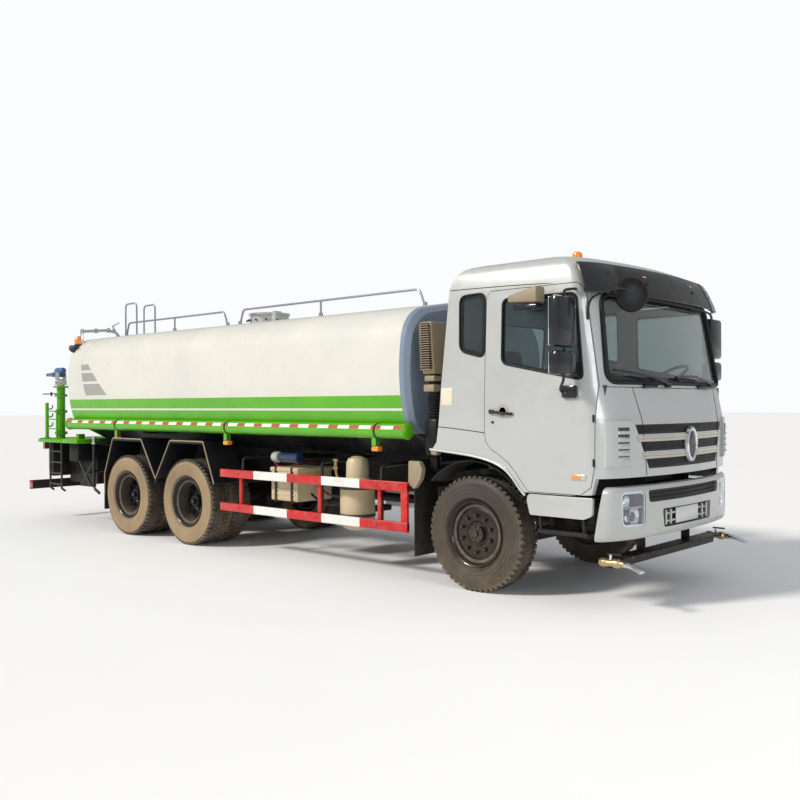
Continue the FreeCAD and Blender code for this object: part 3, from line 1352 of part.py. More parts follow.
def make_cab():
    over = s.cut_overrun
    skin = cab_layer("cab", sized(0), s.cab_wall)
    floor = s.cab_floor_z
    inside = doc.getObject("cab_inner")
    half = s.cab_tunnel_half
    slab = box("floor_slab", (s.cab_rear_x - s.cab_wall, s.front_reach), sides(s.half_width),
               (floor, floor + s.cab_floor_thickness))
    tunnel = box("tunnel_form", (s.cab_rear_x - s.cab_wall, s.front_reach),
                 sides(half + s.cab_floor_thickness),
                 (floor, s.cab_tunnel_top_z + s.cab_floor_thickness))
    deck = common("cab_deck", fuse("deck_forms", slab, tunnel), inside)
    whole = fuse("cab_closed", skin, deck)
    tunnel_hole = box("tunnel_hole", (s.cab_rear_x - s.cab_wall, s.cab_corner_x - s.cab_wall * 2),
                      sides(half), (0, s.cab_tunnel_top_z))
    rear_open = box("rear_open", (s.cab_rear_x - s.cab_wall, s.cab_rear_x + s.cab_wall * 2),
                    sides(s.half_width * 2), (0, floor))
    underside = prism("cab_underside", "XZ",
                      [(s.cab_rear_x - s.cab_wall, 0), (s.front_reach, 0), (s.front_reach, s.cab_nose_z),
                       (s.door_low_front_x, s.cab_nose_z), (s.door_foot_x, s.door_low_z),
                       (s.arch_front_x, s.door_low_z), (s.door_arch_x, s.door_low_z),
                       (s.door_arch_mid_x, s.door_arch_mid_z), (s.door_rear_x, s.arch_top_z),
                       (s.cab_rear_x - s.cab_wall, floor)],
                      -s.half_width * 2, s.half_width * 2)
    door_hole = prism("door_hole", "XZ", door_points(s.door_gap), s.half_width - s.cab_wall * 4,
                      s.half_width * 2)
    quarter = prism("quarter_hole", "XZ", quarter_points(), s.half_width / 2, s.half_width * 2)
    screen = prism("screen_hole", "YZ", screen_points(), s.cab_corner_x / 2, s.front_reach)
    back = box("back_hole", (s.cab_rear_x - s.cab_wall, s.cab_rear_x + s.cab_wall * 4),
               sides(s.back_glass_half_y), (s.back_glass_low_z, s.back_glass_top_z))
    nose_x = s.door_low_front_x + s.door_gap
    nose = box("nose_region", (nose_x, s.front_reach), sides(s.half_width * 2), (0, s.cab_waist_z))
    rooms = [hinge_room(f"hinge_{name}_cab", z, s.hinge_x - s.hinge_radius,
                        s.hinge_x + s.hinge_radius + s.hinge_room, s.hinge_eye_half + s.hinge_room)
             for name, z in HINGES]
    rooms += [mirror(room) for room in rooms]
    body = cut("cab_cut", whole, *rooms, underside, tunnel_hole, rear_open, door_hole, mirror(door_hole), quarter,
               mirror(quarter), screen, back)
    shell = cut("cab_without_nose", body, nose)
    arm = prism("tilt_arm", "XZ", tilt_arm_points(), s.tilt_arm_y, s.tilt_arm_y + s.tilt_arm_width)
    bore = rod("tilt_bore", "y", s.tilt_pin_radius + s.seat_gap,
               (s.tilt_x, s.tilt_arm_y - over, s.tilt_z), s.tilt_arm_width + over * 2)
    hinge = cut("tilt_arm_bored", arm, bore)
    node("cab_shell", fuse("cab_whole", shell, hinge, mirror(hinge)))
    make_front_panel(common("nose_panel", body, nose))
    make_glass(quarter, screen, back)


def hinge_fixed(name, z):
    """The ears and the pin of one door hinge, which stay with the cab."""
    x = s.hinge_x
    y = s.hinge_y
    half = s.hinge_half
    radius = s.hinge_radius - s.hinge_pin_radius / 2
    pieces = [rod(f"{name}_pin", "z", s.hinge_pin_radius, (x, y, z - half), half * 2)]
    for end, low in (("low", z - half), ("high", z + s.hinge_eye_half)):
        height = half - s.hinge_eye_half
        pieces.append(rod(f"{name}_{end}_ear", "z", radius, (x, y, low), height))
        pieces.append(box(f"{name}_{end}_arm", (x, x + s.hinge_leaf), sides_of(y, radius), (low, low + height)))
    return pieces


def hinge_room(name, z, rear_x, front_x, half):
    """The space kept free around one door hinge."""
    return box(f"{name}_room", (rear_x, front_x), (s.hinge_y - s.hinge_radius - s.hinge_room, s.half_width * 2),
               sides_of(z, half))


def hinge_eye(name, z):
    """The eye and the leaf of one door hinge, which swing with the door."""
    x = s.hinge_x
    low = z - s.hinge_eye_half + s.seat_gap
    height = (s.hinge_eye_half - s.seat_gap) * 2
    eye = rod(f"{name}_eye", "z", s.hinge_radius, (x, s.hinge_y, low), height)
    leaf = box(f"{name}_leaf", (x - s.hinge_leaf, x), sides_of(s.hinge_y, s.hinge_leaf_half), (low, low + height))
    bore = rod(f"{name}_bore", "z", s.hinge_pin_radius + s.seat_gap, (x, s.hinge_y, z - s.hinge_half),
               s.hinge_half * 2)
    return cut(f"{name}_bored", fuse(f"{name}_swinging", eye, leaf), bore)


def make_front_panel(panel):
    fixed = []
    for name, z in HINGES:
        fixed += hinge_fixed(f"hinge_{name}", z)
    fixed += [mirror(piece) for piece in fixed]
    bars = []
    for count in range(GRILLE_BARS):
        z = s.grille_low_z + (s.grille_top_z - s.grille_low_z) * (count + 1 / 2) / GRILLE_BARS
        bars.append(box(f"grille_bar_{count}", (s.cab_corner_x - s.cab_wall, s.front_reach), sides(s.grille_half_y),
                        sides_of(z, s.grille_bar_height / 2)))
    layer = cab_layer("grille", -s.grille_depth, s.grille_depth)
    grille = common("grille_form", layer, fuse("grille_blocks", *bars))
    node("front_panel", fuse("panel_with_grille", panel, grille, *fixed))


def tilt_arm_points():
    """A goose-neck arm from the tilt pin back and up to the cab's floor."""
    x = s.tilt_x
    z = s.tilt_z
    half = s.tilt_arm_depth / 2
    back = x - s.tilt_arm_back
    return [(x - half, z - half), (x + half, z - half), (x + half, z + half),
            (back + half, z + s.tilt_arm_depth * 2), (back + half, s.cab_floor_z),
            (back - half, s.cab_floor_z), (back - half, z + s.tilt_arm_depth)]


def door_points(grow):
    """The door's outline, grown on every side for the opening it closes."""
    return [(s.door_rear_x - grow, s.door_top_z + grow), (s.door_rear_x - grow, s.arch_top_z - grow),
            (s.door_arch_mid_x - grow, s.door_arch_mid_z - grow), (s.door_arch_x - grow, s.door_low_z - grow),
            (s.door_foot_x + grow, s.door_low_z - grow), (s.door_low_front_x + grow, s.door_low_corner_z),
            (s.door_waist_front_x + grow, s.door_waist_z), (s.door_top_front_x + grow, s.door_top_z + grow)]


def quarter_points():
    return [(s.quarter_rear_x, s.quarter_top_z), (s.quarter_rear_x, s.quarter_low_z),
            (s.quarter_front_x - s.cab_wall * 2, s.quarter_low_z), (s.quarter_front_x - s.cab_wall * 2, s.quarter_top_z)]


def screen_points():
    return [(-s.screen_low_half_y, s.screen_low_z), (s.screen_low_half_y, s.screen_low_z),
            (s.screen_top_half_y, s.screen_top_z), (-s.screen_top_half_y, s.screen_top_z)]


def pane_points():
    return [(s.pane_rear_x, s.pane_rear_low_z), (s.pane_front_low_x, s.pane_low_z),
            (s.pane_front_top_x, s.pane_top_z), (s.pane_rear_x, s.pane_top_z)]


def make_glass(quarter, screen, back):
    near = s.cab_wall / 4
    layer = cab_layer("glass", near, near + s.glass_thickness)
    node("cab_windows", common("screen_glass", layer, screen), common("quarter_glass", layer, quarter),
         mirror(doc.getObject("quarter_glass")), common("back_glass", layer, back))
    pane = prism("pane_hole", "XZ", pane_points(), s.half_width / 2, s.half_width * 2)
    outline_form = prism("door_form", "XZ", door_points(sized(0)), s.half_width / 2, s.half_width * 2)
    skin = cab_layer("door", sized(0), s.cab_wall)
    panel = cut("door_with_window", common("door_skin", skin, outline_form), pane)
    glass = common("door_pane", layer, pane)
    node("door_glass_left", glass)
    node("door_glass_right", mirror(glass))
    mirrors = []
    for name, low, top in (("large", s.mirror_low_z, s.mirror_top_z),
                           ("small", s.small_mirror_low_z, s.small_mirror_top_z)):
        mirrors.append(box(f"mirror_{name}", sides_of(s.mirror_x, s.mirror_depth / 2),
                           sides_of(s.mirror_y, s.mirror_width / 2), (low, top)))
    post = rod("mirror_post", "z", s.mirror_arm_radius, (s.mirror_x, s.mirror_y, s.mirror_arm_low_z),
               s.mirror_arm_top_z - s.mirror_arm_low_z)
    for name, z in (("top", s.mirror_arm_top_z), ("low", s.mirror_arm_low_z)):
        mirrors.append(rod(f"mirror_arm_{name}", "y", s.mirror_arm_radius,
                           (s.mirror_x, s.half_width - s.cab_wall, z), s.mirror_y - s.half_width + s.cab_wall))
    side = cut("mirror_on_door", fuse("mirror_whole", post, *mirrors), doc.getObject("door_outer"))
    eyes = [hinge_eye(f"hinge_{name}", z) for name, z in HINGES]
    rooms = [hinge_room(f"hinge_{name}_door", z, s.hinge_x - s.hinge_radius * 2 + s.hinge_room / 2,
                        s.hinge_x + s.hinge_room, s.hinge_half + s.hinge_room) for name, z in HINGES]
    whole = fuse("door_whole", cut("door_with_rooms", panel, *rooms), side, *eyes)
    node("door_left", whole)
    node("door_right", mirror(whole))


def make_cab_fittings():
    visor = cab_layer("visor", -s.visor_thickness * 4, -s.visor_thickness * 3)
    region = box("visor_region", (s.visor_root_x, s.front_reach), sides(s.visor_half_y),
                 (s.visor_low_z, s.visor_top_z))
    outside = doc.getObject("cab_outer")
    brackets = [box(f"visor_bracket_{count}", (s.visor_root_x, s.visor_reach_x),
                    sides_of(y, s.visor_thickness), (s.cab_eave_z, s.cab_eave_z + s.visor_thickness * 2))
                for count, y in enumerate((-s.visor_half_y / 2, s.visor_half_y / 2))]
    inside_visor = common("bracket_in_visor", fuse("visor_brackets", *brackets), doc.getObject("visor_outer"))
    band = common("visor_band", visor, region)
    node("sun_visor", cut("visor_on_cab", fuse("visor_whole", band, inside_visor), outside))
    disc = rod("round_mirror_disc", "x", s.round_mirror_radius,
               (s.round_mirror_x, -s.round_mirror_y, s.round_mirror_z), s.round_mirror_depth)
    arm = box("round_mirror_arm", (s.cab_roof_front_x, s.round_mirror_x + s.round_mirror_depth),
              sides_of(-s.round_mirror_y, s.mirror_arm_radius),
              sides_of(s.round_mirror_z, s.mirror_arm_radius))
    lamp = rod("roof_beacon", "z", s.beacon_radius, (s.beacon_x, 0, s.cab_roof_z), s.beacon_height)
    node("roof_fittings", lamp, cut("round_mirror_clear", cut("round_mirror_on_cab", fuse("round_mirror_whole", disc, arm),
                                                       outside), doc.getObject("visor_outer")))


def make_interior():
    floor = s.cab_floor_z + s.cab_floor_thickness
    seat_out = s.seat_y + s.seat_width / 2
    pieces = []
    cushion = box("seat_cushion", (s.seat_x, s.seat_x + s.seat_length), sides_of(s.seat_y, s.seat_width / 2),
                  (s.seat_low_z, s.seat_low_z + s.seat_height))
    back = box("seat_back", (s.seat_x - s.seat_back_thickness, s.seat_x),
               sides_of(s.seat_y, s.seat_width / 2),
               (s.seat_low_z, s.seat_low_z + s.seat_back_height))
    tunnel_out = s.cab_tunnel_half + s.cab_floor_thickness
    base = box("seat_base", (s.seat_x, s.seat_x + s.seat_length), (tunnel_out, seat_out),
               (floor, s.seat_low_z))
    seat = fuse("seat_whole", cushion, back, base)
    node("seats", seat, mirror(seat))
    dash = box("dash_form", (s.dash_rear_x, s.dash_front_x), sides(s.dash_half_y),
               (s.cab_tunnel_top_z + s.cab_floor_thickness, s.dash_top_z))
    dash_foot = box("dash_foot", (s.dash_front_x - s.seat_back_thickness, s.dash_front_x),
                    sides_of(s.wheel_y, s.seat_back_thickness / 2),
                    (floor, s.cab_tunnel_top_z + s.cab_floor_thickness))
    dash_whole = cut("dash_in_cab", fuse("dash_whole", dash, dash_foot), doc.getObject("cab_layer"))
    ring = doc.addObject("Part::Torus", "steering_ring")
    bind(ring, Radius1=s.wheel_radius, Radius2=s.wheel_rim_radius)
    ring.Placement = Placement(Vector(), Rotation(Vector(0, 1, 0), -STEERING_TILT))
    place(ring, s.wheel_x, s.wheel_y, s.wheel_z)
    hub = doc.addObject("Part::Cylinder", "steering_hub")
    bind(hub, Radius=s.column_radius, Height=s.column_radius * 9)
    hub.Placement = Placement(Vector(), Rotation(Vector(0, 1, 0), 180 - STEERING_TILT))
    place(hub, s.wheel_x, s.wheel_y, s.wheel_z)
    spoke = box("steering_spoke", sides_of(s.wheel_x, s.wheel_rim_radius / 2), sides_of(s.wheel_y, s.wheel_radius),
                sides_of(s.wheel_z, s.wheel_rim_radius / 2))
    node("dashboard", fuse("dash_and_wheel", dash_whole, ring, hub, spoke))


AXLES = (("middle", -s.wheelbase), ("rear", -s.wheelbase - s.bogie_spacing))
CROSS_SHARES = (0.02, 0.12, 0.3, 0.42, 0.55, 0.66, 0.99)
FLAT_SHARE = 0.35
HINGES = (("low", s.hinge_low_z), ("high", s.hinge_high_z))
STEERING_TILT = 30

make_frame()
make_engine()
make_front_axle()
make_springs()
make_rear_axles()
make_front_wheels()
make_knuckles()
make_rear_wheels()
make_tank()
make_manhole()
make_tank_rails()
make_side_tubes()
make_side_guards()
make_rear_mudguards()
make_front_flaps()
make_side_equipment()
make_intake()
make_bumper()
make_spray_bar()
make_steps()
make_rear()
make_cannon()
make_cab()
make_cab_fittings()
make_interior()

doc.recompute()
failed = [thing.Label for thing in doc.Objects if "Invalid" in thing.State or "Error" in thing.State]
if failed:
    raise RuntimeError(f"not computed: {failed}")
broken = [piece.Label for piece in nodes if piece.Shape.isNull() or not piece.Shape.isValid()]
if broken:
    raise RuntimeError(f"no valid shape: {broken}")
os.makedirs("parts", exist_ok=True)
for piece in nodes:
    piece.Shape.exportStep(f"parts/{piece.Label}.step")
    print(piece.Label, len(piece.Shape.Solids), round(piece.Shape.Volume / 1e9, 5))
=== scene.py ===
# %% [markdown]
# # A six-wheel tanker truck
# This lesson dresses the solid model of a cab-over tanker truck so that it looks like the real one.
# The solids give every place and size. Blender adds what solids leave out: paint with dust on it,
# tread blocks, rubber seals, mesh in the grille, hoses, bolts and small lamps.

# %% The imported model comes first
import json
import math
import bmesh
import bpy
from mathutils import Matrix, Vector


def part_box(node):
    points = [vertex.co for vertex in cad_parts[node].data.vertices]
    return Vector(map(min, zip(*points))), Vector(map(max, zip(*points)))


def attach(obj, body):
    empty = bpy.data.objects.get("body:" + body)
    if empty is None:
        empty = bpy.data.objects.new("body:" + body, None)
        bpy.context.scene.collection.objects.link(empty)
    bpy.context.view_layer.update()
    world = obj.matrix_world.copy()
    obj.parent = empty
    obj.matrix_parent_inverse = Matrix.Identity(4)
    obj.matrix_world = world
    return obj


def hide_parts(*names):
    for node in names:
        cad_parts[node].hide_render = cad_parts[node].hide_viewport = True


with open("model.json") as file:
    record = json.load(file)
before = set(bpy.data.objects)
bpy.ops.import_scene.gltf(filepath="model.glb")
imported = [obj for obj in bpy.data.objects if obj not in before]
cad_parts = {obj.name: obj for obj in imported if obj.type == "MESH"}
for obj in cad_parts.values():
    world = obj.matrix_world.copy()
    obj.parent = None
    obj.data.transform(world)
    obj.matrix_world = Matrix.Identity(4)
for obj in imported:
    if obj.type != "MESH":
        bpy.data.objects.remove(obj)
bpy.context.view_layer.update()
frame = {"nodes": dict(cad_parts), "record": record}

nodes = frame["nodes"]
tyre_low, tyre_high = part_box("front_tyre_right")
AXLE_X = (tyre_low[0] + tyre_high[0]) / 2
AXLE_Z = (tyre_low[2] + tyre_high[2]) / 2

# %% [markdown]
# ## The camera
# A truck looks right only from where it was photographed. The place and the lens were worked out
# from the wheels and the tank's long edges, so lines in the picture lie on lines in the model.
# Turning the view by hand could come close, but numbers keep it the same every time.

# %% Camera at the photograph's place
CAMERA_PLACE = Vector((8.516, -7.7048, 1.7128))
CAMERA_YAW, CAMERA_PITCH, CAMERA_ROLL = 0.7372, -0.0027, -0.0044
LENS, SENSOR, SHIFT_UP = 40.887, 36.0, 0.008275


def camera_axes():
    """The camera's right, up and forward directions."""
    forward = Vector((-math.sin(CAMERA_YAW) * math.cos(CAMERA_PITCH),
                      math.cos(CAMERA_YAW) * math.cos(CAMERA_PITCH), math.sin(CAMERA_PITCH)))
    level = Vector((math.cos(CAMERA_YAW), math.sin(CAMERA_YAW), 0))
    upright = level.cross(forward)
    right = level * math.cos(CAMERA_ROLL) + upright * math.sin(CAMERA_ROLL)
    return right, right.cross(forward), forward


right, up, forward = camera_axes()
camera = bpy.data.objects.new("camera", bpy.data.cameras.new("camera"))
camera.data.lens, camera.data.sensor_width, camera.data.shift_y = LENS, SENSOR, SHIFT_UP
camera.data.clip_end = 200
camera.matrix_world = Matrix.Translation(CAMERA_PLACE) @ Matrix((right, up, -forward)).transposed().to_4x4()
bpy.context.scene.collection.objects.link(camera)
bpy.context.scene.camera = camera
print("the camera stands at", tuple(CAMERA_PLACE))

# %% [markdown]
# ## Floor and light
# The truck stands on a pale floor that runs far past the picture, so no edge of it shows. A wide
# even lamp shines from high on the left, behind the truck's shoulder, and a weak one lights the nose.
# The sky is white and weaker for the truck than for the eye, which keeps the shadows deep. A sky as
# bright as the background would wash out the parts under the frame.

# %% Floor, sky and lamps
KEY_PLACE, KEY_ANGLE, KEY_STRENGTH = (-7.0, -15.0, 11.5), math.radians(9), 2.9
FILL_PLACE, FILL_SIZE, FILL_POWER = (17.0, -5.0, 5.0), 5.0, 420
SKY_SEEN, SKY_LIGHT = 1.0, 0.52


def add_light(name, kind, place, aim, size, power, tint):
    data = bpy.data.lights.new(name, kind)
    data.energy, data.color = power, tint
    if kind == "SUN":
        data.angle = size
    else:
        data.shape, data.size = "DISK", size
    lamp = bpy.data.objects.new(name, data)
    lamp.location = place
    lamp.rotation_euler = (Vector(aim) - Vector(place)).to_track_quat("-Z", "Y").to_euler()
    bpy.context.scene.collection.objects.link(lamp)


def plain_floor(half):
    mesh = bpy.data.meshes.new("floor")
    corners = [(-half, -half, 0), (half, -half, 0), (half, half, 0), (-half, half, 0)]
    mesh.from_pydata(corners, [], [(0, 1, 2, 3)])
    floor = bpy.data.objects.new("floor", mesh)
    bpy.context.scene.collection.objects.link(floor)
    return floor


def white_sky():
    """White to the eye and softer as a light."""
    world = bpy.data.worlds.new("studio sky")
    bpy.context.scene.world = world
    world.use_nodes = True
    tree = world.node_tree
    path = tree.nodes.new("ShaderNodeLightPath")
    share = tree.nodes.new("ShaderNodeMapRange")
    share.inputs["To Min"].default_value = SKY_LIGHT
    share.inputs["To Max"].default_value = SKY_SEEN
    tree.links.new(path.outputs["Is Camera Ray"], share.inputs["Value"])
    tree.links.new(share.outputs["Result"], tree.nodes["Background"].inputs["Strength"])
    tree.nodes["Background"].inputs["Color"].default_value = (0.96, 0.98, 1.0, 1)


floor = plain_floor(150)
white_sky()
add_light("key lamp", "SUN", KEY_PLACE, (0, 0, 0), KEY_ANGLE, KEY_STRENGTH, (1.0, 0.96, 0.89))
add_light("nose lamp", "AREA", FILL_PLACE, (4, 0, 1.6), FILL_SIZE, FILL_POWER, (0.9, 0.95, 1.0))
bpy.context.scene.view_settings.view_transform = "Standard"
print("two lamps and the sky light the truck")

# %% [markdown]
# ## Building tools
# Most pieces below are gathered from a few kinds of form: blocks with broken edges, turned forms,
# tubes, and flat plates cut to an outline. A piece holds forms of several finishes in one mesh and
# rides on one body of the solid model. Separate objects for every bolt would make a long list that
# nobody could read, and joined pieces move together anyway. Places are counted from the front axle.

# %% A piece and what it is gathered from
def as_mesh(part):
    """A form that is still being edited becomes a plain mesh."""
    if not isinstance(part, bmesh.types.BMesh):
        return part
    mesh = bpy.data.meshes.new("part")
    part.to_mesh(mesh)
    part.free()
    return mesh


class Piece:
    """Forms of several finishes in one mesh, in places counted from the front axle."""

    def __init__(self, name, body, main):
        self.name, self.body = name, body
        self.finishes = [main]
        self.form = bmesh.new()

    def repeat(self, part, count, finish=None, **pattern):
        """Takes in copies of a form, in a ring or a row."""
        finish = finish or self.finishes[0]
        self.add(copies(part, count, finish, **pattern), finish)

    def add(self, part, finish=None):
        """Takes in a form, in the piece's main finish unless another is named."""
        finish = finish or self.finishes[0]
        if finish not in self.finishes:
            self.finishes.append(finish)
        mesh = as_mesh(part)
        known = len(self.form.faces)
        self.form.from_mesh(mesh)
        self.form.faces.ensure_lookup_table()
        for face in self.form.faces[known:]:
            face.material_index = self.finishes.index(finish)
        bpy.data.meshes.remove(mesh)

    def mirror(self):
        """Adds the same forms on the other side of the truck."""
        every = self.form.verts[:] + self.form.edges[:] + self.form.faces[:]
        copy = bmesh.ops.duplicate(self.form, geom=every)
        fresh = [item for item in copy["geom"] if isinstance(item, bmesh.types.BMVert)]
        bmesh.ops.scale(self.form, vec=(1, -1, 1), verts=fresh)

    def flip(self):
        """Moves the forms to the other side of the truck."""
        bmesh.ops.scale(self.form, vec=(1, -1, 1), verts=self.form.verts)

    def finish(self, *stands_for, angle=32):
        form = self.form
        bmesh.ops.translate(form, verts=form.verts, vec=(AXLE_X, 0, 0))
        bmesh.ops.recalc_face_normals(form, faces=form.faces)
        mesh = bpy.data.meshes.new(self.name)
        form.to_mesh(mesh)
        form.free()
        for finish in self.finishes:
            mesh.materials.append(materials[finish])
        mesh.shade_smooth()
        mesh.set_sharp_from_angle(angle=math.radians(angle))
        thing = bpy.data.objects.new(self.name, mesh)
        bpy.context.scene.collection.objects.link(thing)
        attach(thing, self.body)
        if stands_for:
            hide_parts(*stands_for)
        print(self.name, "has", len(mesh.polygons), "faces")
        return thing


# %% Blocks, turned forms and plates
AXES = {"x": (1, 2, 0), "y": (0, 2, 1), "z": (0, 1, 2)}


def closed(part):
    """The same closed form with its faces pointing outwards."""
    bmesh.ops.recalc_face_normals(part, faces=part.faces)
    return part


def span(side, low, high):
    """Two places across on one side of the truck, the lower first."""
    return sorted((side * low, side * high))


def band(part, first, second):
    """Faces between two rings with as many corners."""
    for index in range(len(first)):
        after = (index + 1) % len(first)
        part.faces.new((first[index], first[after], second[after], second[index]))


def block(low, high, edge=0.004):
    """A box with broken edges."""
    part = bmesh.new()
    bmesh.ops.create_cube(part, size=1)
    low, high = Vector(low), Vector(high)
    for vert in part.verts:
        vert.co = Vector([low[i] + (vert.co[i] + 0.5) * (high[i] - low[i]) for i in range(3)])
    if edge:
        bmesh.ops.bevel(part, geom=part.edges[:], offset=edge, segments=2, profile=0.5, affect="EDGES")
    return part


def lathe(profile, centre, axis, steps=48, closed=False):
    """A form turned about an axis; the profile gives radius and place along the axis."""
    part = bmesh.new()
    across, upward, along = AXES[axis]
    rings = []
    for radius, place in profile:
        ring = []
        for step in range(steps if radius else 1):
            angle = 2 * math.pi * step / steps
            spot = Vector(centre)
            spot[across] += radius * math.cos(angle)
            spot[upward] += radius * math.sin(angle)
            spot[along] += place
            ring.append(part.verts.new(spot))
        rings.append(ring)
    pairs = list(zip(rings, rings[1:])) + ([(rings[-1], rings[0])] if closed else [])
    for first, second in pairs:
        for step in range(steps if len(first) + len(second) > 2 else 0):
            after = (step + 1) % steps
            corners = [first[step % len(first)], first[after % len(first)],
                       second[after % len(second)], second[step % len(second)]]
            part.faces.new(list(dict.fromkeys(corners)))
    return part


def rod(start, end, radius, steps=16):
    """A round bar between two places."""
    start, end = Vector(start), Vector(end)
    reach = (end - start).length
    part = lathe([(0, 0), (radius, 0), (radius, reach), (0, reach)], (0, 0, 0), "z", steps)
    turn = (end - start).to_track_quat("Z", "Y").to_matrix().to_4x4()
    bmesh.ops.transform(part, matrix=Matrix.Translation(start) @ turn, verts=part.verts)
    return part


def disc(centre, axis, radius, half, steps=32):
    """A round plate that reaches as far as half on each side of its centre."""
    return lathe([(0, -half), (radius, -half), (radius, half), (0, half)], centre, axis, steps)


def turned(part, angle, axis, pivot=(0, 0, 0), place=(0, 0, 0)):
    """A form turned about an axis through the pivot, then moved to its place."""
    bmesh.ops.rotate(part, verts=part.verts, cent=pivot, matrix=Matrix.Rotation(angle, 3, axis))
    bmesh.ops.translate(part, verts=part.verts, vec=place)
    return part


def slab(outline, plane, low, high, edge=0.0):
    """A plate cut to an outline and as thick as from low to high across its plane."""
    part = bmesh.new()
    spots = {"xz": lambda u, v, w: (u, w, v), "yz": lambda u, v, w: (w, u, v)}
    near, far = [[part.verts.new(spots[plane](u, v, w)) for u, v in outline] for w in (low, high)]
    part.faces.new(near)
    part.faces.new(reversed(far))
    band(part, far, near)
    if edge:
        bmesh.ops.bevel(part, geom=part.edges[:], offset=edge, segments=2, profile=0.5, affect="EDGES",
                        clamp_overlap=True)
    return part


def rounded(outline, radius, steps=5):
    """The same outline with its corners rounded."""
    spots = [Vector(spot) for spot in outline]
    smooth = []
    for index, here in enumerate(spots):
        before, after = spots[index - 1] - here, spots[(index + 1) % len(spots)] - here
        reach = min(radius, before.length * 0.45, after.length * 0.45)
        first, last = here + before.normalized() * reach, here + after.normalized() * reach
        for step in range(steps + 1):
            share = step / steps
            smooth.append(tuple(first * (1 - share) ** 2 + here * 2 * share * (1 - share)
                                + last * share ** 2))
    return smooth


# %% Tubes follow a smooth line
def tube(points, radius, closed=False, straight=False):
    """A round tube along points, bent smoothly unless it is straight between them."""
    curve = bpy.data.curves.new("tube", "CURVE")
    curve.dimensions, curve.bevel_depth, curve.bevel_resolution = "3D", radius, 3
    curve.use_fill_caps, curve.resolution_u = True, 5
    spline = curve.splines.new("POLY" if straight else "NURBS")
    spline.points.add(len(points) - 1)
    for spot, place in zip(spline.points, points):
        spot.co = (*place, 1)
    spline.use_cyclic_u = closed
    if not straight:
        spline.order_u = 3
        spline.use_endpoint_u = not closed
    holder = bpy.data.objects.new("tube", curve)
    bpy.context.scene.collection.objects.link(holder)
    mesh = bpy.data.meshes.new_from_object(holder)
    bpy.data.objects.remove(holder)
    bpy.data.curves.remove(curve)
    return mesh


# %% [markdown]
# ## Copies in a ring or a row
# Wheel nuts, tread blocks, ribs and slats are one form said many times. Geometry Nodes can copy it
# for us: each copy turns and shifts a little further than the one before. Copying by hand would
# take hundreds of steps, and changing the number of copies later would mean starting again.

# %% One tree for all that repeats
def copying_tree():
    tree = bpy.data.node_groups.new("copies in a ring or a row", "GeometryNodeTree")
    tree.interface.new_socket("Geometry", in_out="INPUT", socket_type="NodeSocketGeometry")
    for label, kind in (("Count", "Int"), ("Turn per copy", "Vector"), ("Step per copy", "Vector"),
                        ("Pivot", "Vector"), ("Finish", "Material")):
        tree.interface.new_socket(label, in_out="INPUT", socket_type=f"NodeSocket{kind}")
    tree.interface.new_socket("Geometry", in_out="OUTPUT", socket_type="NodeSocketGeometry")
    add, link = tree.nodes.new, tree.links.new
    start, end = add("NodeGroupInput"), add("NodeGroupOutput")
    whole, repeat = add("GeometryNodeGeometryToInstance"), add("GeometryNodeDuplicateElements")
    turn, shift = add("GeometryNodeRotateInstances"), add("GeometryNodeTranslateInstances")
    real, paint = add("GeometryNodeRealizeInstances"), add("GeometryNodeSetMaterial")
    repeat.domain = "INSTANCE"
    turn.inputs["Local Space"].default_value = shift.inputs["Local Space"].default_value = False
    link(start.outputs["Geometry"], whole.inputs[0])
    link(whole.outputs[0], repeat.inputs["Geometry"])
    link(start.outputs["Count"], repeat.inputs["Amount"])
    for label, target, socket in (("Turn per copy", turn, "Rotation"),
                                  ("Step per copy", shift, "Translation")):
        times = add("ShaderNodeVectorMath")
        times.operation = "SCALE"
        link(start.outputs[label], times.inputs[0])
        link(repeat.outputs["Duplicate Index"], times.inputs["Scale"])
        link(times.outputs[0], target.inputs[socket])
    link(start.outputs["Pivot"], turn.inputs["Pivot Point"])
    link(repeat.outputs["Geometry"], turn.inputs["Instances"])
    link(turn.outputs[0], shift.inputs["Instances"])
    link(shift.outputs[0], real.inputs[0])
    link(real.outputs[0], paint.inputs["Geometry"])
    link(start.outputs["Finish"], paint.inputs["Material"])
    link(paint.outputs[0], end.inputs["Geometry"])
    return tree


copy_tree = copying_tree()
copy_inputs = {item.name: item.identifier for item in copy_tree.interface.items_tree
               if item.in_out == "INPUT"}


def as_object(part):
    holder = bpy.data.objects.new("part", as_mesh(part))
    bpy.context.scene.collection.objects.link(holder)
    return holder


def clear_away(holder):
    mesh = holder.data
    bpy.data.objects.remove(holder)
    bpy.data.meshes.remove(mesh)


def made_plain(holder):
    """The object's evaluated shape as a mesh of its own; the object itself goes."""
    mesh = bpy.data.meshes.new_from_object(holder.evaluated_get(bpy.context.evaluated_depsgraph_get()))
    clear_away(holder)
    return mesh


def copies(part, count, finish, turn=(0, 0, 0), step=(0, 0, 0), pivot=(0, 0, 0)):
    holder = as_object(part)
    modifier = holder.modifiers.new("copies", "NODES")
    modifier.node_group = copy_tree
    given = {"Count": count, "Turn per copy": turn, "Step per copy": step, "Pivot": pivot,
             "Finish": materials[finish]}
    for label, value in given.items():
        modifier[copy_inputs[label]] = value
    return made_plain(holder)


def carve(form, tool, how="DIFFERENCE"):
    """One form cut by another, or cut down to what they share."""
    holder, cutter = as_object(form), as_object(tool)
    modifier = holder.modifiers.new("cut", "BOOLEAN")
    modifier.solver, modifier.operation, modifier.object = "EXACT", how, cutter
    mesh = made_plain(holder)
    clear_away(cutter)
    return mesh


print("the tools are ready")

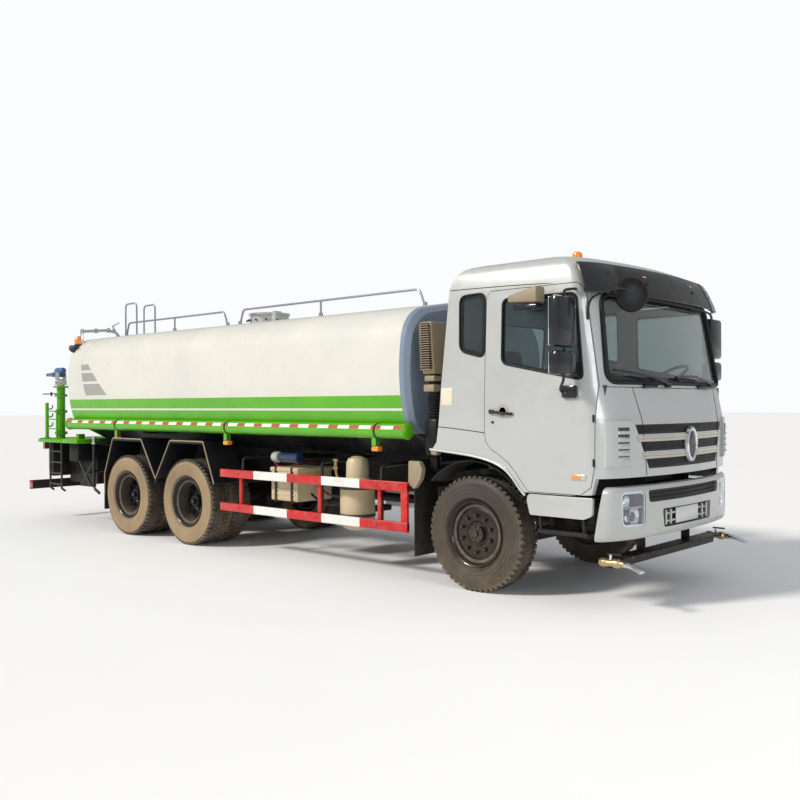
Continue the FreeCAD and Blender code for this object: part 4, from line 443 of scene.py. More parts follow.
# %% [markdown]
# ## Finishes
# Paint on a work truck is never one flat colour. It has a faint unevenness, dust that settles more
# near the road, and a gloss that changes from place to place. Every finish below is built from
# nodes on object coordinates, which are metres here, so a pattern keeps its real size on any piece.

# %% A small helper for node trees
materials = {}


class Finish:
    """One material, kept by its name, and short calls that add nodes to it."""

    def __init__(self, name):
        self.material = materials[name] = bpy.data.materials.new(name)
        self.material.use_nodes = True
        self.tree = self.material.node_tree
        self.shader = self.tree.nodes["Principled BSDF"]
        self.place = self.add("ShaderNodeTexCoord").outputs["Object"]

    def give(self, socket, value):
        if isinstance(value, bpy.types.NodeSocket):
            self.tree.links.new(value, socket)
        else:
            socket.default_value = value

    def add(self, kind, inputs=None, **settings):
        node = self.tree.nodes.new(kind)
        for key, value in settings.items():
            setattr(node, key, value)
        for key, value in (inputs or {}).items():
            self.give(node.inputs[key], value)
        return node

    def noise(self, scale, detail=3.0, rough=0.55):
        return self.add("ShaderNodeTexNoise", {"Vector": self.place, "Scale": scale, "Detail": detail,
                                               "Roughness": rough}).outputs["Fac"]

    def ramp(self, value, low, high, first=0.0, last=1.0):
        return self.add("ShaderNodeMapRange", {"Value": value, "From Min": low, "From Max": high,
                                               "To Min": first, "To Max": last}).outputs["Result"]

    def maths(self, how, a, b=0.0, c=0.0):
        return self.add("ShaderNodeMath", {0: a, 1: b, 2: c}, operation=how).outputs[0]

    def mix(self, share, a, b):
        return self.add("ShaderNodeMix", {0: share, 6: a, 7: b}, data_type="RGBA").outputs[2]

    def patchy(self, scale, a, b):
        """Two colours in soft patches."""
        return self.mix(self.ramp(self.noise(scale), 0.35, 0.65), a, b)

    def gloss(self, low, high, scale, detail=3.0):
        """A roughness that changes from place to place."""
        return self.ramp(self.noise(scale, detail), 0.3, 0.7, low, high)

    def axis(self, name):
        return self.add("ShaderNodeSeparateXYZ", {"Vector": self.place}).outputs[name]

    def along(self):
        """Metres forward of the front axle."""
        return self.maths("SUBTRACT", self.axis("X"), AXLE_X)

    def between(self, value, low, high):
        above, below = self.maths("GREATER_THAN", value, low), self.maths("LESS_THAN", value, high)
        return self.maths("MULTIPLY", above, below)

    def bump(self, height, strength, distance):
        node = self.add("ShaderNodeBump", {"Height": height, "Strength": strength, "Distance": distance})
        self.tree.links.new(node.outputs["Normal"], self.shader.inputs["Normal"])

    def feed(self, **sockets):
        for name, value in sockets.items():
            key = {"ior": "IOR"}.get(name, name.replace("_", " ").title())
            self.give(self.shader.inputs[key], value)


def rgba(*colour):
    return (*colour, 1.0)


# %% Painted and plain surfaces with dust
DUST = rgba(0.36, 0.28, 0.19)


def dusty(name, colour, rough, metal=0.0, coat=0.0, dust_top=1.3, dust=0.4, grain=60.0, grain_depth=0.0004,
          vary=0.12, dust_colour=DUST):
    """A finish with uneven colour, road dust that thins out upwards and a fine surface grain."""
    finish = Finish(name)
    shade = rgba(*[c * (1 - vary) for c in colour])
    uneven = finish.patchy(1.7, rgba(*colour), shade)
    height = finish.ramp(finish.axis("Z"), 0.0, dust_top, dust, 0.0)
    settled = finish.maths("MULTIPLY", height, finish.ramp(finish.noise(7.0, 6.0, 0.7), 0.3, 0.7, 0.2, 1.2))
    gloss = finish.gloss(rough - 0.05, rough + 0.07, 11.0, 4.0)
    finish.feed(base_color=finish.mix(settled, uneven, dust_colour), metallic=metal,
                roughness=finish.maths("ADD", gloss, finish.maths("MULTIPLY", settled, 0.35)),
                coat_weight=coat, coat_roughness=0.08)
    finish.bump(finish.noise(grain, 2.0), 0.25, grain_depth)


dusty("chassis_black", (0.008, 0.009, 0.011), 0.42, dust=0.12)
dusty("cast_grey", (0.05, 0.05, 0.052), 0.55, metal=0.4, dust=0.25, grain=160.0, grain_depth=0.001)
dusty("rail_steel", (0.3, 0.33, 0.37), 0.35, metal=0.7, dust=0.0)
dusty("body_green", (0.095, 0.38, 0.004), 0.35, coat=0.25, dust=0.05)
dusty("mudguard_black", (0.009, 0.011, 0.016), 0.38, dust=0.15)
dusty("edge_beige", (0.3, 0.235, 0.15), 0.5, dust=0.2)
dusty("rubber_black", (0.01, 0.01, 0.011), 0.5, dust=0.15)
dusty("equipment_cream", (0.62, 0.5, 0.31), 0.42, dust=0.3, coat=0.2)
dusty("tank_alloy", (0.55, 0.55, 0.55), 0.3, metal=0.9, dust=0.2)
dusty("plastic_black", (0.008, 0.008, 0.009), 0.4, dust=0.08, grain=300.0)
dusty("satin_black", (0.014, 0.015, 0.018), 0.24, coat=0.4, dust=0.05)
dusty("cab_silver", (0.47, 0.48, 0.47), 0.34, metal=0.25, coat=0.6, dust=0.14, vary=0.05)
dusty("seat_cloth", (0.03, 0.03, 0.033), 0.9, dust=0.0, grain=900.0, grain_depth=0.001)
dusty("dash_grey", (0.05, 0.05, 0.055), 0.6, dust=0.0, grain=400.0)
dusty("brass_fitting", (0.55, 0.42, 0.22), 0.3, metal=0.85, dust=0.1)
dusty("chrome", (0.75, 0.76, 0.78), 0.14, metal=1.0, dust=0.05)
dusty("cannon_blue", (0.02, 0.11, 0.3), 0.35, coat=0.3, dust=0.0)
dusty("rim_brown", (0.012, 0.008, 0.007), 0.3, metal=0.3, coat=0.3, dust=0.12)
dusty("rim_dark", (0.006, 0.007, 0.011), 0.3, coat=0.2, dust=0.06)
dusty("nut_bronze", (0.085, 0.068, 0.055), 0.28, metal=0.85, dust=0.1)
dusty("lamp_red", (0.5, 0.01, 0.01), 0.2, coat=1.0, dust=0.1)
dusty("lamp_amber", (0.85, 0.26, 0.01), 0.2, coat=1.0, dust=0.0)
dusty("lamp_brown", (0.16, 0.05, 0.02), 0.25, coat=0.8, dust=0.1)
dusty("hose_red", (0.55, 0.03, 0.02), 0.45, dust=0.15)
dusty("filter_blue", (0.01, 0.03, 0.1), 0.3, coat=0.3, dust=0.1)
dusty("strip_beige", (0.55, 0.5, 0.42), 0.22, metal=0.6, dust=0.05)
dusty("reflector_beige", (0.72, 0.66, 0.52), 0.35, coat=0.5, dust=0.05)
dusty("plate_blank", (0.68, 0.68, 0.68), 0.3, metal=0.2, dust=0.15)
dusty("tread_rubber", (0.012, 0.011, 0.011), 0.7, dust=0.45, dust_top=1.6, grain=140.0, grain_depth=0.001)
# The front tyres' rubber and dust are painted darker and more uneven than the rear ones: painted shade.
dusty("tyre_dark", (0.04, 0.032, 0.024), 0.5, dust=0.45, dust_top=1.1, grain=90.0, grain_depth=0.001,
      vary=0.5, dust_colour=rgba(0.2, 0.145, 0.085))
dusty("tyre_rubber", (0.31, 0.215, 0.115), 0.62, dust=0.5, dust_top=1.4, grain=90.0, grain_depth=0.001,
      vary=0.35, dust_colour=rgba(0.38, 0.29, 0.18))
print(len(materials), "dusty finishes")

# %% [markdown]
# ## The tank's paint
# The tank is off-white above and green below, with a thin white line in the green. Just under the
# side tube it is painted near black, which is painted shade under the tank.
# The borders are level, so one height decides the colour. The front head is painted blue-grey,
# which is painted shade. Near the back three slanted grey bands cross the white. They could be thin
# plates laid on the shell, but paint has no thickness, so the finish itself works out where each band
# starts and ends.

# %% White above, green below and slanted bands
BORDER_Z, PINSTRIPE_Z, PINSTRIPE_HALF, UNDER_SHADE_Z = 1.8, 1.66, 0.012, 1.42
BAND_HEIGHTS = ((2.21, 2.295), (2.05, 2.172), (1.855, 2.015))
BAND_REAR_X, BAND_REAR_LEAN, BAND_FRONT_X, BAND_FRONT_LEAN = -7.005, -0.3, -6.81, -1.15
OFF_WHITE = rgba(0.66, 0.64, 0.58)
GREEN, DEEP_GREEN = rgba(0.1, 0.4, 0.003), rgba(0.08, 0.35, 0.003)


def tank_paint():
    finish = Finish("tank_white")
    x, z = finish.along(), finish.axis("Z")
    white = finish.patchy(1.3, OFF_WHITE, rgba(0.6, 0.59, 0.55))
    green = finish.patchy(2.1, GREEN, DEEP_GREEN)
    drop = finish.maths("SUBTRACT", BAND_HEIGHTS[0][1], z)
    rear_edge = finish.maths("MULTIPLY_ADD", drop, -BAND_REAR_LEAN, BAND_REAR_X)
    front_edge = finish.maths("MULTIPLY_ADD", drop, -BAND_FRONT_LEAN, BAND_FRONT_X)
    first, second, third = [finish.between(z, *heights) for heights in BAND_HEIGHTS]
    bands = finish.maths("ADD", finish.maths("ADD", first, second), third)
    inside = finish.between(x, rear_edge, front_edge)
    upper = finish.mix(finish.maths("MULTIPLY", inside, bands), white, rgba(0.31, 0.31, 0.28))
    line = finish.between(z, PINSTRIPE_Z - PINSTRIPE_HALF, PINSTRIPE_Z + PINSTRIPE_HALF)
    painted = finish.mix(line, finish.mix(finish.maths("LESS_THAN", z, BORDER_Z), upper, green), OFF_WHITE)
    # The tank's front head is painted blue-grey: painted shade on the head.
    with_front_shade = finish.mix(finish.maths("GREATER_THAN", x, PAINTED_SHADE_FRONT_X), painted, rgba(0.2, 0.25, 0.33))
    # Below this height the tank is painted near black: painted shade under the side tube.
    painted_under_shade = finish.maths("LESS_THAN", z, UNDER_SHADE_Z)
    finish.feed(base_color=finish.mix(painted_under_shade, with_front_shade, rgba(0.008, 0.009, 0.012)),
                roughness=finish.gloss(0.26, 0.38, 9.0, 4.0), coat_weight=0.2, coat_roughness=0.1)
    finish.bump(finish.noise(1.1, 1.0), 0.2, 0.012)


# Where the painted shade on the tank's front head begins, counted from the front axle.
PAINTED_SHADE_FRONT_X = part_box("tank_shell")[1][0] - AXLE_X - 0.088
tank_paint()
print("the tank's front in painted shade starts", PAINTED_SHADE_FRONT_X, "forward of the front axle")

# %% [markdown]
# ## Red and white guards, striped tape
# The side guards change between red and white at set lengths, and a tape of white with red dashes
# runs along the side tube. Both are colour on a plain bar, so both read how far along the truck
# they are. The tape only shows on the outer upper flank of the tube, which its height decides.

# %% Colour that changes along the truck
GUARD_WHITES = ((-3.05, -2.48), (-1.93, -1.37))
TAPE_PITCH, TAPE_DASH, TAPE_LOW, TAPE_TOP = 0.305, 0.14, 1.468, 1.502


def guard_paint():
    finish = Finish("guard_red")
    x = finish.along()
    white = finish.maths("ADD", *[finish.between(x, *ends) for ends in GUARD_WHITES])
    red = finish.patchy(3.0, rgba(0.52, 0.004, 0.004), rgba(0.42, 0.003, 0.003))
    soiled = finish.ramp(finish.noise(9.0, 5.0, 0.7), 0.45, 0.75, 0.0, 0.3)
    coat = finish.mix(white, red, rgba(0.72, 0.72, 0.7))
    finish.feed(base_color=finish.mix(soiled, coat, DUST), coat_weight=0.1,
                roughness=finish.gloss(0.28, 0.42, 8.0))
    finish.bump(finish.noise(60.0), 0.2, 0.0004)


def tube_paint():
    """Green with a striped tape between two heights."""
    finish = Finish("tube_green")
    dash = finish.maths("LESS_THAN", finish.maths("FLOORED_MODULO", finish.along(), TAPE_PITCH), TAPE_DASH)
    tape = finish.mix(dash, rgba(0.78, 0.78, 0.76), rgba(0.46, 0.07, 0.04))
    level = finish.between(finish.axis("Z"), TAPE_LOW, TAPE_TOP)
    green = finish.patchy(2.1, GREEN, DEEP_GREEN)
    finish.feed(base_color=finish.mix(level, green, tape), coat_weight=0.15,
                roughness=finish.gloss(0.24, 0.34, 9.0))
    finish.bump(finish.noise(40.0), 0.15, 0.0004)


guard_paint()
tube_paint()
print("the tape runs from", TAPE_LOW, "to", TAPE_TOP, "above the road")

# %% [markdown]
# ## Glass and mesh
# The cab's windows are lightly tinted and show the seats behind them. The sun visor is a dark
# smoked plastic that is nearly black from outside. The grille's openings hold a fine mesh, which is
# a bump with dark gaps: real wires that thin would be smaller than a pixel and would only flicker.

# %% Clear, tinted and smoked
def glass(name, tint, rough, clear):
    finish = Finish(name)
    finish.feed(base_color=rgba(*tint), roughness=finish.gloss(rough, rough + 0.02, 5.0),
                transmission_weight=clear, ior=1.45)


def mesh_plastic():
    finish = Finish("grille_mesh")
    wires = []
    for tilt in (0.6, -0.6):
        turn = finish.add("ShaderNodeMapping", {"Vector": finish.place, "Rotation": (tilt, 0, 0)})
        wave = finish.add("ShaderNodeTexWave", {"Vector": turn.outputs[0], "Scale": 26.0},
                          wave_type="BANDS", bands_direction="Y")
        wires.append(wave.outputs["Fac"])
    crossed = finish.maths("MAXIMUM", *wires)
    gap, wire = rgba(0.004, 0.004, 0.004), rgba(0.05, 0.048, 0.045)
    finish.feed(base_color=finish.mix(finish.ramp(crossed, 0.55, 0.95), gap, wire),
                roughness=finish.ramp(crossed, 0.0, 1.0, 0.8, 0.35))
    finish.bump(crossed, 0.8, 0.004)


glass("window_glass", (0.78, 0.84, 0.8), 0.01, 0.97)
glass("door_glass", (0.34, 0.43, 0.45), 0.01, 0.96)
glass("lamp_glass", (0.92, 0.96, 1.0), 0.02, 0.95)
dusty("visor_smoked", (0.006, 0.005, 0.005), 0.35, coat=0.15, dust=0.0)
mesh_plastic()
dusty("mirror_face", (0.8, 0.82, 0.85), 0.03, metal=1.0, dust=0.0, grain_depth=0.00002)
DEEP_SHINE = 0.22
for name in ("visor_smoked", "satin_black", "plastic_black", "chassis_black", "rubber_black",
             "mudguard_black", "rim_dark", "rim_brown", "body_green"):
    shader = next(node for node in materials[name].node_tree.nodes if node.type == "BSDF_PRINCIPLED")
    shader.inputs["Specular IOR Level"].default_value = DEEP_SHINE

record_slot = {entry["node"]: entry["material_slot"] for entry in frame["record"]["subparts"]}


def dress(node, finish):
    """Gives a solid of the model one finish."""
    data = nodes[node].data
    data.materials.clear()
    data.materials.append(materials[finish])


for name in nodes:
    dress(name, record_slot[name])
for name, finish in (("side_tubes", "tube_green"), ("door_glass_left", "door_glass"),
                     ("door_glass_right", "door_glass"), ("dashboard", "dash_grey")):
    dress(name, finish)
floor_finish = Finish("pale floor")
floor_finish.feed(base_color=floor_finish.mix(floor_finish.noise(0.8), rgba(0.9, 0.9, 0.91),
                                              rgba(0.87, 0.87, 0.88)), roughness=0.9)
floor.data.materials.append(floor_finish.material)
print("every solid has a finish")

# %% [markdown]
# ## Tyres
# A truck tyre is a turned form: smooth flanks with faint rings, a shoulder, and a tread with deep
# blocks at its edges. The flank and the tread differ in colour, because dust stays on the flank.
# The blocks are one wedge copied round the tyre. Displacement could press them in, but it would
# need a very fine mesh on ten tyres.

# %% The tyre's flank, its tread and its blocks
TYRE_R, SHOULDER_R, BEAD_R = AXLE_Z, 0.495, 0.294
BLOCKS = 54
FLANK_RINGS = (0.335, 0.372, 0.408, 0.444)


def flank(half, side):
    """From the bead to the shoulder, with thin raised rings: (radius, place across)."""
    line = [(BEAD_R, half * 0.66), (0.306, half * 0.8), (0.33, half * 0.95)]
    for radius in FLANK_RINGS:
        swell = half * (0.965 + 0.035 * math.sin(math.pi * (radius - 0.31) / 0.17))
        line += [(radius - 0.004, swell - 0.002), (radius, swell + 0.0015), (radius + 0.004, swell - 0.002)]
    line += [(0.47, half * 0.965), (SHOULDER_R, half * 0.9)]
    return [(radius, side * place) for radius, place in line]


def tyre(piece, x, y, half):
    """One tyre round a level axle, half as wide as it is told on each side of y."""
    centre = (x, y, AXLE_Z)
    crown = TYRE_R - 0.014
    for side in (1, -1):
        piece.add(lathe(flank(half, side), centre, "y", 72))
    tread = [(SHOULDER_R, half * 0.9), (0.508, half * 0.86), (crown - 0.004, half * 0.8)]
    for groove in (0.42, 0.14, -0.14, -0.42):
        for shift, depth in ((0.045, 0.0), (0.03, 0.014), (-0.03, 0.014), (-0.045, 0.0)):
            tread.append((crown - depth, half * (groove + shift)))
    tread += [(crown - 0.004, -half * 0.8), (0.508, -half * 0.86), (SHOULDER_R, -half * 0.9)]
    piece.add(lathe(tread, centre, "y", 72), "tread_rubber")
    piece.add(lathe([(BEAD_R, half * 0.66), (0.24, half * 0.6), (0.24, -half * 0.6), (BEAD_R, -half * 0.66)],
                    centre, "y", 48), "tread_rubber")
    length = math.pi * TYRE_R / BLOCKS
    for side in (1, -1):
        outline = [(0.5, TYRE_R - 0.002), (0.8, TYRE_R), (0.87, TYRE_R - 0.016), (0.925, 0.492),
                   (0.88, 0.484), (0.6, 0.492)]
        wedge = slab([(side * half * u + y, v + AXLE_Z) for u, v in outline], "yz", x - length * 0.62,
                     x + length * 0.5)
        for vert in wedge.verts:
            if abs(vert.co.y - y) < half * 0.6:
                vert.co.x += length * 0.35
        piece.repeat(wedge, BLOCKS, "tread_rubber", turn=(0, 2 * math.pi / BLOCKS, 0), pivot=centre)


# %% [markdown]
# ## Wheels
# The front wheel is a steel dish close to the outer edge, with ten round nuts and a small hub cap.
# A rear wheel is the same dish turned round, so it is deep and dark from outside. One profile
# drawn from the flange inwards and turned about the axle gives each of them.

# %% Rims, nuts and hubs
NUTS, NUT_CIRCLE, NUT_LONG = 10, 0.1675, 0.034
RIM_WIDTH, FLANGE_INSET = 0.225, 0.018
CAP_BOLTS, CAP_CIRCLE = 8, 0.058


def wheel_nut(x, y, z, out):
    profile = [(0, 0), (0.019, 0), (0.0185, NUT_LONG * 0.7), (0.013, NUT_LONG), (0, NUT_LONG)]
    return lathe([(radius, out * place) for radius, place in profile], (x, y, z), "y", 8)


def rim(piece, x, flange_y, out, disc_depth, dish, reach, nut_paint):
    """A wheel whose outer flange is at flange_y; out is the side it faces."""
    centre = (x, flange_y, AXLE_Z)

    def inwards(profile):
        return [(radius, -out * depth) for radius, depth in profile]

    barrel = [(0.262, 0.05), (0.272, 0.024), (0.283, 0.01), (0.292, 0.0), (0.303, -0.004), (0.306, 0.004),
              (0.296, 0.014), (0.284, 0.03), (0.274, RIM_WIDTH * 0.5), (0.3, RIM_WIDTH),
              (0.29, RIM_WIDTH), (0.262, RIM_WIDTH * 0.55)]
    piece.add(lathe(inwards(barrel), centre, "y", 64, closed=True))
    face = [(0.27, disc_depth + dish), (0.245, disc_depth + dish * 0.35), (0.205, disc_depth),
            (0.12, disc_depth), (0.105, disc_depth + 0.012), (0.0, disc_depth + 0.012)]
    back = [(radius, depth + 0.014) for radius, depth in reversed(face)]
    piece.add(lathe(inwards(face + back), centre, "y", 64))
    nut_y = flange_y - out * disc_depth
    nut = wheel_nut(x, nut_y, AXLE_Z + NUT_CIRCLE, out)
    piece.repeat(nut, NUTS, nut_paint, turn=(0, 2 * math.pi / NUTS, 0), pivot=centre)
    hub = [(0.0, disc_depth - reach), (0.03, disc_depth - reach), (0.036, disc_depth - reach * 0.9),
           (0.038, disc_depth - reach * 0.62), (0.072, disc_depth - reach * 0.6),
           (0.08, disc_depth - reach * 0.45), (0.084, disc_depth + 0.014), (0.0, disc_depth + 0.014)]
    piece.add(lathe(inwards(hub), centre, "y", 40), nut_paint)
    bolt_y, bolt_z = nut_y + out * reach * 0.6, AXLE_Z + CAP_CIRCLE
    bolt = rod((x, bolt_y, bolt_z), (x, bolt_y + out * 0.012, bolt_z), 0.008, steps=6)
    piece.repeat(bolt, CAP_BOLTS, nut_paint, turn=(0, 2 * math.pi / CAP_BOLTS, 0), pivot=centre)


# %% The front wheels
FRONT_Y = (abs(tyre_low[1]) + abs(tyre_high[1])) / 2
FRONT_HALF = abs(tyre_high[1] - tyre_low[1]) / 2
for side, out in (("right", -1), ("left", 1)):
    # The front tyres take the darker rubber, which is painted shade.
    rubber = Piece(f"front_tyre_{side}_dressed", f"front_wheel_{side}", "tyre_dark")
    tyre(rubber, 0, out * FRONT_Y, FRONT_HALF)
    rubber.finish(f"front_tyre_{side}")
    wheel = Piece(f"front_wheel_{side}_dressed", f"front_wheel_{side}", "rim_brown")
    rim(wheel, 0, out * (FRONT_Y + FRONT_HALF - FLANGE_INSET), out, 0.04, 0.03, 0.05, "nut_bronze")
    wheel.finish(f"front_rim_{side}")

# %% The twin rear wheels
DEEP_DISC = 0.175
for place in ("middle", "rear"):
    for side, out in (("right", -1), ("left", 1)):
        low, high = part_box(f"{place}_tyres_{side}")
        x = (low[0] + high[0]) / 2 - AXLE_X
        outer_y, inner_y = max(abs(low[1]), abs(high[1])), min(abs(low[1]), abs(high[1]))
        rubber = Piece(f"{place}_tyres_{side}_dressed", f"{place}_wheels_{side}", "tyre_rubber")
        for middle in (outer_y - FRONT_HALF, inner_y + FRONT_HALF):
            tyre(rubber, x, out * middle, FRONT_HALF)
        rubber.finish(f"{place}_tyres_{side}")
        wheels = Piece(f"{place}_wheels_{side}_dressed", f"{place}_wheels_{side}", "rim_dark")
        rim(wheels, x, out * (outer_y - FLANGE_INSET), out, DEEP_DISC, 0.012, 0.1, "rim_dark")
        rim(wheels, x, out * (inner_y + FLANGE_INSET), -out, DEEP_DISC, 0.012, 0.02, "rim_dark")
        wheels.finish(f"{place}_rims_{side}")

# %% [markdown]
# ## The cab's form
# The cab is a stack of level outlines: straight sides, long rounded corners and a slightly bowed
# front. The nose is upright, the windscreen leans back, and the roof rolls over. Joining the
# outlines gives one closed form, and the same form drawn a little smaller gives its inside. The
# door, the nose and the glass are all cut from these two, so their edges always meet.

# %% Level outlines joined from the floor to the roof
HALF = 1.24
CAB_WALL = 0.045
ARC = 0.5523
LOWER = (1.212, 1.462, 0.82, 1.54)
CAB_ROWS = ((0.955, -0.41, HALF, *LOWER), (1.29, -0.41, HALF, *LOWER), (1.36, -0.355, HALF, *LOWER),
            (1.53, -0.33, HALF, *LOWER), (1.6, -0.322, HALF, 1.205, 1.452, 0.82, 1.528),
            (1.85, -0.3, HALF, 1.175, 1.4, 0.82, 1.48),
            (2.7, -0.225, HALF - 0.03, 1.065, 1.255, 0.8, 1.31))
ROOF_RISE, ROOF_SETBACK, ROOF_LEAN, ROOF_BACK = 0.268, 0.27, 0.16, 0.285
ROOF_SHARES = ((0.2, 0.035, 0.02, 0.025), (0.37, 0.09, 0.05, 0.07), (0.54, 0.155, 0.1, 0.13),
               (0.67, 0.24, 0.16, 0.21), (0.84, 0.41, 0.34, 0.44), (0.93, 0.63, 0.56, 0.65),
               (1.0, 1.0, 1.0, 1.0))


def cab_rows():
    """Each outline's height, rear, half width, side end, corner place and front."""
    rows = [list(row) for row in CAB_ROWS]
    z, rear, half, side_x, corner_x, corner_y, front = rows[-1]
    for height, setback, lean, back in ROOF_SHARES:
        gone, away = ROOF_SETBACK * setback, ROOF_LEAN * lean
        rows.append([z + ROOF_RISE * height, rear + ROOF_BACK * back, half - away, side_x - gone,
                     corner_x - gone, corner_y - away, front - gone])
    return rows


def corner_poles(half, side_x, corner_x, corner_y, front):
    rise = front - corner_x
    radius = (corner_y ** 2 + rise ** 2) / (rise * 2)
    reach = (half - corner_y) * ARC
    return ((side_x, half), (side_x + (corner_x - side_x) * ARC, half),
            (corner_x - corner_y / radius * reach, corner_y + (radius - rise) / radius * reach),
            (corner_x, corner_y), radius)


def on_curve(poles, share):
    rest = 1 - share
    weights = (rest ** 3, 3 * rest ** 2 * share, 3 * rest * share ** 2, share ** 3)
    return [sum(weight * pole[i] for weight, pole in zip(weights, poles)) for i in (0, 1)]


def outline(rear, half, side_x, corner_x, corner_y, front, steps=8):
    """One level outline, from the rear left corner round the front to the rear right corner."""
    *poles, radius = corner_poles(half, side_x, corner_x, corner_y, front)
    left = [(rear, half)] + [tuple(on_curve(poles, step / steps)) for step in range(steps + 1)]
    nose = []
    for step in range(1, steps):
        y = corner_y * (1 - 2 * step / steps)
        nose.append((front - radius + math.sqrt(radius ** 2 - y ** 2), y))
    return left + nose + [(x, -y) for x, y in reversed(left)]


def stack(rows):
    """A closed form through level outlines with their heights."""
    part = bmesh.new()
    rings = [[part.verts.new((x, y, z)) for x, y in outline(*rest)] for z, *rest in rows]
    for first, second in zip(rings, rings[1:]):
        band(part, first, second)
    part.faces.new(list(reversed(rings[0])))
    part.faces.new(rings[-1])
    return closed(part)


def cab_form(inset, grow=0.0):
    rows = []
    for z, rear, half, side_x, corner_x, corner_y, front in cab_rows():
        rows.append((z, rear + inset, half - inset, side_x, corner_x - inset, corner_y, front - inset))
    rows[0] = (rows[0][0] - grow, *rows[0][1:])
    rows[-1] = (rows[-1][0] - inset, *rows[-1][1:])
    return stack(rows)


def row_at(z):
    """The outline's sizes at any height."""
    rows = cab_rows()
    for low, high in zip(rows, rows[1:]):
        if z <= high[0]:
            share = max(0.0, (z - low[0]) / (high[0] - low[0]))
            return [a + (b - a) * share for a, b in zip(low[1:], high[1:])]
    return rows[-1][1:]


def meet(poles, before):
    """The place on a corner's curve where before stops being true."""
    low, high = 0.0, 1.0
    for _ in range(20):
        share = (low + high) / 2
        low, high = (share, high) if before(on_curve(poles, share)) else (low, share)
    return on_curve(poles, share)


def ahead(row, y):
    """How far forward an outline is at a place across."""
    rear, half, side_x, corner_x, corner_y, front = row
    *poles, radius = corner_poles(half, side_x, corner_x, corner_y, front)
    if abs(y) <= corner_y:
        return front - radius + math.sqrt(radius ** 2 - y ** 2)
    return meet(poles, lambda spot: spot[1] > abs(y))[0]


def front_at(y, z):
    """How far forward the cab's skin is."""
    return ahead(row_at(z), y)


def side_at(x, z):
    """How far out the cab's skin is."""
    rear, half, side_x, corner_x, corner_y, front = row_at(z)
    if x <= side_x:
        return half
    *poles, radius = corner_poles(half, side_x, corner_x, corner_y, front)
    return meet(poles, lambda spot: spot[0] < x)[1]


print("the cab has", len(cab_rows()), "outlines")

# %% [markdown]
# ## Openings in the cab
# The door, the windows, the wheel arch and the slots in the grille are outlines seen from the side
# or from the front. Each is pushed through the form as a plate and cut out of it, as a sheet metal
# worker would cut them. The door itself is what lies inside its own outline.

# %% The outlines
ARCH = ((-0.43, 1.29), (-0.19, 1.273), (0.15, 1.24), (0.37, 1.178), (0.49, 1.09), (0.58, 0.972), (0.63, 0.93))
DOOR_LOW = ((0.2, 1.46), (0.216, 1.375), (0.27, 1.314), (0.367, 1.262), (0.452, 1.205), (0.536, 1.12),
            (0.61, 1.02), (0.665, 0.965))
DOOR_FRONT = ((1.17, 0.965), (1.26, 1.03), (1.285, 1.2), (1.292, 1.86), (1.165, 2.66), (1.12, 2.705))
DOOR = ((0.25, 2.705), (0.212, 2.66), *DOOR_LOW, *DOOR_FRONT)
PANE = rounded(((0.385, 2.625), (0.385, 2.065), (1.195, 1.905), (1.115, 2.625)), 0.06)
QUARTER = rounded(((-0.095, 2.69), (-0.085, 2.19), (0.195, 2.12), (0.195, 2.7)), 0.075)
SCREEN = rounded(((-1.085, 1.885), (1.085, 1.885), (1.015, 2.625), (-1.015, 2.625)), 0.11)
BACK_GLASS = rounded(((-0.42, 2.05), (0.42, 2.05), (0.42, 2.5), (-0.42, 2.5)), 0.06)
NOSE_Z, GAP = 1.1, 0.006
SIDE_CUT = (0.8, 1.6)


def grown(shape, by):
    """An outline moved outwards by the same distance all round, for near straight shapes."""
    middle = sum((Vector(spot) for spot in shape), Vector((0, 0))) / len(shape)
    wider = []
    for index, spot in enumerate(shape):
        before, after = Vector(shape[index - 1]), Vector(shape[(index + 1) % len(shape)])
        edge = (after - before).normalized()
        out = Vector((edge.y, -edge.x))
        wider.append(tuple(Vector(spot) + out * by))
    area = sum(a[0] * b[1] - b[0] * a[1] for a, b in zip(shape, list(shape[1:]) + [shape[0]]))
    if area < 0:
        return [tuple(2 * Vector(spot) - Vector(new)) for spot, new in zip(shape, wider)]
    return wider


def both_sides(shape):
    """The outline as plates through both sides of the cab."""
    part = bmesh.new()
    for side in (1, -1):
        mesh = as_mesh(slab(shape, "xz", *span(side, *SIDE_CUT)))
        part.from_mesh(mesh)
        bpy.data.meshes.remove(mesh)
    return closed(part)


# %% The shell with its openings
UNDER = [(-0.6, 0.5), (2.0, 0.5), (2.0, NOSE_Z), (1.295, NOSE_Z), (1.27, 0.968), (0.66, 0.93),
         *reversed(ARCH[:-1]), (-0.6, 1.29)]
shell = carve(cab_form(0.0), cab_form(CAB_WALL, 0.1))
for tool in (closed(slab(UNDER, "xz", -1.6, 1.6)), both_sides(grown(DOOR, GAP)), both_sides(QUARTER),
             closed(slab(SCREEN, "yz", 0.6, 2.0)), closed(slab(BACK_GLASS, "yz", -0.6, 0.1))):
    shell = carve(shell, tool)
print("the shell has", len(shell.polygons), "faces")

# %% [markdown]
# ## The grille
# Three openings one above the other hold a dark mesh, and a pair of bright strips runs between
# them. They narrow downwards. Each opening is a shallow pocket cut in the nose, so its edge has a
# real depth, and the mesh is the bottom of the pocket.

# %% Pockets, strips and the bare oval
GRILLE_LOW, GRILLE_TOP, STRIP_BAND = 1.165, 1.535, 0.062
GRILLE_LOW_HALF, GRILLE_TOP_HALF = 0.67, 0.85
slot_pitch = (GRILLE_TOP - GRILLE_LOW + STRIP_BAND) / 3


def grille_half(z):
    rise = (z - GRILLE_LOW) / (GRILLE_TOP - GRILLE_LOW)
    return GRILLE_LOW_HALF + (GRILLE_TOP_HALF - GRILLE_LOW_HALF) * rise


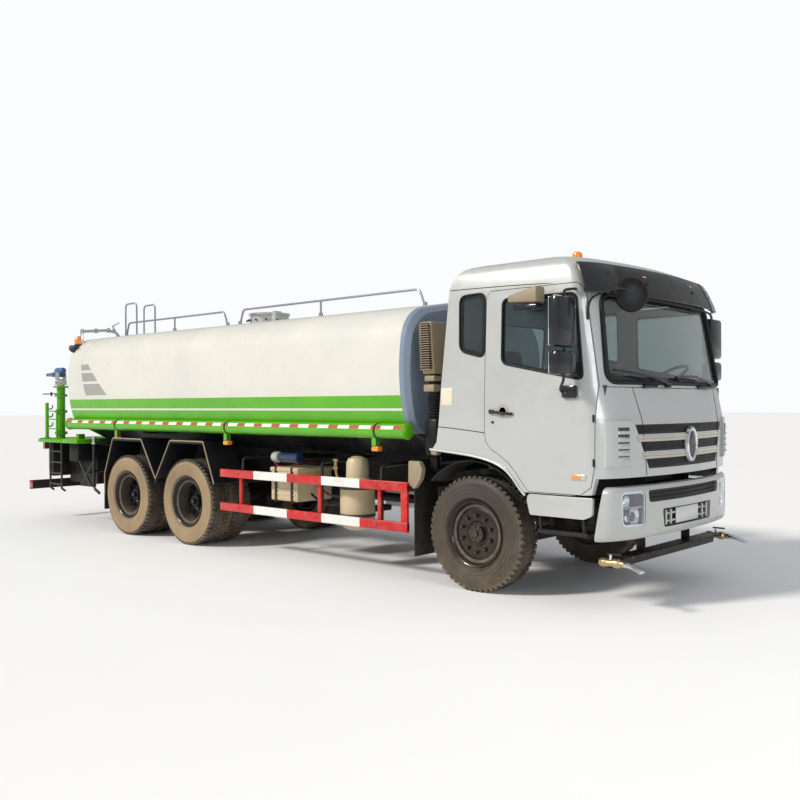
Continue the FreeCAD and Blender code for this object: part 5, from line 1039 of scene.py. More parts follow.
def closed_sheet(outer_rows, inner_rows):
    """A closed sheet between two layers of places, given as rows with as many columns."""
    part = bmesh.new()
    outer, inner = [[[part.verts.new(place) for place in row] for row in rows]
                    for rows in (outer_rows, inner_rows)]
    for layer in (outer, inner):
        for low, high in zip(layer, layer[1:]):
            for index in range(len(low) - 1):
                part.faces.new((low[index], low[index + 1], high[index + 1], high[index]))
    last_row, last = len(outer) - 1, len(outer[0]) - 1
    rim = [(0, i) for i in range(last + 1)] + [(j, last) for j in range(1, last_row + 1)]
    rim += [(last_row, i) for i in range(last - 1, -1, -1)] + [(j, 0) for j in range(last_row - 1, 0, -1)]
    for (j, i), (k, m) in zip(rim, rim[1:] + rim[:1]):
        part.faces.new((outer[j][i], outer[k][m], inner[k][m], inner[j][i]))
    return closed(part)


def front_sheet(spots_y, spots_z, lift, thick):
    """A sheet over the nose through rows and columns, lifted off the skin."""
    across = [[y(z) for y in spots_y] for z in spots_z]
    layers = [[[(front_at(y, z) + depth, y, z) for y in row] for row, z in zip(across, spots_z)]
              for depth in (lift, lift - thick)]
    return closed_sheet(*layers)


def spread(more=0.0, steps=24):
    """Places from one side of the grille to the other, and a little more, at any height."""
    return [lambda z, share=step / steps: (grille_half(z) + more) * (2 * share - 1)
            for step in range(steps + 1)]


grille = Piece("grille", "cab", "grille_mesh")
for slot in range(3):
    low = GRILLE_LOW + slot_pitch * slot
    top = low + slot_pitch - STRIP_BAND
    pocket = front_sheet(spread(), (low, top), 0.03, 0.058)
    shell = carve(shell, pocket)
    grille.add(front_sheet(spread(0.003), (low - 0.004, top + 0.004), -0.018, 0.006))
    for slat in (0.28, 0.52, 0.76):
        z = low + (top - low) * slat
        grille.add(front_sheet(spread(-0.004), (z - 0.003, z + 0.003), -0.004, 0.012), "plastic_black")
    if slot < 2:
        for lift in (0.012, 0.038):
            z = top + lift
            grille.add(front_sheet(spread(0.028), (z - 0.009, z + 0.009), 0.008, 0.012), "strip_beige")
EMBLEM_Z = (GRILLE_LOW + GRILLE_TOP) / 2
BADGE_RING = [(0.072, 0.012), (0.076, 0.03), (0.088, 0.037), (0.098, 0.03), (0.103, 0.0), (0.072, 0.0)]
BADGE_DISC = [(0, 0.0), (0.076, 0.0), (0.076, 0.016), (0.05, 0.02), (0, 0.021)]
for profile, paint, ring in ((BADGE_RING, "chrome", True), (BADGE_DISC, "satin_black", False)):
    badge = lathe(profile, (1.537, 0, EMBLEM_Z), "x", 48, closed=ring)
    for vert in badge.verts:
        vert.co.z = EMBLEM_Z + (vert.co.z - EMBLEM_Z) * 1.56
    grille.add(badge, paint)
grille.finish()

# %% The shell becomes a piece, with the rim of the wheel arch and seams in the paint
body = Piece("cab_body", "cab", "cab_silver")
body.add(shell)
for side in (1, -1):
    lip = [(x, side * (HALF + 0.004), z) for x, z in ARCH]
    body.add(tube(lip, 0.012))
    seam = [(x, side * (HALF + 0.001), z) for x, z in ((-0.332, 1.502), (-0.1, 1.487), (0.196, 1.456))]
    body.add(tube(seam, 0.0035), "rubber_black")
    gutter = [(x, side * (side_at(x, z) - 0.001), z)
              for x, z in ((-0.215, 2.752), (0.3, 2.745), (0.9, 2.722), (1.1, 2.71))]
    body.add(tube(gutter, 0.004), "rubber_black")
body.add(block((-0.3, -0.95, 1.292), (1.36, 0.95, 1.33), 0.01), "plastic_black")
body.add(block((-0.29, -0.44, 1.3), (1.2, 0.44, 1.62), 0.03), "plastic_black")
body.finish("cab_shell", "front_panel", angle=28)

# %% [markdown]
# ## Seams and seals
# Black rubber holds every pane, and thin dark lines part the panels of the nose. Both follow the
# skin, so each point of such a line asks the form how far out it lies. A tube drawn through the
# points is the rubber, and a flat frame inside it is the painted edge of the glass.

# %% Seals round the glass
def on_side(shape, side, lift):
    return [(x, side * (side_at(x, z) + lift), z) for x, z in shape]


def on_front(shape, lift):
    return [(front_at(y, z) + lift, y, z) for y, z in shape]


def ring_frame(outer, inner, thick, spot):
    """A flat closed band between two outlines with as many points; spot puts (u, v, depth) in space."""
    part = bmesh.new()
    loops = [[part.verts.new(spot(u, v, depth)) for u, v in line]
             for line, depth in ((outer, 0.0), (inner, 0.0), (inner, -thick), (outer, -thick))]
    for first, second in zip(loops, loops[1:] + loops[:1]):
        band(part, first, second)
    return part


def pane(shape, thick, spot):
    """A thin closed sheet inside an outline, with a point in its middle."""
    part = bmesh.new()
    loops = [[part.verts.new(spot(u, v, depth)) for u, v in shape] for depth in (0.0, -thick)]
    middle = sum((Vector(point) for point in shape), Vector((0, 0))) / len(shape)
    inner = [[part.verts.new(spot(*(middle + (Vector(point) - middle) * 0.5), depth)) for point in shape]
             for depth in (0.0, -thick)]
    centres = [part.verts.new(spot(*middle, depth)) for depth in (0.0, -thick)]
    for edge, ring, centre in zip(loops, inner, centres):
        band(part, edge, ring)
        for here, after in zip(ring, ring[1:] + ring[:1]):
            part.faces.new((here, after, centre))
    band(part, *loops)
    return closed(part)


def finer(shape, pitch=0.08):
    """The same outline with more points on its long runs."""
    spots = []
    for here, after in zip(shape, list(shape[1:]) + [shape[0]]):
        here, after = Vector(here), Vector(after)
        parts = max(1, round((after - here).length / pitch))
        spots += [tuple(here.lerp(after, part / parts)) for part in range(parts)]
    return spots


def front_spot(lift):
    return lambda y, z, depth: (front_at(y, z) + lift + depth, y, z)


def side_spot(side, lift):
    return lambda x, z, depth: (x, side * (side_at(x, z) + lift + depth), z)


def shrunk(shape, by):
    return grown(shape, -by)


screen_line, quarter_line, pane_line = finer(SCREEN), finer(QUARTER), finer(PANE)
windows = Piece("cab_glass", "cab", "window_glass")
windows.add(pane(screen_line, 0.005, front_spot(-0.012)))
windows.add(pane(finer(BACK_GLASS, 0.2), 0.005, lambda y, z, depth: (-0.255 + depth, y, z)))
for side in (1, -1):
    windows.add(pane(quarter_line, 0.005, side_spot(side, -0.012)), "door_glass")
windows.finish("cab_windows")

seals = Piece("cab_seals", "cab", "rubber_black")
seals.add(tube(on_front(screen_line, 0.002), 0.02, closed=True, straight=True))
seals.add(ring_frame(screen_line, shrunk(screen_line, 0.045), 0.004, front_spot(-0.006)), "satin_black")
for side in (1, -1):
    seals.add(tube(on_side(quarter_line, side, 0.0), 0.009, closed=True, straight=True))
    seals.add(ring_frame(quarter_line, shrunk(quarter_line, 0.035), 0.004, side_spot(side, -0.006)),
              "satin_black")
NOSE_SEAMS = (((-0.8, 1.845), (-0.76, 1.6), (-0.7, 1.11)), ((0.8, 1.845), (0.76, 1.6), (0.7, 1.11)),
              ((-1.13, 1.847), (-0.6, 1.842), (0.0, 1.84), (0.6, 1.842), (1.13, 1.847)))
for line in NOSE_SEAMS:
    dense = [tuple(Vector(a).lerp(Vector(b), share / 8)) for a, b in zip(line, line[1:])
             for share in range(9)]
    seals.add(tube(on_front(dense, -0.001), 0.0032, straight=True))
back_line = finer(BACK_GLASS, 0.1)
seals.add(ring_frame(grown(back_line, 0.022), shrunk(back_line, 0.012), 0.02,
                     lambda y, z, depth: (row_at(z)[0] - 0.01 - depth, y, z)))
seals.finish()

# %% [markdown]
# ## The doors
# Each door is the part of the skin inside its outline, with the window cut out and a dark trim
# panel behind it. The handle is a black pull over a round dish, and the keyhole sits below it. The
# mirrors hang on the door, so they swing with it.

# %% A door with its glass, handle and mirrors
MIRROR_X, MIRROR_Y = 1.13, 1.44
ARMS = (((0, -0.02, 2.6), (0, -0.02, 2.0), (0, -0.02, 1.9), (-0.05, -0.06, 1.86), (-0.1, -0.12, 1.81),
         (-0.05, -0.18, 1.79), (0, -0.2, 1.79)),
        ((0, -0.02, 2.56), (0, -0.02, 2.62), (-0.01, -0.1, 2.64), (-0.02, -0.24, 2.655)))
HANDLE_X, HANDLE_Z = 0.375, 1.635
HANDLE_DISH = [(0, -0.004), (0.055, -0.004), (0.06, 0.003), (0.05, 0.004), (0.035, -0.001), (0, -0.001)]
PULL = ((-0.1, 0.012, 0.01), (-0.07, 0.03, 0.006), (0, 0.036, 0), (0.09, 0.028, -0.01), (0.13, 0.008, -0.012))
TRIM = ((0.26, 2.03), (0.26, 1.42), (0.62, 1.05), (1.14, 1.03), (1.22, 1.84))


def door(side):
    out = "left" if side > 0 else "right"
    skin = carve(cab_form(0.0), cab_form(0.03, 0.1))
    skin = carve(skin, closed(slab(DOOR, "xz", *span(side, *SIDE_CUT))), "INTERSECT")
    skin = carve(skin, closed(slab(PANE, "xz", *span(side, *SIDE_CUT))))
    piece = Piece(f"door_{out}_panel", f"{out}_door", "cab_silver")
    piece.add(skin)
    piece.add(tube(on_side(pane_line, side, 0.0), 0.011, closed=True, straight=True), "rubber_black")
    piece.add(ring_frame(pane_line, shrunk(pane_line, 0.022), 0.004, side_spot(side, -0.008)), "satin_black")
    piece.finish(f"door_{out}", angle=28)
    trim = Piece(f"door_{out}_trim", f"{out}_door", "dash_grey")
    inner, y = HALF - 0.075, HALF + 0.001
    trim.add(slab(rounded(TRIM, 0.08), "xz", inner, HALF - 0.03, 0.01))
    trim.add(block((0.45, 1.1, 1.62), (0.95, inner, 1.68), 0.02), "plastic_black")
    trim.add(lathe(HANDLE_DISH, (HANDLE_X + 0.02, y, HANDLE_Z + 0.012), "y", 32), "strip_beige")
    pull = [(HANDLE_X + along, y + away, HANDLE_Z + rise) for along, away, rise in PULL]
    trim.add(tube(pull, 0.013), "satin_black")
    low = (HANDLE_X - 0.115, y - 0.005, HANDLE_Z - 0.012)
    high = (HANDLE_X - 0.07, y + 0.026, HANDLE_Z + 0.028)
    trim.add(block(low, high, 0.008), "satin_black")
    lock_x, lock_z = HANDLE_X - 0.085, HANDLE_Z - 0.085
    trim.add(rod((lock_x, y - 0.01, lock_z), (lock_x, y + 0.006, lock_z), 0.012), "satin_black")
    for z in (1.23, 1.59):
        trim.add(rod((1.283, 1.222, z - 0.03), (1.283, 1.222, z + 0.03), 0.009), "plastic_black")
    if side < 0:
        trim.flip()
    trim.finish()
    glass_piece = Piece(f"door_{out}_pane", f"{out}_door", "door_glass")
    glass_piece.add(pane(pane_line, 0.005, side_spot(side, -0.012)))
    glass_piece.finish(f"door_glass_{out}")
    mirrors = Piece(f"door_{out}_mirrors", f"{out}_door", "satin_black")
    y_low, y_high = MIRROR_Y - 0.15, MIRROR_Y + 0.14
    for low_z, top_z in ((2.165, 2.575), (1.94, 2.135)):
        mirrors.add(block((MIRROR_X - 0.045, y_low, low_z), (MIRROR_X + 0.05, y_high, top_z), 0.035))
        mirrors.add(block((MIRROR_X - 0.052, y_low + 0.012, low_z + 0.012),
                          (MIRROR_X - 0.043, y_high - 0.012, top_z - 0.012), 0.003), "mirror_face")
    for arm in ARMS:
        line = [(MIRROR_X + along, MIRROR_Y + across, z) for along, across, z in arm]
        mirrors.add(tube(line, 0.012))
    mirrors.add(block((1.01, HALF - 0.005, 1.755), (1.15, HALF + 0.04, 1.865), 0.02))
    if side < 0:
        mirrors.flip()
    mirrors.finish()


for side in (1, -1):
    door(side)

# %% [markdown]
# ## The sun visor
# A dark smoked band stands a few centimetres off the top of the windscreen and wraps round both
# corners, where thicker caps hold it. It follows the same outlines as the cab, pushed outwards, so
# the gap behind it stays even. A bent flat plate would touch the corners and gape in the middle.

# %% A band that wraps round the cab
def wrap_line(z, push):
    """Places round the front, a distance outside the skin, from one side to the other."""
    row = row_at(z)
    *poles, radius = corner_poles(*row[1:])
    corner_y = row[4]
    line = [tuple(on_curve(poles, 0.25 + 0.75 * step / 8)) for step in range(9)]
    line += [(ahead(row, corner_y * (1 - step / 5)), corner_y * (1 - step / 5)) for step in range(1, 5)]
    line += [(ahead(row, 0), 0)] + [(x, -y) for x, y in reversed(line)]
    pushed = []
    for index, here in enumerate(line):
        run = Vector(line[min(index + 1, len(line) - 1)]) - Vector(line[max(index - 1, 0)])
        normal = Vector((-run.y, run.x)).normalized()
        pushed.append((here[0] + normal.x * push, here[1] + normal.y * push, z))
    return pushed


VISOR_LEVELS = ((2.615, 0.098), (2.625, 0.104), (2.7, 0.088), (2.8, 0.068), (2.872, 0.062), (2.882, 0.056))
CAP_COLUMNS = 8
visor = Piece("sun_visor_dressed", "cab", "visor_smoked")
outer = [wrap_line(z, push) for z, push in VISOR_LEVELS]
inner = [wrap_line(z, push - 0.012) for z, push in VISOR_LEVELS]
visor.add(closed_sheet([row[CAP_COLUMNS - 1:-CAP_COLUMNS + 1] for row in outer],
                       [row[CAP_COLUMNS - 1:-CAP_COLUMNS + 1] for row in inner]))
for columns in (slice(0, CAP_COLUMNS), slice(-CAP_COLUMNS, None)):
    thick = [wrap_line(z, push - 0.03)[columns] for z, push in VISOR_LEVELS]
    proud = [wrap_line(z, push + 0.005)[columns] for z, push in VISOR_LEVELS]
    visor.add(closed_sheet(proud, thick), "satin_black")
for y in (-0.95, -0.45, 0.45, 0.95):
    x, z = front_at(y, 2.74), 2.74
    visor.add(rod((x - 0.02, y, z), (x + 0.085, y, z), 0.014), "plastic_black")
    visor.add(block((front_at(y, 2.8) + 0.055, y - 0.02, 2.795), (front_at(y, 2.8) + 0.078, y + 0.02, 2.807),
                    0.004), "lamp_amber" if abs(y) < 0.5 else "plastic_black")
visor.finish("sun_visor")

# %% [markdown]
# ## Mirrors and the beacon on the roof
# A round mirror on a thin arm looks down in front of the nose, and a beaked one over the door looks
# down at the kerb. The beacon is an amber dome on a ring. Domes and bowls are turned forms.

# %% Round mirror, kerb mirror and beacon
MIRROR_TURN = math.radians(40)
BEACON = (0.92, -0.86, 2.95)
roof = Piece("roof_mirror_and_beacon", "cab", "plastic_black")
bowl = lathe([(0, -0.028), (0.06, -0.026), (0.11, -0.017), (0.138, -0.002), (0.146, 0.012), (0.142, 0.02),
              (0.132, 0.018), (0, 0.018)], (0, 0, 0), "x", 48)
MIRROR_SPOT = Vector((1.455, -0.895, 2.605))
roof.add(turned(bowl, math.pi - MIRROR_TURN, "Z", place=MIRROR_SPOT))
roof.add(tube([MIRROR_SPOT + Vector((-0.01, -0.05, 0.04)), MIRROR_SPOT + Vector((-0.05, -0.14, 0.05)),
               (1.24, -1.13, 2.6), (1.2, -1.17, 2.52), (1.205, -1.165, 2.4)], 0.01), "satin_black")
roof.add(lathe([(0, 0.0), (0.055, 0.0), (0.055, 0.016), (0.045, 0.018), (0.0, 0.018)], BEACON, "z", 32))
roof.add(lathe([(0.0, 0.016), (0.043, 0.016), (0.043, 0.045), (0.036, 0.062), (0.018, 0.072), (0, 0.074)],
               BEACON, "z", 32), "lamp_amber")
for y in (-0.55, 0.55):
    roof.add(block((0.98, y - 0.05, 2.915), (1.04, y + 0.05, 2.945), 0.008), "lamp_amber")
roof.finish("roof_fittings")

kerb = Piece("kerb_mirror", "right_door", "edge_beige")
housing = block((0.56, -1.425, 2.515), (0.87, -1.275, 2.665), 0.03)
for vert in housing.verts:
    share = (vert.co.x - 0.56) / 0.31
    vert.co.z = 2.6 + (vert.co.z - 2.6) * (0.35 + 0.65 * share) + 0.03 * share
    vert.co.y = -1.35 + (vert.co.y + 1.35) * (0.7 + 0.3 * share)
kerb.add(housing)
glass_bowl = block((0.62, -1.41, 2.5), (0.865, -1.29, 2.54), 0.015)
kerb.add(glass_bowl, "satin_black")
kerb.add(tube([(0.72, -1.3, 2.63), (0.74, -1.26, 2.67), (0.75, -1.2, 2.7)], 0.014), "satin_black")
kerb.finish()

# %% [markdown]
# ## Wipers and the deflectors beside the nose
# Two wipers rest on the lower edge of the windscreen. Each is a pivot, a bent arm and a long blade.
# At each corner of the nose a raised panel with five slats turns the air away from the door, and a
# dark grey sheet of painted shade lies in each gap between its slats.

# %% Two wipers
wipers = Piece("wipers", "cab", "satin_black")
for pivot_y, tip_y, tip_z in ((-0.62, -1.02, 1.985), (0.36, -0.16, 1.935)):
    elbow = Vector((front_at(pivot_y + 0.3, 1.875) + 0.04, pivot_y + 0.3, 1.868))
    tip = Vector((front_at(tip_y, tip_z) + 0.03, tip_y, tip_z))
    mid = Vector((front_at((pivot_y + tip_y) / 2, 1.96) + 0.05, (pivot_y + tip_y) / 2, 1.965))
    wipers.add(rod(elbow - Vector((0.045, 0, 0)), elbow + Vector((0.012, 0, 0)), 0.022))
    wipers.add(tube([elbow, elbow + Vector((0.01, -0.12, 0.045)), mid, tip], 0.011))
    blade = [(front_at(tip_y + step * 0.12, tip_z - 0.012 * step) + 0.024, tip_y + step * 0.12,
              tip_z - 0.012 * step) for step in range(6)]
    wipers.add(tube(blade, 0.008), "rubber_black")
    cowl = front_at(pivot_y, 1.845)
    wipers.add(block((cowl - 0.004, pivot_y - 0.05, 1.838), (cowl + 0.02, pivot_y + 0.32, 1.868), 0.008))
wipers.finish()

# %% Two corner panels with slats
corner = Piece("corner_panels", "cab", "cab_silver")
PANEL_LOW, PANEL_TOP = 1.19, 1.575


def corner_sheet(y_from, y_to, z_low, z_top, lift, thick, steps=8):
    spots = [y_from + (y_to - y_from) * step / steps for step in range(steps + 1)]
    levels = [z_low, z_low + 0.012, z_top - 0.012, z_top]
    drop = [0.01, 0.0, 0.0, 0.01]
    outer = [[(front_at(y, z) + lift - down, y, z) for y in spots] for z, down in zip(levels, drop)]
    inner = [[(front_at(y, z) + lift - thick, y, z) for y in spots] for z in levels]
    return closed_sheet(outer, inner)


corner.add(corner_sheet(-1.165, -0.905, PANEL_LOW, PANEL_TOP, 0.024, 0.03))
slat = corner_sheet(-1.065, -0.945, 1.235, 1.262, 0.038, 0.02, 4)
corner.repeat(slat, 5, step=(0, 0, 0.056))
# A dark grey sheet in each gap between the slats is painted shade.
slat_shade_sheet = corner_sheet(-1.062, -0.948, 1.262, 1.291, 0.0252, 0.004, 4)
corner.repeat(slat_shade_sheet, 5, "dash_grey", step=(0, 0, 0.056))
corner.mirror()
corner.finish()

# %% [markdown]
# ## The bumper and its lamps
# The bumper is the same kind of form as the nose, lower and a little further forward. It is hollow,
# with a slot for air, a recess for the number plate and rounded holes for the lamps. Behind each
# lamp's clear cover sit two bright bowls, a dark one and a projector lens.

# %% The bumper's shell
BUMPER_ROW = (1.15, 1.24, 1.23, 1.48, 0.8, 1.54)
BUMPER_LEVELS = ((0.585, 0.04), (0.592, 0.018), (0.612, 0.004), (0.64, 0.0), (0.975, 0.0), (1.0, 0.003),
                 (1.02, 0.014), (1.03, 0.034))


def bumper_stack(inset, grow=0.0):
    rear, half, side_x, corner_x, corner_y, front = BUMPER_ROW
    rows = [(z, rear - grow, half - inset - soft, side_x, corner_x - inset - soft, corner_y,
             front - inset - soft) for z, soft in BUMPER_LEVELS]
    rows[0] = (rows[0][0] - grow, *rows[0][1:])
    rows[-1] = (rows[-1][0] + grow, *rows[-1][1:])
    return stack(rows)


LAMP = rounded(((-1.02, 0.7), (-0.735, 0.69), (-0.735, 0.955), (-0.77, 0.985), (-1.03, 0.985)), 0.05)
SLOT = rounded(((-0.68, 0.882), (0.68, 0.882), (0.695, 0.985), (-0.695, 0.985)), 0.03)
RECESS = rounded(((-0.46, 0.655), (0.46, 0.655), (0.48, 0.815), (-0.48, 0.815)), 0.03)
BEHIND = ((0.9, 0.4), (1.283, 0.4), (1.283, 0.59), (1.345, 1.03), (1.36, 1.2), (0.9, 1.2))
bumper_skin = carve(bumper_stack(0.0), bumper_stack(0.032, 0.05))
bumper_skin = carve(bumper_skin, closed(slab(BEHIND, "xz", -1.6, 1.6)))
FAR_LAMP = [(-y, z) for y, z in LAMP]
for shape, start in ((LAMP, 1.2), (FAR_LAMP, 1.2), (SLOT, 1.3), (RECESS, 1.3)):
    bumper_skin = carve(bumper_skin, closed(slab(shape, "yz", start, 1.8)))


def on_bumper(lift):
    return lambda y, z, depth: (ahead(BUMPER_ROW, y) + lift + depth, y, z)


bumper = Piece("bumper", "chassis", "cab_silver")
bumper.add(bumper_skin)
bumper.add(pane(finer(SLOT, 0.1), 0.008, on_bumper(-0.03)), "grille_mesh")
bumper.add(pane(finer(RECESS, 0.1), 0.008, on_bumper(-0.034)), "plastic_black")
for z in (0.915, 0.95):
    rail = [(ahead(BUMPER_ROW, y) - 0.016, y, z) for y in [-0.7 + 0.1 * step for step in range(15)]]
    bumper.add(tube(rail, 0.007), "plastic_black")
bumper.add(block((1.512, -0.235, 0.668), (1.518, 0.215, 0.802), 0.004), "plate_blank")
for y in (-0.42, -0.33, 0.3, 0.39):
    bumper.add(block((1.505, y - 0.012, 0.672), (1.522, y + 0.012, 0.8), 0.004))
for z in (0.7, 0.765):
    bumper.add(block((1.503, -0.43, z - 0.009), (1.511, 0.4, z + 0.009), 0.003))
bumper.add(block((1.28, -0.4, 0.62), (1.46, 0.4, 0.99), 0.01), "chassis_black")
bumper.finish("front_bumper", angle=28)

# %% The headlamps
lamps = Piece("headlamps_dressed", "chassis", "lamp_glass")


def lamp_bowl(y, z, radius, depth):
    """A bright dish, open to the front."""
    x = ahead(BUMPER_ROW, y) - 0.022
    return lathe([(0, -depth), (radius * 0.4, -depth * 0.96), (radius * 0.75, -depth * 0.6), (radius, 0),
                  (radius * 1.08, 0), (radius * 1.08, -0.01), (radius * 0.8, -depth * 0.7),
                  (0, -depth - 0.006)], (x, y, z), "x", 32)


for flip in (1, -1):
    line = finer([(flip * y, z) for y, z in LAMP], 0.06)
    lamps.add(pane(line, 0.004, on_bumper(-0.003)))
    lamps.add(ring_frame(line, shrunk(line, 0.018), 0.02, on_bumper(-0.008)), "chrome")
    lamps.add(pane(line, 0.004, on_bumper(-0.105)), "plastic_black")
    lamps.add(lamp_bowl(flip * 0.86, 0.775, 0.074, 0.05), "chrome")
    lamps.add(lamp_bowl(flip * 0.955, 0.9, 0.052, 0.045), "chrome")
    lamps.add(lamp_bowl(flip * 0.83, 0.915, 0.042, 0.04), "satin_black")
    x = ahead(BUMPER_ROW, 0.86) - 0.06
    lamps.add(lathe([(0, 0.042), (0.022, 0.038), (0.04, 0.022), (0.048, 0.0), (0, 0.0)],
                    (x, flip * 0.86, 0.775), "x", 32))
    lamps.add(rod((x - 0.03, flip * 0.86, 0.775), (x, flip * 0.86, 0.775), 0.052), "chrome")
    bar = [(ahead(BUMPER_ROW, abs(y)) - 0.03, flip * y, 0.852 - 0.01 * (y - 0.8))
           for y in (0.76, 0.82, 0.89, 0.95, 1.005)]
    lamps.add(tube(bar, 0.01), "strip_beige")
lamps.finish("headlamps")

# %% [markdown]
# ## Steps below the doors
# A silver skirt closes the side below each door, and a toothed black tread hangs under it on two
# bent hangers. The teeth let mud fall through and give a boot grip.

# %% Skirt, hangers and toothed tread
steps = Piece("steps", "chassis", "cab_silver")
SKIRT = ((0.66, 0.945), (0.64, 0.9), (0.672, 0.765), (1.2, 0.765), (1.275, 0.8), (1.281, 0.945))
steps.add(slab(rounded(SKIRT, 0.02, 3), "xz", 1.205, 1.238, 0.006))
steps.add(block((0.68, 0.95, 0.925), (1.27, 1.215, 0.94), 0.004), "plastic_black")
steps.add(block((0.7, 0.93, 0.78), (1.25, 0.95, 0.94), 0.004), "plastic_black")
TREAD_X, TREAD_LONG, TREAD_Z = 0.735, 0.48, 0.615
steps.add(block((TREAD_X, 1.02, TREAD_Z), (TREAD_X + TREAD_LONG, 1.045, TREAD_Z + 0.03), 0.004),
          "chassis_black")
steps.add(block((TREAD_X, 1.195, TREAD_Z), (TREAD_X + TREAD_LONG, 1.215, TREAD_Z + 0.03), 0.004),
          "chassis_black")
steps.repeat(block((TREAD_X, 1.04, TREAD_Z + 0.004), (TREAD_X + 0.006, 1.2, TREAD_Z + 0.03), 0.001), 13,
             "chassis_black", step=(0.0395, 0, 0))
tooth = slab(((TREAD_X, TREAD_Z + 0.028), (TREAD_X + 0.02, TREAD_Z + 0.028),
              (TREAD_X + 0.01, TREAD_Z + 0.044)), "xz", 1.196, 1.214)
steps.repeat(tooth, 24, "chassis_black", step=(0.02, 0, 0))
for x in (TREAD_X + 0.03, TREAD_X + TREAD_LONG - 0.03):
    steps.add(tube([(x, 1.03, 0.8), (x, 1.03, 0.66), (x, 1.04, TREAD_Z + 0.01), (x, 1.12, TREAD_Z - 0.004),
                    (x, 1.2, TREAD_Z + 0.004)], 0.013), "chassis_black")
    steps.add(tube([(x, 1.22, 0.78), (x, 1.215, 0.7), (x, 1.205, TREAD_Z + 0.02)], 0.011), "chassis_black")
steps.mirror()
steps.finish("side_steps")

# %% [markdown]
# ## The front spray bar
# A dark beam under the bumper carries a brass valve and a flat chrome spout at each end. The spout
# is a rod squeezed flat and wide towards its mouth, which is how such duckbills are forged.

# %% Beam, valves and duckbills
bar = Piece("spray_bar_dressed", "chassis", "chassis_black")
bar.add(block((1.245, -0.98, 0.345), (1.335, 0.98, 0.435), 0.008))
bar.add(block((1.335, -0.98, 0.425), (1.42, 0.98, 0.44), 0.004))
for side in (1, -1):
    bar.add(slab(((1.25, 0.43), (1.33, 0.43), (1.33, 0.8), (1.25, 0.8)), "xz", side * 0.43, side * 0.45,
                 0.003))
    bar.repeat(rod((1.42, side * 0.3, 0.432), (1.427, side * 0.3, 0.432), 0.012, steps=6), 4, "cast_grey",
               step=(0, side * 0.18, 0))
    y, z = side * 1.039, 0.405
    bar.add(rod((1.29, side * 0.97, z - 0.01), (1.29, y, z - 0.01), 0.026), "brass_fitting")
    bar.add(lathe([(0, 0), (0.03, 0), (0.036, 0.012), (0.036, 0.05), (0.028, 0.06), (0.028, 0.12),
                   (0.038, 0.13), (0.038, 0.17), (0.026, 0.185), (0.026, 0.23), (0, 0.23)], (1.235, y, z),
                  "x", 24), "brass_fitting")
    bar.add(rod((1.33, y, z + 0.02), (1.33, y, z + 0.07), 0.012), "chrome")
    bar.add(block((1.3, y - 0.012, z + 0.066), (1.42, y + 0.012, z + 0.08), 0.004), "satin_black")
    spout = lathe([(0, 0), (0.026, 0), (0.028, 0.04), (0.03, 0.09), (0.034, 0.15), (0.03, 0.165), (0, 0.165)],
                  (1.455, y, z), "x", 24)
    for vert in spout.verts:
        share = (vert.co.x - 1.455) / 0.165
        vert.co.y = y + (vert.co.y - y) * (1 + 0.75 * share) + side * 0.02 * share
        vert.co.z = z + (vert.co.z - z) * (1 - 0.72 * share) - 0.045 * share ** 2
    bar.add(spout, "chrome")
bar.finish("spray_bar")

# %% [markdown]
# ## Small lamps, reflectors and seats
# A pale reflector sits behind the side window and a marker lamp low on each door. Each seat is a
# foam pad, a backrest and a headrest. A pad is a box divided finely and swollen towards its middle,
# with its sides drawn in between the corners, because cloth over foam never lies flat.

# %% Reflectors and marker lamps
marks = Piece("side_reflectors", "cab", "reflector_beige")
marks.add(block((-0.298, -1.243, 1.7), (-0.169, -1.232, 1.86), 0.005))
marks.mirror()
marks.finish()
for name, side in (("left_door", 1), ("right_door", -1)):
    marker = Piece(f"{name}_marker", name, "cab_silver")
    marker.add(block((1.083, 1.234, 1.083), (1.223, 1.25, 1.133), 0.008))
    marker.add(block((1.095, 1.246, 1.092), (1.18, 1.256, 1.124), 0.006), "lamp_amber")
    if side < 0:
        marker.flip()
    marker.finish()


# %% Padded seats
def cushion(low, high, swell, lean=0.0):
    """A crowned pad: fullest in the middle of each face, drawn in along its edges."""
    form = block(low, high, min(b - a for a, b in zip(low, high)) * 0.22)
    bmesh.ops.subdivide_edges(form, edges=[edge for edge in form.edges if edge.calc_length() > 0.03], cuts=7,
                              use_grid_fill=True)
    middle = [(a + b) / 2 for a, b in zip(low, high)]
    half = [(b - a) / 2 for a, b in zip(low, high)]
    for vert in form.verts:
        share = [(vert.co[i] - middle[i]) / half[i] for i in range(3)]
        for i in range(3):
            others = [share[j] for j in range(3) if j != i]
            vert.co[i] += share[i] * swell * ((1 - others[0] ** 2) * (1 - others[1] ** 2) - 0.35)
        vert.co.x -= lean * (vert.co.z - low[2])
    return form


for name, y in (("left", 0.78), ("right", -0.78)):
    for part, low, high, swell, lean in (
            ("pad", (0.3, y - 0.26, 1.5), (0.8, y + 0.26, 1.63), 0.022, 0.0),
            ("back", (0.225, y - 0.25, 1.62), (0.335, y + 0.25, 2.03), 0.02, 0.22),
            ("head", (0.13, y - 0.13, 2.05), (0.22, y + 0.13, 2.19), 0.014, 0.1)):
        pad = Piece(f"seat_{name}_{part}", "cab", "seat_cloth")
        pad.add(cushion(low, high, swell, lean))
        piece = pad.finish(*(["seats"] if (name, part) == ("left", "pad") else []), angle=60)
frames = Piece("seat_frames", "cab", "plastic_black")
for y in (0.78, -0.78):
    frames.add(block((0.32, y - 0.22, 1.34), (0.76, y + 0.22, 1.5), 0.02))
    frames.repeat(rod((0.165, y - 0.06, 1.98), (0.175, y - 0.06, 2.09), 0.008), 2, "rail_steel",
                  step=(0, 0.12, 0))
frames.finish()

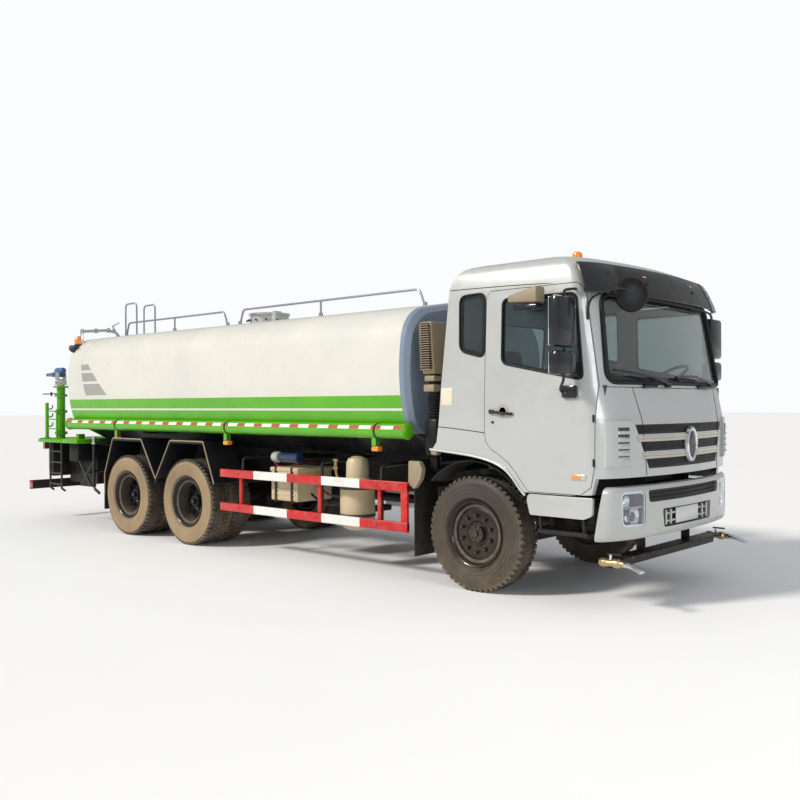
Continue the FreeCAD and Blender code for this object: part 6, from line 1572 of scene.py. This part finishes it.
# %% [markdown]
# ## Rails, hoops and the ladder behind the tank
# The handrail and the ladder are bent tubes. Bending one tube gives round corners and no seams,
# where separate rods would leave a mitre at each corner. The rungs are one rod and its copies.

# %% Bent handrail, hoops and rungs
def bent(points, radius, bend=0.06):
    """A straight-run tube whose corners are rounded off by a set length."""
    places = [Vector(point) for point in points]
    line = [places[0]]
    for before, here, after in zip(places, places[1:], places[2:]):
        back, on = (before - here), (after - here)
        line += [here + back.normalized() * min(bend, back.length / 2.1), here,
                 here + on.normalized() * min(bend, on.length / 2.1)]
    return tube(line + [places[-1]], radius)


RAIL_Y, RAIL_TOP, RAIL_FOOT, HOOP_Y = -0.35, 2.945, 2.755, 0.16
rails = Piece("rails_and_hoops", "chassis", "rail_steel")
for rear_x, front_x, post_x in ((-4.42, -1.25, -2.88), (-7.16, -4.68, -5.9)):
    run = [(rear_x, RAIL_Y, RAIL_FOOT), (rear_x + 0.07, RAIL_Y, RAIL_TOP), (front_x - 0.08, RAIL_Y, RAIL_TOP),
           (front_x, RAIL_Y, RAIL_FOOT)]
    rails.add(bent(run, 0.013, 0.09))
    for foot in (rear_x, post_x, front_x):
        rails.add(rod((foot, RAIL_Y, RAIL_FOOT - 0.01), (foot, RAIL_Y, RAIL_FOOT + 0.045), 0.024))
    rails.add(rod((post_x, RAIL_Y, RAIL_FOOT), (post_x, RAIL_Y, RAIL_TOP), 0.012))
for side in (1, -1):
    hoop = [(-7.19, side * HOOP_Y, 2.7), (-7.19, side * HOOP_Y, 3.27), (-7.5, side * HOOP_Y, 3.27),
            (-7.5, side * HOOP_Y, 1.5)]
    rails.add(bent(hoop, 0.013, 0.15))
    rails.add(rod((-7.5, side * HOOP_Y, 1.52), (-7.38, side * HOOP_Y, 1.52), 0.013))
rails.repeat(rod((-7.5, -HOOP_Y, 1.64), (-7.5, HOOP_Y, 1.64), 0.012), 5, step=(0, 0, 0.28))
rails.finish("tank_rails")

# %% [markdown]
# ## Fittings on the tank
# The manhole is held shut by clamps in a ring. Straps cross the side tubes and carry small lamps.
# At the rear top corner a silver pipe with a valve feeds the upper nozzle, beside a beacon and a
# horn. Small turned forms say what each fitting does better than plain rods would.

# %% Manhole clamps, straps, lamps and tube ends
top = Piece("manhole_clamps", "chassis", "cast_grey")
MANHOLE_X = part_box("manhole_neck")[0][0] / 2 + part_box("manhole_neck")[1][0] / 2 - AXLE_X
NECK_RADIUS = (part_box("manhole_neck")[1][1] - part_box("manhole_neck")[0][1]) / 2
pivot = (MANHOLE_X, 0, 0)
clamp = rod((MANHOLE_X + NECK_RADIUS - 0.006, 0, 2.815), (MANHOLE_X + NECK_RADIUS + 0.03, 0, 2.815), 0.012)
CLAMPS = 12
clamp = turned(clamp, math.pi / CLAMPS, "Z", pivot)
top.repeat(clamp, CLAMPS, turn=(0, 0, 2 * math.pi / CLAMPS), pivot=pivot)
top.finish()
for node in ("manhole_neck", "manhole_lid"):
    dress(node, "cab_silver")

STRAP_X, TUBE_Y, TUBE_Z, TUBE_ENDS = (-1.18, -3.6, -6.02), 1.16, 1.45, ((-0.78, 1), (-7.34, -1))
straps = Piece("tube_straps", "chassis", "satin_black")
for x in STRAP_X:
    straps.add(lathe([(0.077, -0.022), (0.081, -0.022), (0.081, 0.022), (0.077, 0.022)], (x, TUBE_Y, TUBE_Z),
                     "x", 40, closed=True))
    straps.add(rod((x, TUBE_Y + 0.02, TUBE_Z - 0.1), (x, TUBE_Y + 0.02, TUBE_Z - 0.165), 0.009), "cast_grey")
    straps.add(block((x - 0.045, TUBE_Y - 0.02, TUBE_Z - 0.205), (x + 0.045, TUBE_Y + 0.055, TUBE_Z - 0.155),
                     0.012), "lamp_amber")
END_CAP = ((0, 0.03), (0.05, 0.028), (0.072, 0.016), (0.084, 0.004), (0.084, -0.012), (0.0765, -0.014),
           (0, -0.012))
for x, out in TUBE_ENDS:
    cap = [(radius, out * place) for radius, place in END_CAP]
    straps.add(lathe(cap, (x, TUBE_Y, TUBE_Z), "x", 40), "body_green")
straps.mirror()
straps.finish()

# %% The pipe, valve, beacon and horn at the rear top
feed = Piece("rear_top_fittings", "chassis", "tank_alloy")
FEED_X = -7.25
feed.add(bent([(FEED_X, -0.98, 2.56), (FEED_X, -1.03, 2.66), (FEED_X, -1.02, 2.79), (FEED_X, -0.6, 2.83),
               (FEED_X + 0.04, -0.5, 2.8), (FEED_X + 0.08, -0.46, 2.72)], 0.022, 0.05))
for y, z in ((-1.02, 2.79), (-0.8, 2.812), (-0.6, 2.83)):
    feed.add(disc((FEED_X, y, z), "y", 0.036, 0.014, 24))
feed.add(lathe([(0, -0.03), (0.03, -0.026), (0.042, 0), (0.03, 0.03), (0.016, 0.036), (0.016, 0.09),
                (0, 0.09)], (FEED_X, -0.52, 2.82), "z", 24))
feed.add(rod((FEED_X, -0.52, 2.905), (FEED_X + 0.16, -0.52, 2.935), 0.009))
feed.add(rod((-7.3, -1.04, 2.46), (-7.3, -1.04, 2.6), 0.012), "cast_grey")
feed.add(rod((-7.3, -1.04, 2.475), (-7.24, -0.96, 2.44), 0.012), "cast_grey")
feed.add(lathe([(0, 0), (0.062, 0), (0.066, 0.02), (0.06, 0.085), (0.045, 0.112), (0.02, 0.124), (0, 0.126)],
               (-7.3, -1.04, 2.6), "z", 32), "lamp_amber")
feed.add(lathe([(0.068, 0.004), (0.068, -0.02), (0, -0.02), (0, 0.004)], (-7.3, -1.04, 2.6), "z", 32),
         "cast_grey")
horn = lathe([(0, 0.1), (0.02, 0.1), (0.024, 0.06), (0.034, 0.03), (0.058, 0.0), (0.062, -0.012),
              (0.055, -0.012), (0.03, 0.02), (0, 0.05)], (0, 0, 0), "x", 32)
feed.add(turned(horn, math.radians(-25), "Y", place=(-7.31, -1.13, 2.54)), "cast_grey")
feed.add(rod((-7.24, -1.13, 2.57), (-7.26, -1.0, 2.5), 0.012), "cast_grey")
feed.finish()

# %% [markdown]
# ## Side guards on bent hangers
# Two rails, painted in lengths of red and white, hang from the frame on bent black tubes. They end
# in an open rectangle by the front wheel. The rails are folded sheet with a lip along each edge.

# %% Guard rails, end frame and hangers
GUARD_REAR, GUARD_FRONT, GUARD_OUT = -3.67, -0.73, 1.238
guard = Piece("guards", "chassis", "guard_red")
for top_z in (0.965, 0.575):
    profile = ((GUARD_OUT - 0.036, top_z), (GUARD_OUT - 0.036, top_z - 0.095), (GUARD_OUT, top_z - 0.095),
               (GUARD_OUT, top_z))
    guard.add(slab(rounded(profile, 0.01, 3), "yz", GUARD_REAR, GUARD_FRONT, 0.003))
guard.add(block((GUARD_FRONT - 0.085, GUARD_OUT - 0.034, 0.5), (GUARD_FRONT, GUARD_OUT - 0.002, 0.94), 0.006))
for post_x in (-1.13, -2.0, -3.33):
    low, high = (post_x - 0.0225, GUARD_OUT - 0.06, 0.48), (post_x + 0.0225, GUARD_OUT - 0.034, 0.965)
    guard.add(block(low, high, 0.004))
    hanger = [(post_x, GUARD_OUT - 0.078, 0.5), (post_x, GUARD_OUT - 0.078, 1.1), (post_x, 0.43, 1.13)]
    guard.add(bent(hanger, 0.018, 0.1), "satin_black")
    for z in (0.53, 0.92):
        guard.add(rod((post_x, GUARD_OUT - 0.01, z), (post_x, GUARD_OUT + 0.004, z), 0.01, steps=6),
                  "cast_grey")
guard.mirror()
guard.finish("side_guards")

# %% [markdown]
# ## Wheel arches
# The arch over the front wheel has a black liner and a pale plate at its rear. The W-shaped rear
# mudguards get a pale rolled edge, which stiffens a thin sheet and catches the light.

# %% Front liner, rear plate and rolled edges
def arc_band(inner, outer, start, end, steps=28):
    turns = [math.radians(start + (end - start) * step / steps) for step in range(steps + 1)]
    return ([(outer * math.cos(turn), AXLE_Z + outer * math.sin(turn)) for turn in turns]
            + [(inner * math.cos(turn), AXLE_Z + inner * math.sin(turn)) for turn in reversed(turns)])


arch = Piece("arch_liner", "chassis", "plastic_black")
arch.add(slab(arc_band(0.66, 0.672, 44, 136), "xz", 0.86, 1.175))
REAR_PLATE = ((-0.735, 1.17), (-0.735, 0.95), (-0.66, 0.9), (-0.585, 1.0), (-0.56, 1.1), (-0.6, 1.17))
arch.add(slab(rounded(REAR_PLATE, 0.02, 3), "xz", 1.155, 1.21, 0.004), "edge_beige")
arch.mirror()
arch.finish()

edges = Piece("mudguard_edges", "chassis", "edge_beige")
W_LINE = ((-6.26, 0.5), (-6.26, 0.78), (-6.045, 1.272), (-5.355, 1.272), (-5.025, 0.775), (-4.695, 1.272),
          (-4.005, 1.272), (-3.79, 0.78))
edges.add(bent([(x, 1.238, z) for x, z in W_LINE], 0.009, 0.03))
edges.add(bent([(x, 1.222, z - 0.028) for x, z in W_LINE[1:]], 0.007, 0.03), "plastic_black")
edges.mirror()
edges.finish()

# %% [markdown]
# ## The raised air intake
# Behind the cab a tapered head with many slats draws clean air from high up, and a black block in
# each gap between the slats is painted shade. Below it come two narrow boxes and a ribbed hose that
# lets the cab tilt. The slats and ribs are each one form and its copies.

# %% Intake head, slats, hose and duct
INTAKE_X, INTAKE_Y = -0.56, -1.01
intake = Piece("intake", "chassis", "edge_beige")
head = block((-0.635, -1.125, 2.0), (-0.485, -0.895, 2.5), 0.018)
for vert in head.verts:
    rise = (vert.co.z - 2.0) / 0.5
    vert.co.x -= 0.03 * rise
    vert.co.y = INTAKE_Y + (vert.co.y - INTAKE_Y) * (1 - 0.12 * (1 - rise))
intake.add(head)
for low, high in (((-0.628, -1.15, 2.04), (-0.512, -1.1, 2.048)),
                  ((-0.68, -1.095, 2.04), (-0.62, -0.93, 2.048))):
    intake.repeat(block(low, high, 0.002), 20, step=(-0.0009, 0, 0.0222))
    # Black blocks set in the gaps above the slats are painted shade.
    shade_low = (low[0] + 0.008, low[1] + 0.014, low[2] + 0.008)
    intake.repeat(block(shade_low, (high[0] - 0.004, high[1], high[2] + 0.0142), 0.001), 20, "plastic_black",
                  step=(-0.0009, 0, 0.0222))
intake.add(block((-0.625, -1.1, 1.93), (-0.5, -0.92, 1.985), 0.012))
intake.add(rod((INTAKE_X, INTAKE_Y, 1.8), (INTAKE_X, INTAKE_Y, 2.02), 0.058), "plastic_black")
intake.add(block((-0.632, -1.105, 1.83), (-0.5, -0.915, 1.9), 0.012))
rib = lathe([(0.05, -0.012), (0.066, -0.01), (0.074, 0), (0.066, 0.01), (0.05, 0.012)],
            (INTAKE_X, INTAKE_Y, 1.6), "z", 32, closed=True)
intake.repeat(rib, 8, "rubber_black", step=(0, 0, 0.027))
intake.add(rod((INTAKE_X, INTAKE_Y, 1.56), (INTAKE_X, INTAKE_Y, 1.83), 0.052), "rubber_black")
intake.add(block((-0.64, -1.09, 1.2), (-0.48, -0.93, 1.58), 0.04), "plastic_black")
intake.add(bent([(INTAKE_X, INTAKE_Y, 1.3), (INTAKE_X, INTAKE_Y, 1.1), (INTAKE_X, -0.43, 1.1)], 0.055, 0.12),
           "plastic_black")
intake.add(block((-0.5, -1.16, 1.23), (-0.42, -1.08, 1.3), 0.015))
intake.finish("air_intake")

# %% [markdown]
# ## Equipment between the axles
# On the near side hang the battery box, a cream vessel, a small filter and a brass valve, joined by
# hoses. The vessel is turned, with domed ends, because it holds pressure.

# %% Battery box, vessel, filter and hoses
kit = Piece("equipment", "chassis", "equipment_cream")
kit.add(block((-2.93, -1.08, 0.64), (-2.48, -0.56, 0.985), 0.014))
kit.add(block((-2.94, -1.09, 0.965), (-2.47, -0.55, 1.012), 0.012))
for x in (-2.84, -2.57):
    kit.add(block((x - 0.018, -1.092, 0.62), (x + 0.018, -1.076, 1.018), 0.003), "satin_black")
    kit.add(block((x - 0.022, -1.102, 0.86), (x + 0.022, -1.088, 0.92), 0.004), "cast_grey")
kit.repeat(block((-2.9, -1.087, 0.66), (-2.51, -1.078, 0.675), 0.003), 3, step=(0, 0, 0.05))
kit.add(block((-2.92, -0.62, 0.6), (-2.49, -0.43, 0.78), 0.01), "chassis_black")
VESSEL = [(0, 0.385), (0.09, 0.392), (0.15, 0.42), (0.181, 0.47), (0.185, 0.53), (0.185, 0.8), (0.18, 0.86),
          (0.15, 0.92), (0.122, 0.945), (0.12, 1.0), (0.118, 1.1), (0.1, 1.14), (0.05, 1.165), (0, 1.17)]
kit.add(lathe(VESSEL, (-1.73, -0.9, 0), "z", 48))
for z in (0.55, 0.84):
    kit.add(lathe([(0.184, z - 0.016), (0.19, z - 0.016), (0.19, z + 0.016), (0.184, z + 0.016)],
                  (-1.73, -0.9, 0), "z", 48, closed=True), "cast_grey")
kit.add(block((-1.79, -0.73, 0.56), (-1.67, -0.43, 0.62), 0.01), "chassis_black")
kit.add(block((-1.79, -0.73, 0.82), (-1.67, -0.43, 0.86), 0.01), "chassis_black")
kit.add(lathe([(0, -0.16), (0.05, -0.158), (0.056, -0.14), (0.056, 0.08), (0.064, 0.085), (0.064, 0.12),
               (0.05, 0.13), (0, 0.13)], (-2.66, -1.0, 1.12), "x", 32), "filter_blue")
kit.add(lathe([(0, 0), (0.055, 0.004), (0.062, 0.02), (0.062, 0.085), (0.05, 0.1), (0, 0.104)],
              (-2.97, -1.0, 1.12), "x", 32), "cab_silver")
kit.add(rod((-2.97, -1.0, 1.12), (-2.9, -0.44, 1.12), 0.02), "chassis_black")
kit.add(rod((-2.66, -1.0, 1.12), (-2.62, -0.44, 1.12), 0.02), "chassis_black")
kit.add(tube([(-2.99, -0.99, 1.1), (-3.02, -0.95, 1.02), (-2.98, -0.8, 0.98), (-2.9, -0.6, 1.05),
              (-2.9, -0.44, 1.05)], 0.012), "hose_red")
kit.add(lathe([(0, -0.03), (0.028, -0.03), (0.028, 0.0), (0.018, 0.01), (0.018, 0.05), (0.03, 0.055),
               (0.03, 0.08), (0, 0.08)], (-1.98, -0.98, 1.05), "z", 20), "brass_fitting")
kit.add(tube([(-1.98, -0.98, 1.02), (-1.98, -0.96, 0.92), (-1.92, -0.93, 0.86), (-1.88, -0.92, 0.8)], 0.014),
        "brass_fitting")
kit.add(tube([(-1.98, -0.98, 1.12), (-1.98, -0.9, 1.2), (-1.99, -0.6, 1.18), (-2.0, -0.43, 1.12)], 0.012),
        "satin_black")
for start, end in (((-2.45, -0.9, 0.72), (-1.93, -0.95, 0.66)), ((-2.45, -0.8, 0.8), (-1.92, -0.85, 0.74))):
    low = Vector(start) / 2 + Vector(end) / 2 - Vector((0, 0, 0.12))
    kit.add(tube([start, low, end], 0.013), "rubber_black")
kit.finish("right_equipment")

# %% [markdown]
# ## The platform behind the tank
# A green deck with a low fence carries the cannon. Below it hang a black ladder, the pump boxes, the
# rear lamps and a drain pipe. The deck is a frame of folded edges with a ribbed floor inside, which
# drains water and stays light.

# %% Deck, fence, ladder and pipes
deck = Piece("platform", "chassis", "body_green")
DECK_LOW, DECK_TOP, OUT = 1.17, 1.23, 1.24
deck.add(block((-8.18, -OUT, DECK_LOW), (-7.44, OUT, DECK_TOP - 0.012), 0.006))
deck.repeat(block((-8.165, -1.22, DECK_TOP - 0.014), (-8.15, 1.22, DECK_TOP - 0.001), 0.003), 24,
            step=(0.03, 0, 0))
for side in (1, -1):
    low, high = span(side, 0.88, OUT)
    deck.add(block((-7.46, low, DECK_LOW), (-7.01, high, DECK_TOP), 0.006))
    deck.add(block((-7.3, side * 1.05 - 0.05, DECK_TOP - 0.01), (-7.22, side * 1.05 + 0.05, 1.3), 0.006))
    post, inner_post, hook = (-8.09, side * 1.14), (-7.79, side * 1.14), (-8.09, side * 1.05)
    deck.add(rod((*post, DECK_TOP - 0.01), (*post, 1.74), 0.026))
    deck.add(lathe([(0, 0.02), (0.024, 0.016), (0.028, 0.0), (0, 0)], (*post, 1.74), "z", 24))
    deck.add(lathe([(0, 0.012), (0.05, 0.012), (0.05, 0), (0, 0)], (*post, DECK_TOP - 0.002), "z", 24))
    for z in (1.4, 1.54, 1.66):
        deck.add(tube([(*post, z), (post[0], side * 1.07, z), (*hook, z + 0.03), (*hook, z + 0.06)], 0.01))
        deck.add(rod((*post, z - 0.03), (*inner_post, z - 0.03), 0.009))
    deck.add(rod((*inner_post, DECK_TOP - 0.01), (*inner_post, 1.66), 0.012))
for x in (-7.56, -7.9):
    deck.add(bent([(x, -1.185, DECK_LOW + 0.01), (x, -1.185, 0.5), (x, -1.13, 0.46)], 0.015, 0.03),
             "satin_black")
deck.repeat(rod((-7.9, -1.185, 0.56), (-7.56, -1.185, 0.56), 0.012), 4, "satin_black", step=(0, 0, 0.16))
deck.finish("rear_platform")

# %% Pipes, braces and boxes under the deck
under = Piece("rear_pipes_and_boxes", "chassis", "satin_black")
under.add(bent([(-6.7, -1.15, 1.25), (-6.7, -1.15, 0.55), (-6.56, -1.15, 0.49)], 0.02, 0.06))
under.add(lathe([(0, -0.05), (0.034, -0.05), (0.034, -0.03), (0.022, -0.025), (0.022, 0.025), (0.034, 0.03),
                 (0.034, 0.05), (0, 0.05)], (-6.7, -1.15, 1.22), "z", 24), "tank_alloy")
under.add(rod((-6.7, -1.15, 1.22), (-6.62, -1.2, 1.24), 0.008), "tank_alloy")
under.add(rod((-6.7, -1.15, 1.2), (-6.78, -0.56, 1.1), 0.016))
for start, end in (((-7.185, 0.9), (-6.905, 0.596)), ((-6.819, 0.913), (-7.131, 0.584))):
    under.add(rod((start[0], -1.1, start[1]), (end[0], -1.1, end[1]), 0.016))
under.add(rod((-7.02, -1.1, 0.74), (-7.02, -0.56, 0.8), 0.018))
under.add(block((-8.08, -1.12, 0.66), (-7.94, -0.84, 1.17), 0.012), "chassis_black")
under.add(block((-7.5, -1.1, 0.9), (-7.24, -0.84, 1.17), 0.012), "chassis_black")
under.add(block((-8.125, -1.1, 0.74), (-8.078, -0.88, 1.04), 0.01), "lamp_brown")
for y in (-1.05, 1.05):
    low, high = y - 0.06, y + 0.06
    under.add(block((-8.555, low, 0.47), (-8.538, high, 0.55), 0.006), "lamp_red")
under.repeat(rod((-8.545, -0.9, 0.51), (-8.536, -0.9, 0.51), 0.012, steps=6), 7, "cast_grey",
             step=(0, 0.3, 0))
under.add(block((-8.535, -1.207, 0.46), (-8.43, -1.198, 0.555), 0.003), "lamp_red")
under.finish()
dress("cannon_swivel", "tank_alloy")
dress("rear_lamps", "lamp_brown")

# %% [markdown]
# ## The water cannon
# The pedestal turns the pipe, a drum lets it tilt, and the blue barrel narrows to its nozzle. The
# parts that move ride on their own bodies: what turns on the swivel and what tilts on the barrel.

# %% Pedestal flanges, levers, drum and nozzle
stand = Piece("cannon_stand_fittings", "chassis", "body_green")
STAND, CROSS_Z = (-7.85, -1.04), 2.056
for z in (1.3, 1.62, 1.86):
    stand.add(disc((*STAND, z), "z", 0.092, 0.014))
    bolt_x = STAND[0] + 0.078
    bolt = rod((bolt_x, STAND[1], z + 0.012), (bolt_x, STAND[1], z + 0.026), 0.009, steps=6)
    stand.repeat(bolt, 8, "cast_grey", turn=(0, 0, math.pi / 4), pivot=(*STAND, z))
stand.add(rod((STAND[0] - 0.05, STAND[1], 1.892), (STAND[0] - 0.56, STAND[1], 1.892), 0.009), "satin_black")
stand.add(rod((STAND[0] - 0.3, STAND[1], 1.86), (STAND[0] - 0.3, STAND[1], 1.92), 0.014), "satin_black")
stand.finish()
turning = Piece("cannon_turning_fittings", "cannon_base", "tank_alloy")
for z in (2.03, 2.075):
    turning.add(disc((*STAND, z), "z", 0.085, 0.01))
turning.add(rod((STAND[0] - 0.105, STAND[1], CROSS_Z), (STAND[0] + 0.105, STAND[1], CROSS_Z), 0.028))
for along in (-0.1, 0.1):
    turning.add(disc((STAND[0] + along, STAND[1], CROSS_Z), "x", 0.037, 0.01, 24))
turning.finish()
barrel = Piece("cannon_barrel_dressed", "cannon", "cannon_blue")
TILT_AXIS = (STAND[1], 2.182)
barrel.add(lathe([(0, -0.03), (0.034, -0.03), (0.04, -0.1), (0.04, -0.16), (0.034, -0.17), (0.03, -0.3),
                  (0.024, -0.36), (0.026, -0.4), (0.02, -0.405), (0.014, -0.38), (0, -0.36)],
                 (STAND[0] - 0.015, *TILT_AXIS), "x", 32))
barrel.add(lathe([(0, -0.042), (0.03, -0.042), (0.042, -0.03), (0.042, 0.03), (0.03, 0.042), (0, 0.042)],
                 (STAND[0], *TILT_AXIS), "y", 32))
barrel.add(lathe([(0, -0.14), (0.04, -0.138), (0.048, -0.12), (0.048, 0.06), (0.04, 0.075), (0, 0.078)],
                 (STAND[0] + 0.01, TILT_AXIS[0], TILT_AXIS[1] + 0.052), "x", 32))
for along in (-0.1, -0.165):
    barrel.add(disc((STAND[0] - 0.015 + along, *TILT_AXIS), "x", 0.042, 0.008), "cast_grey")
barrel.finish("cannon_barrel")
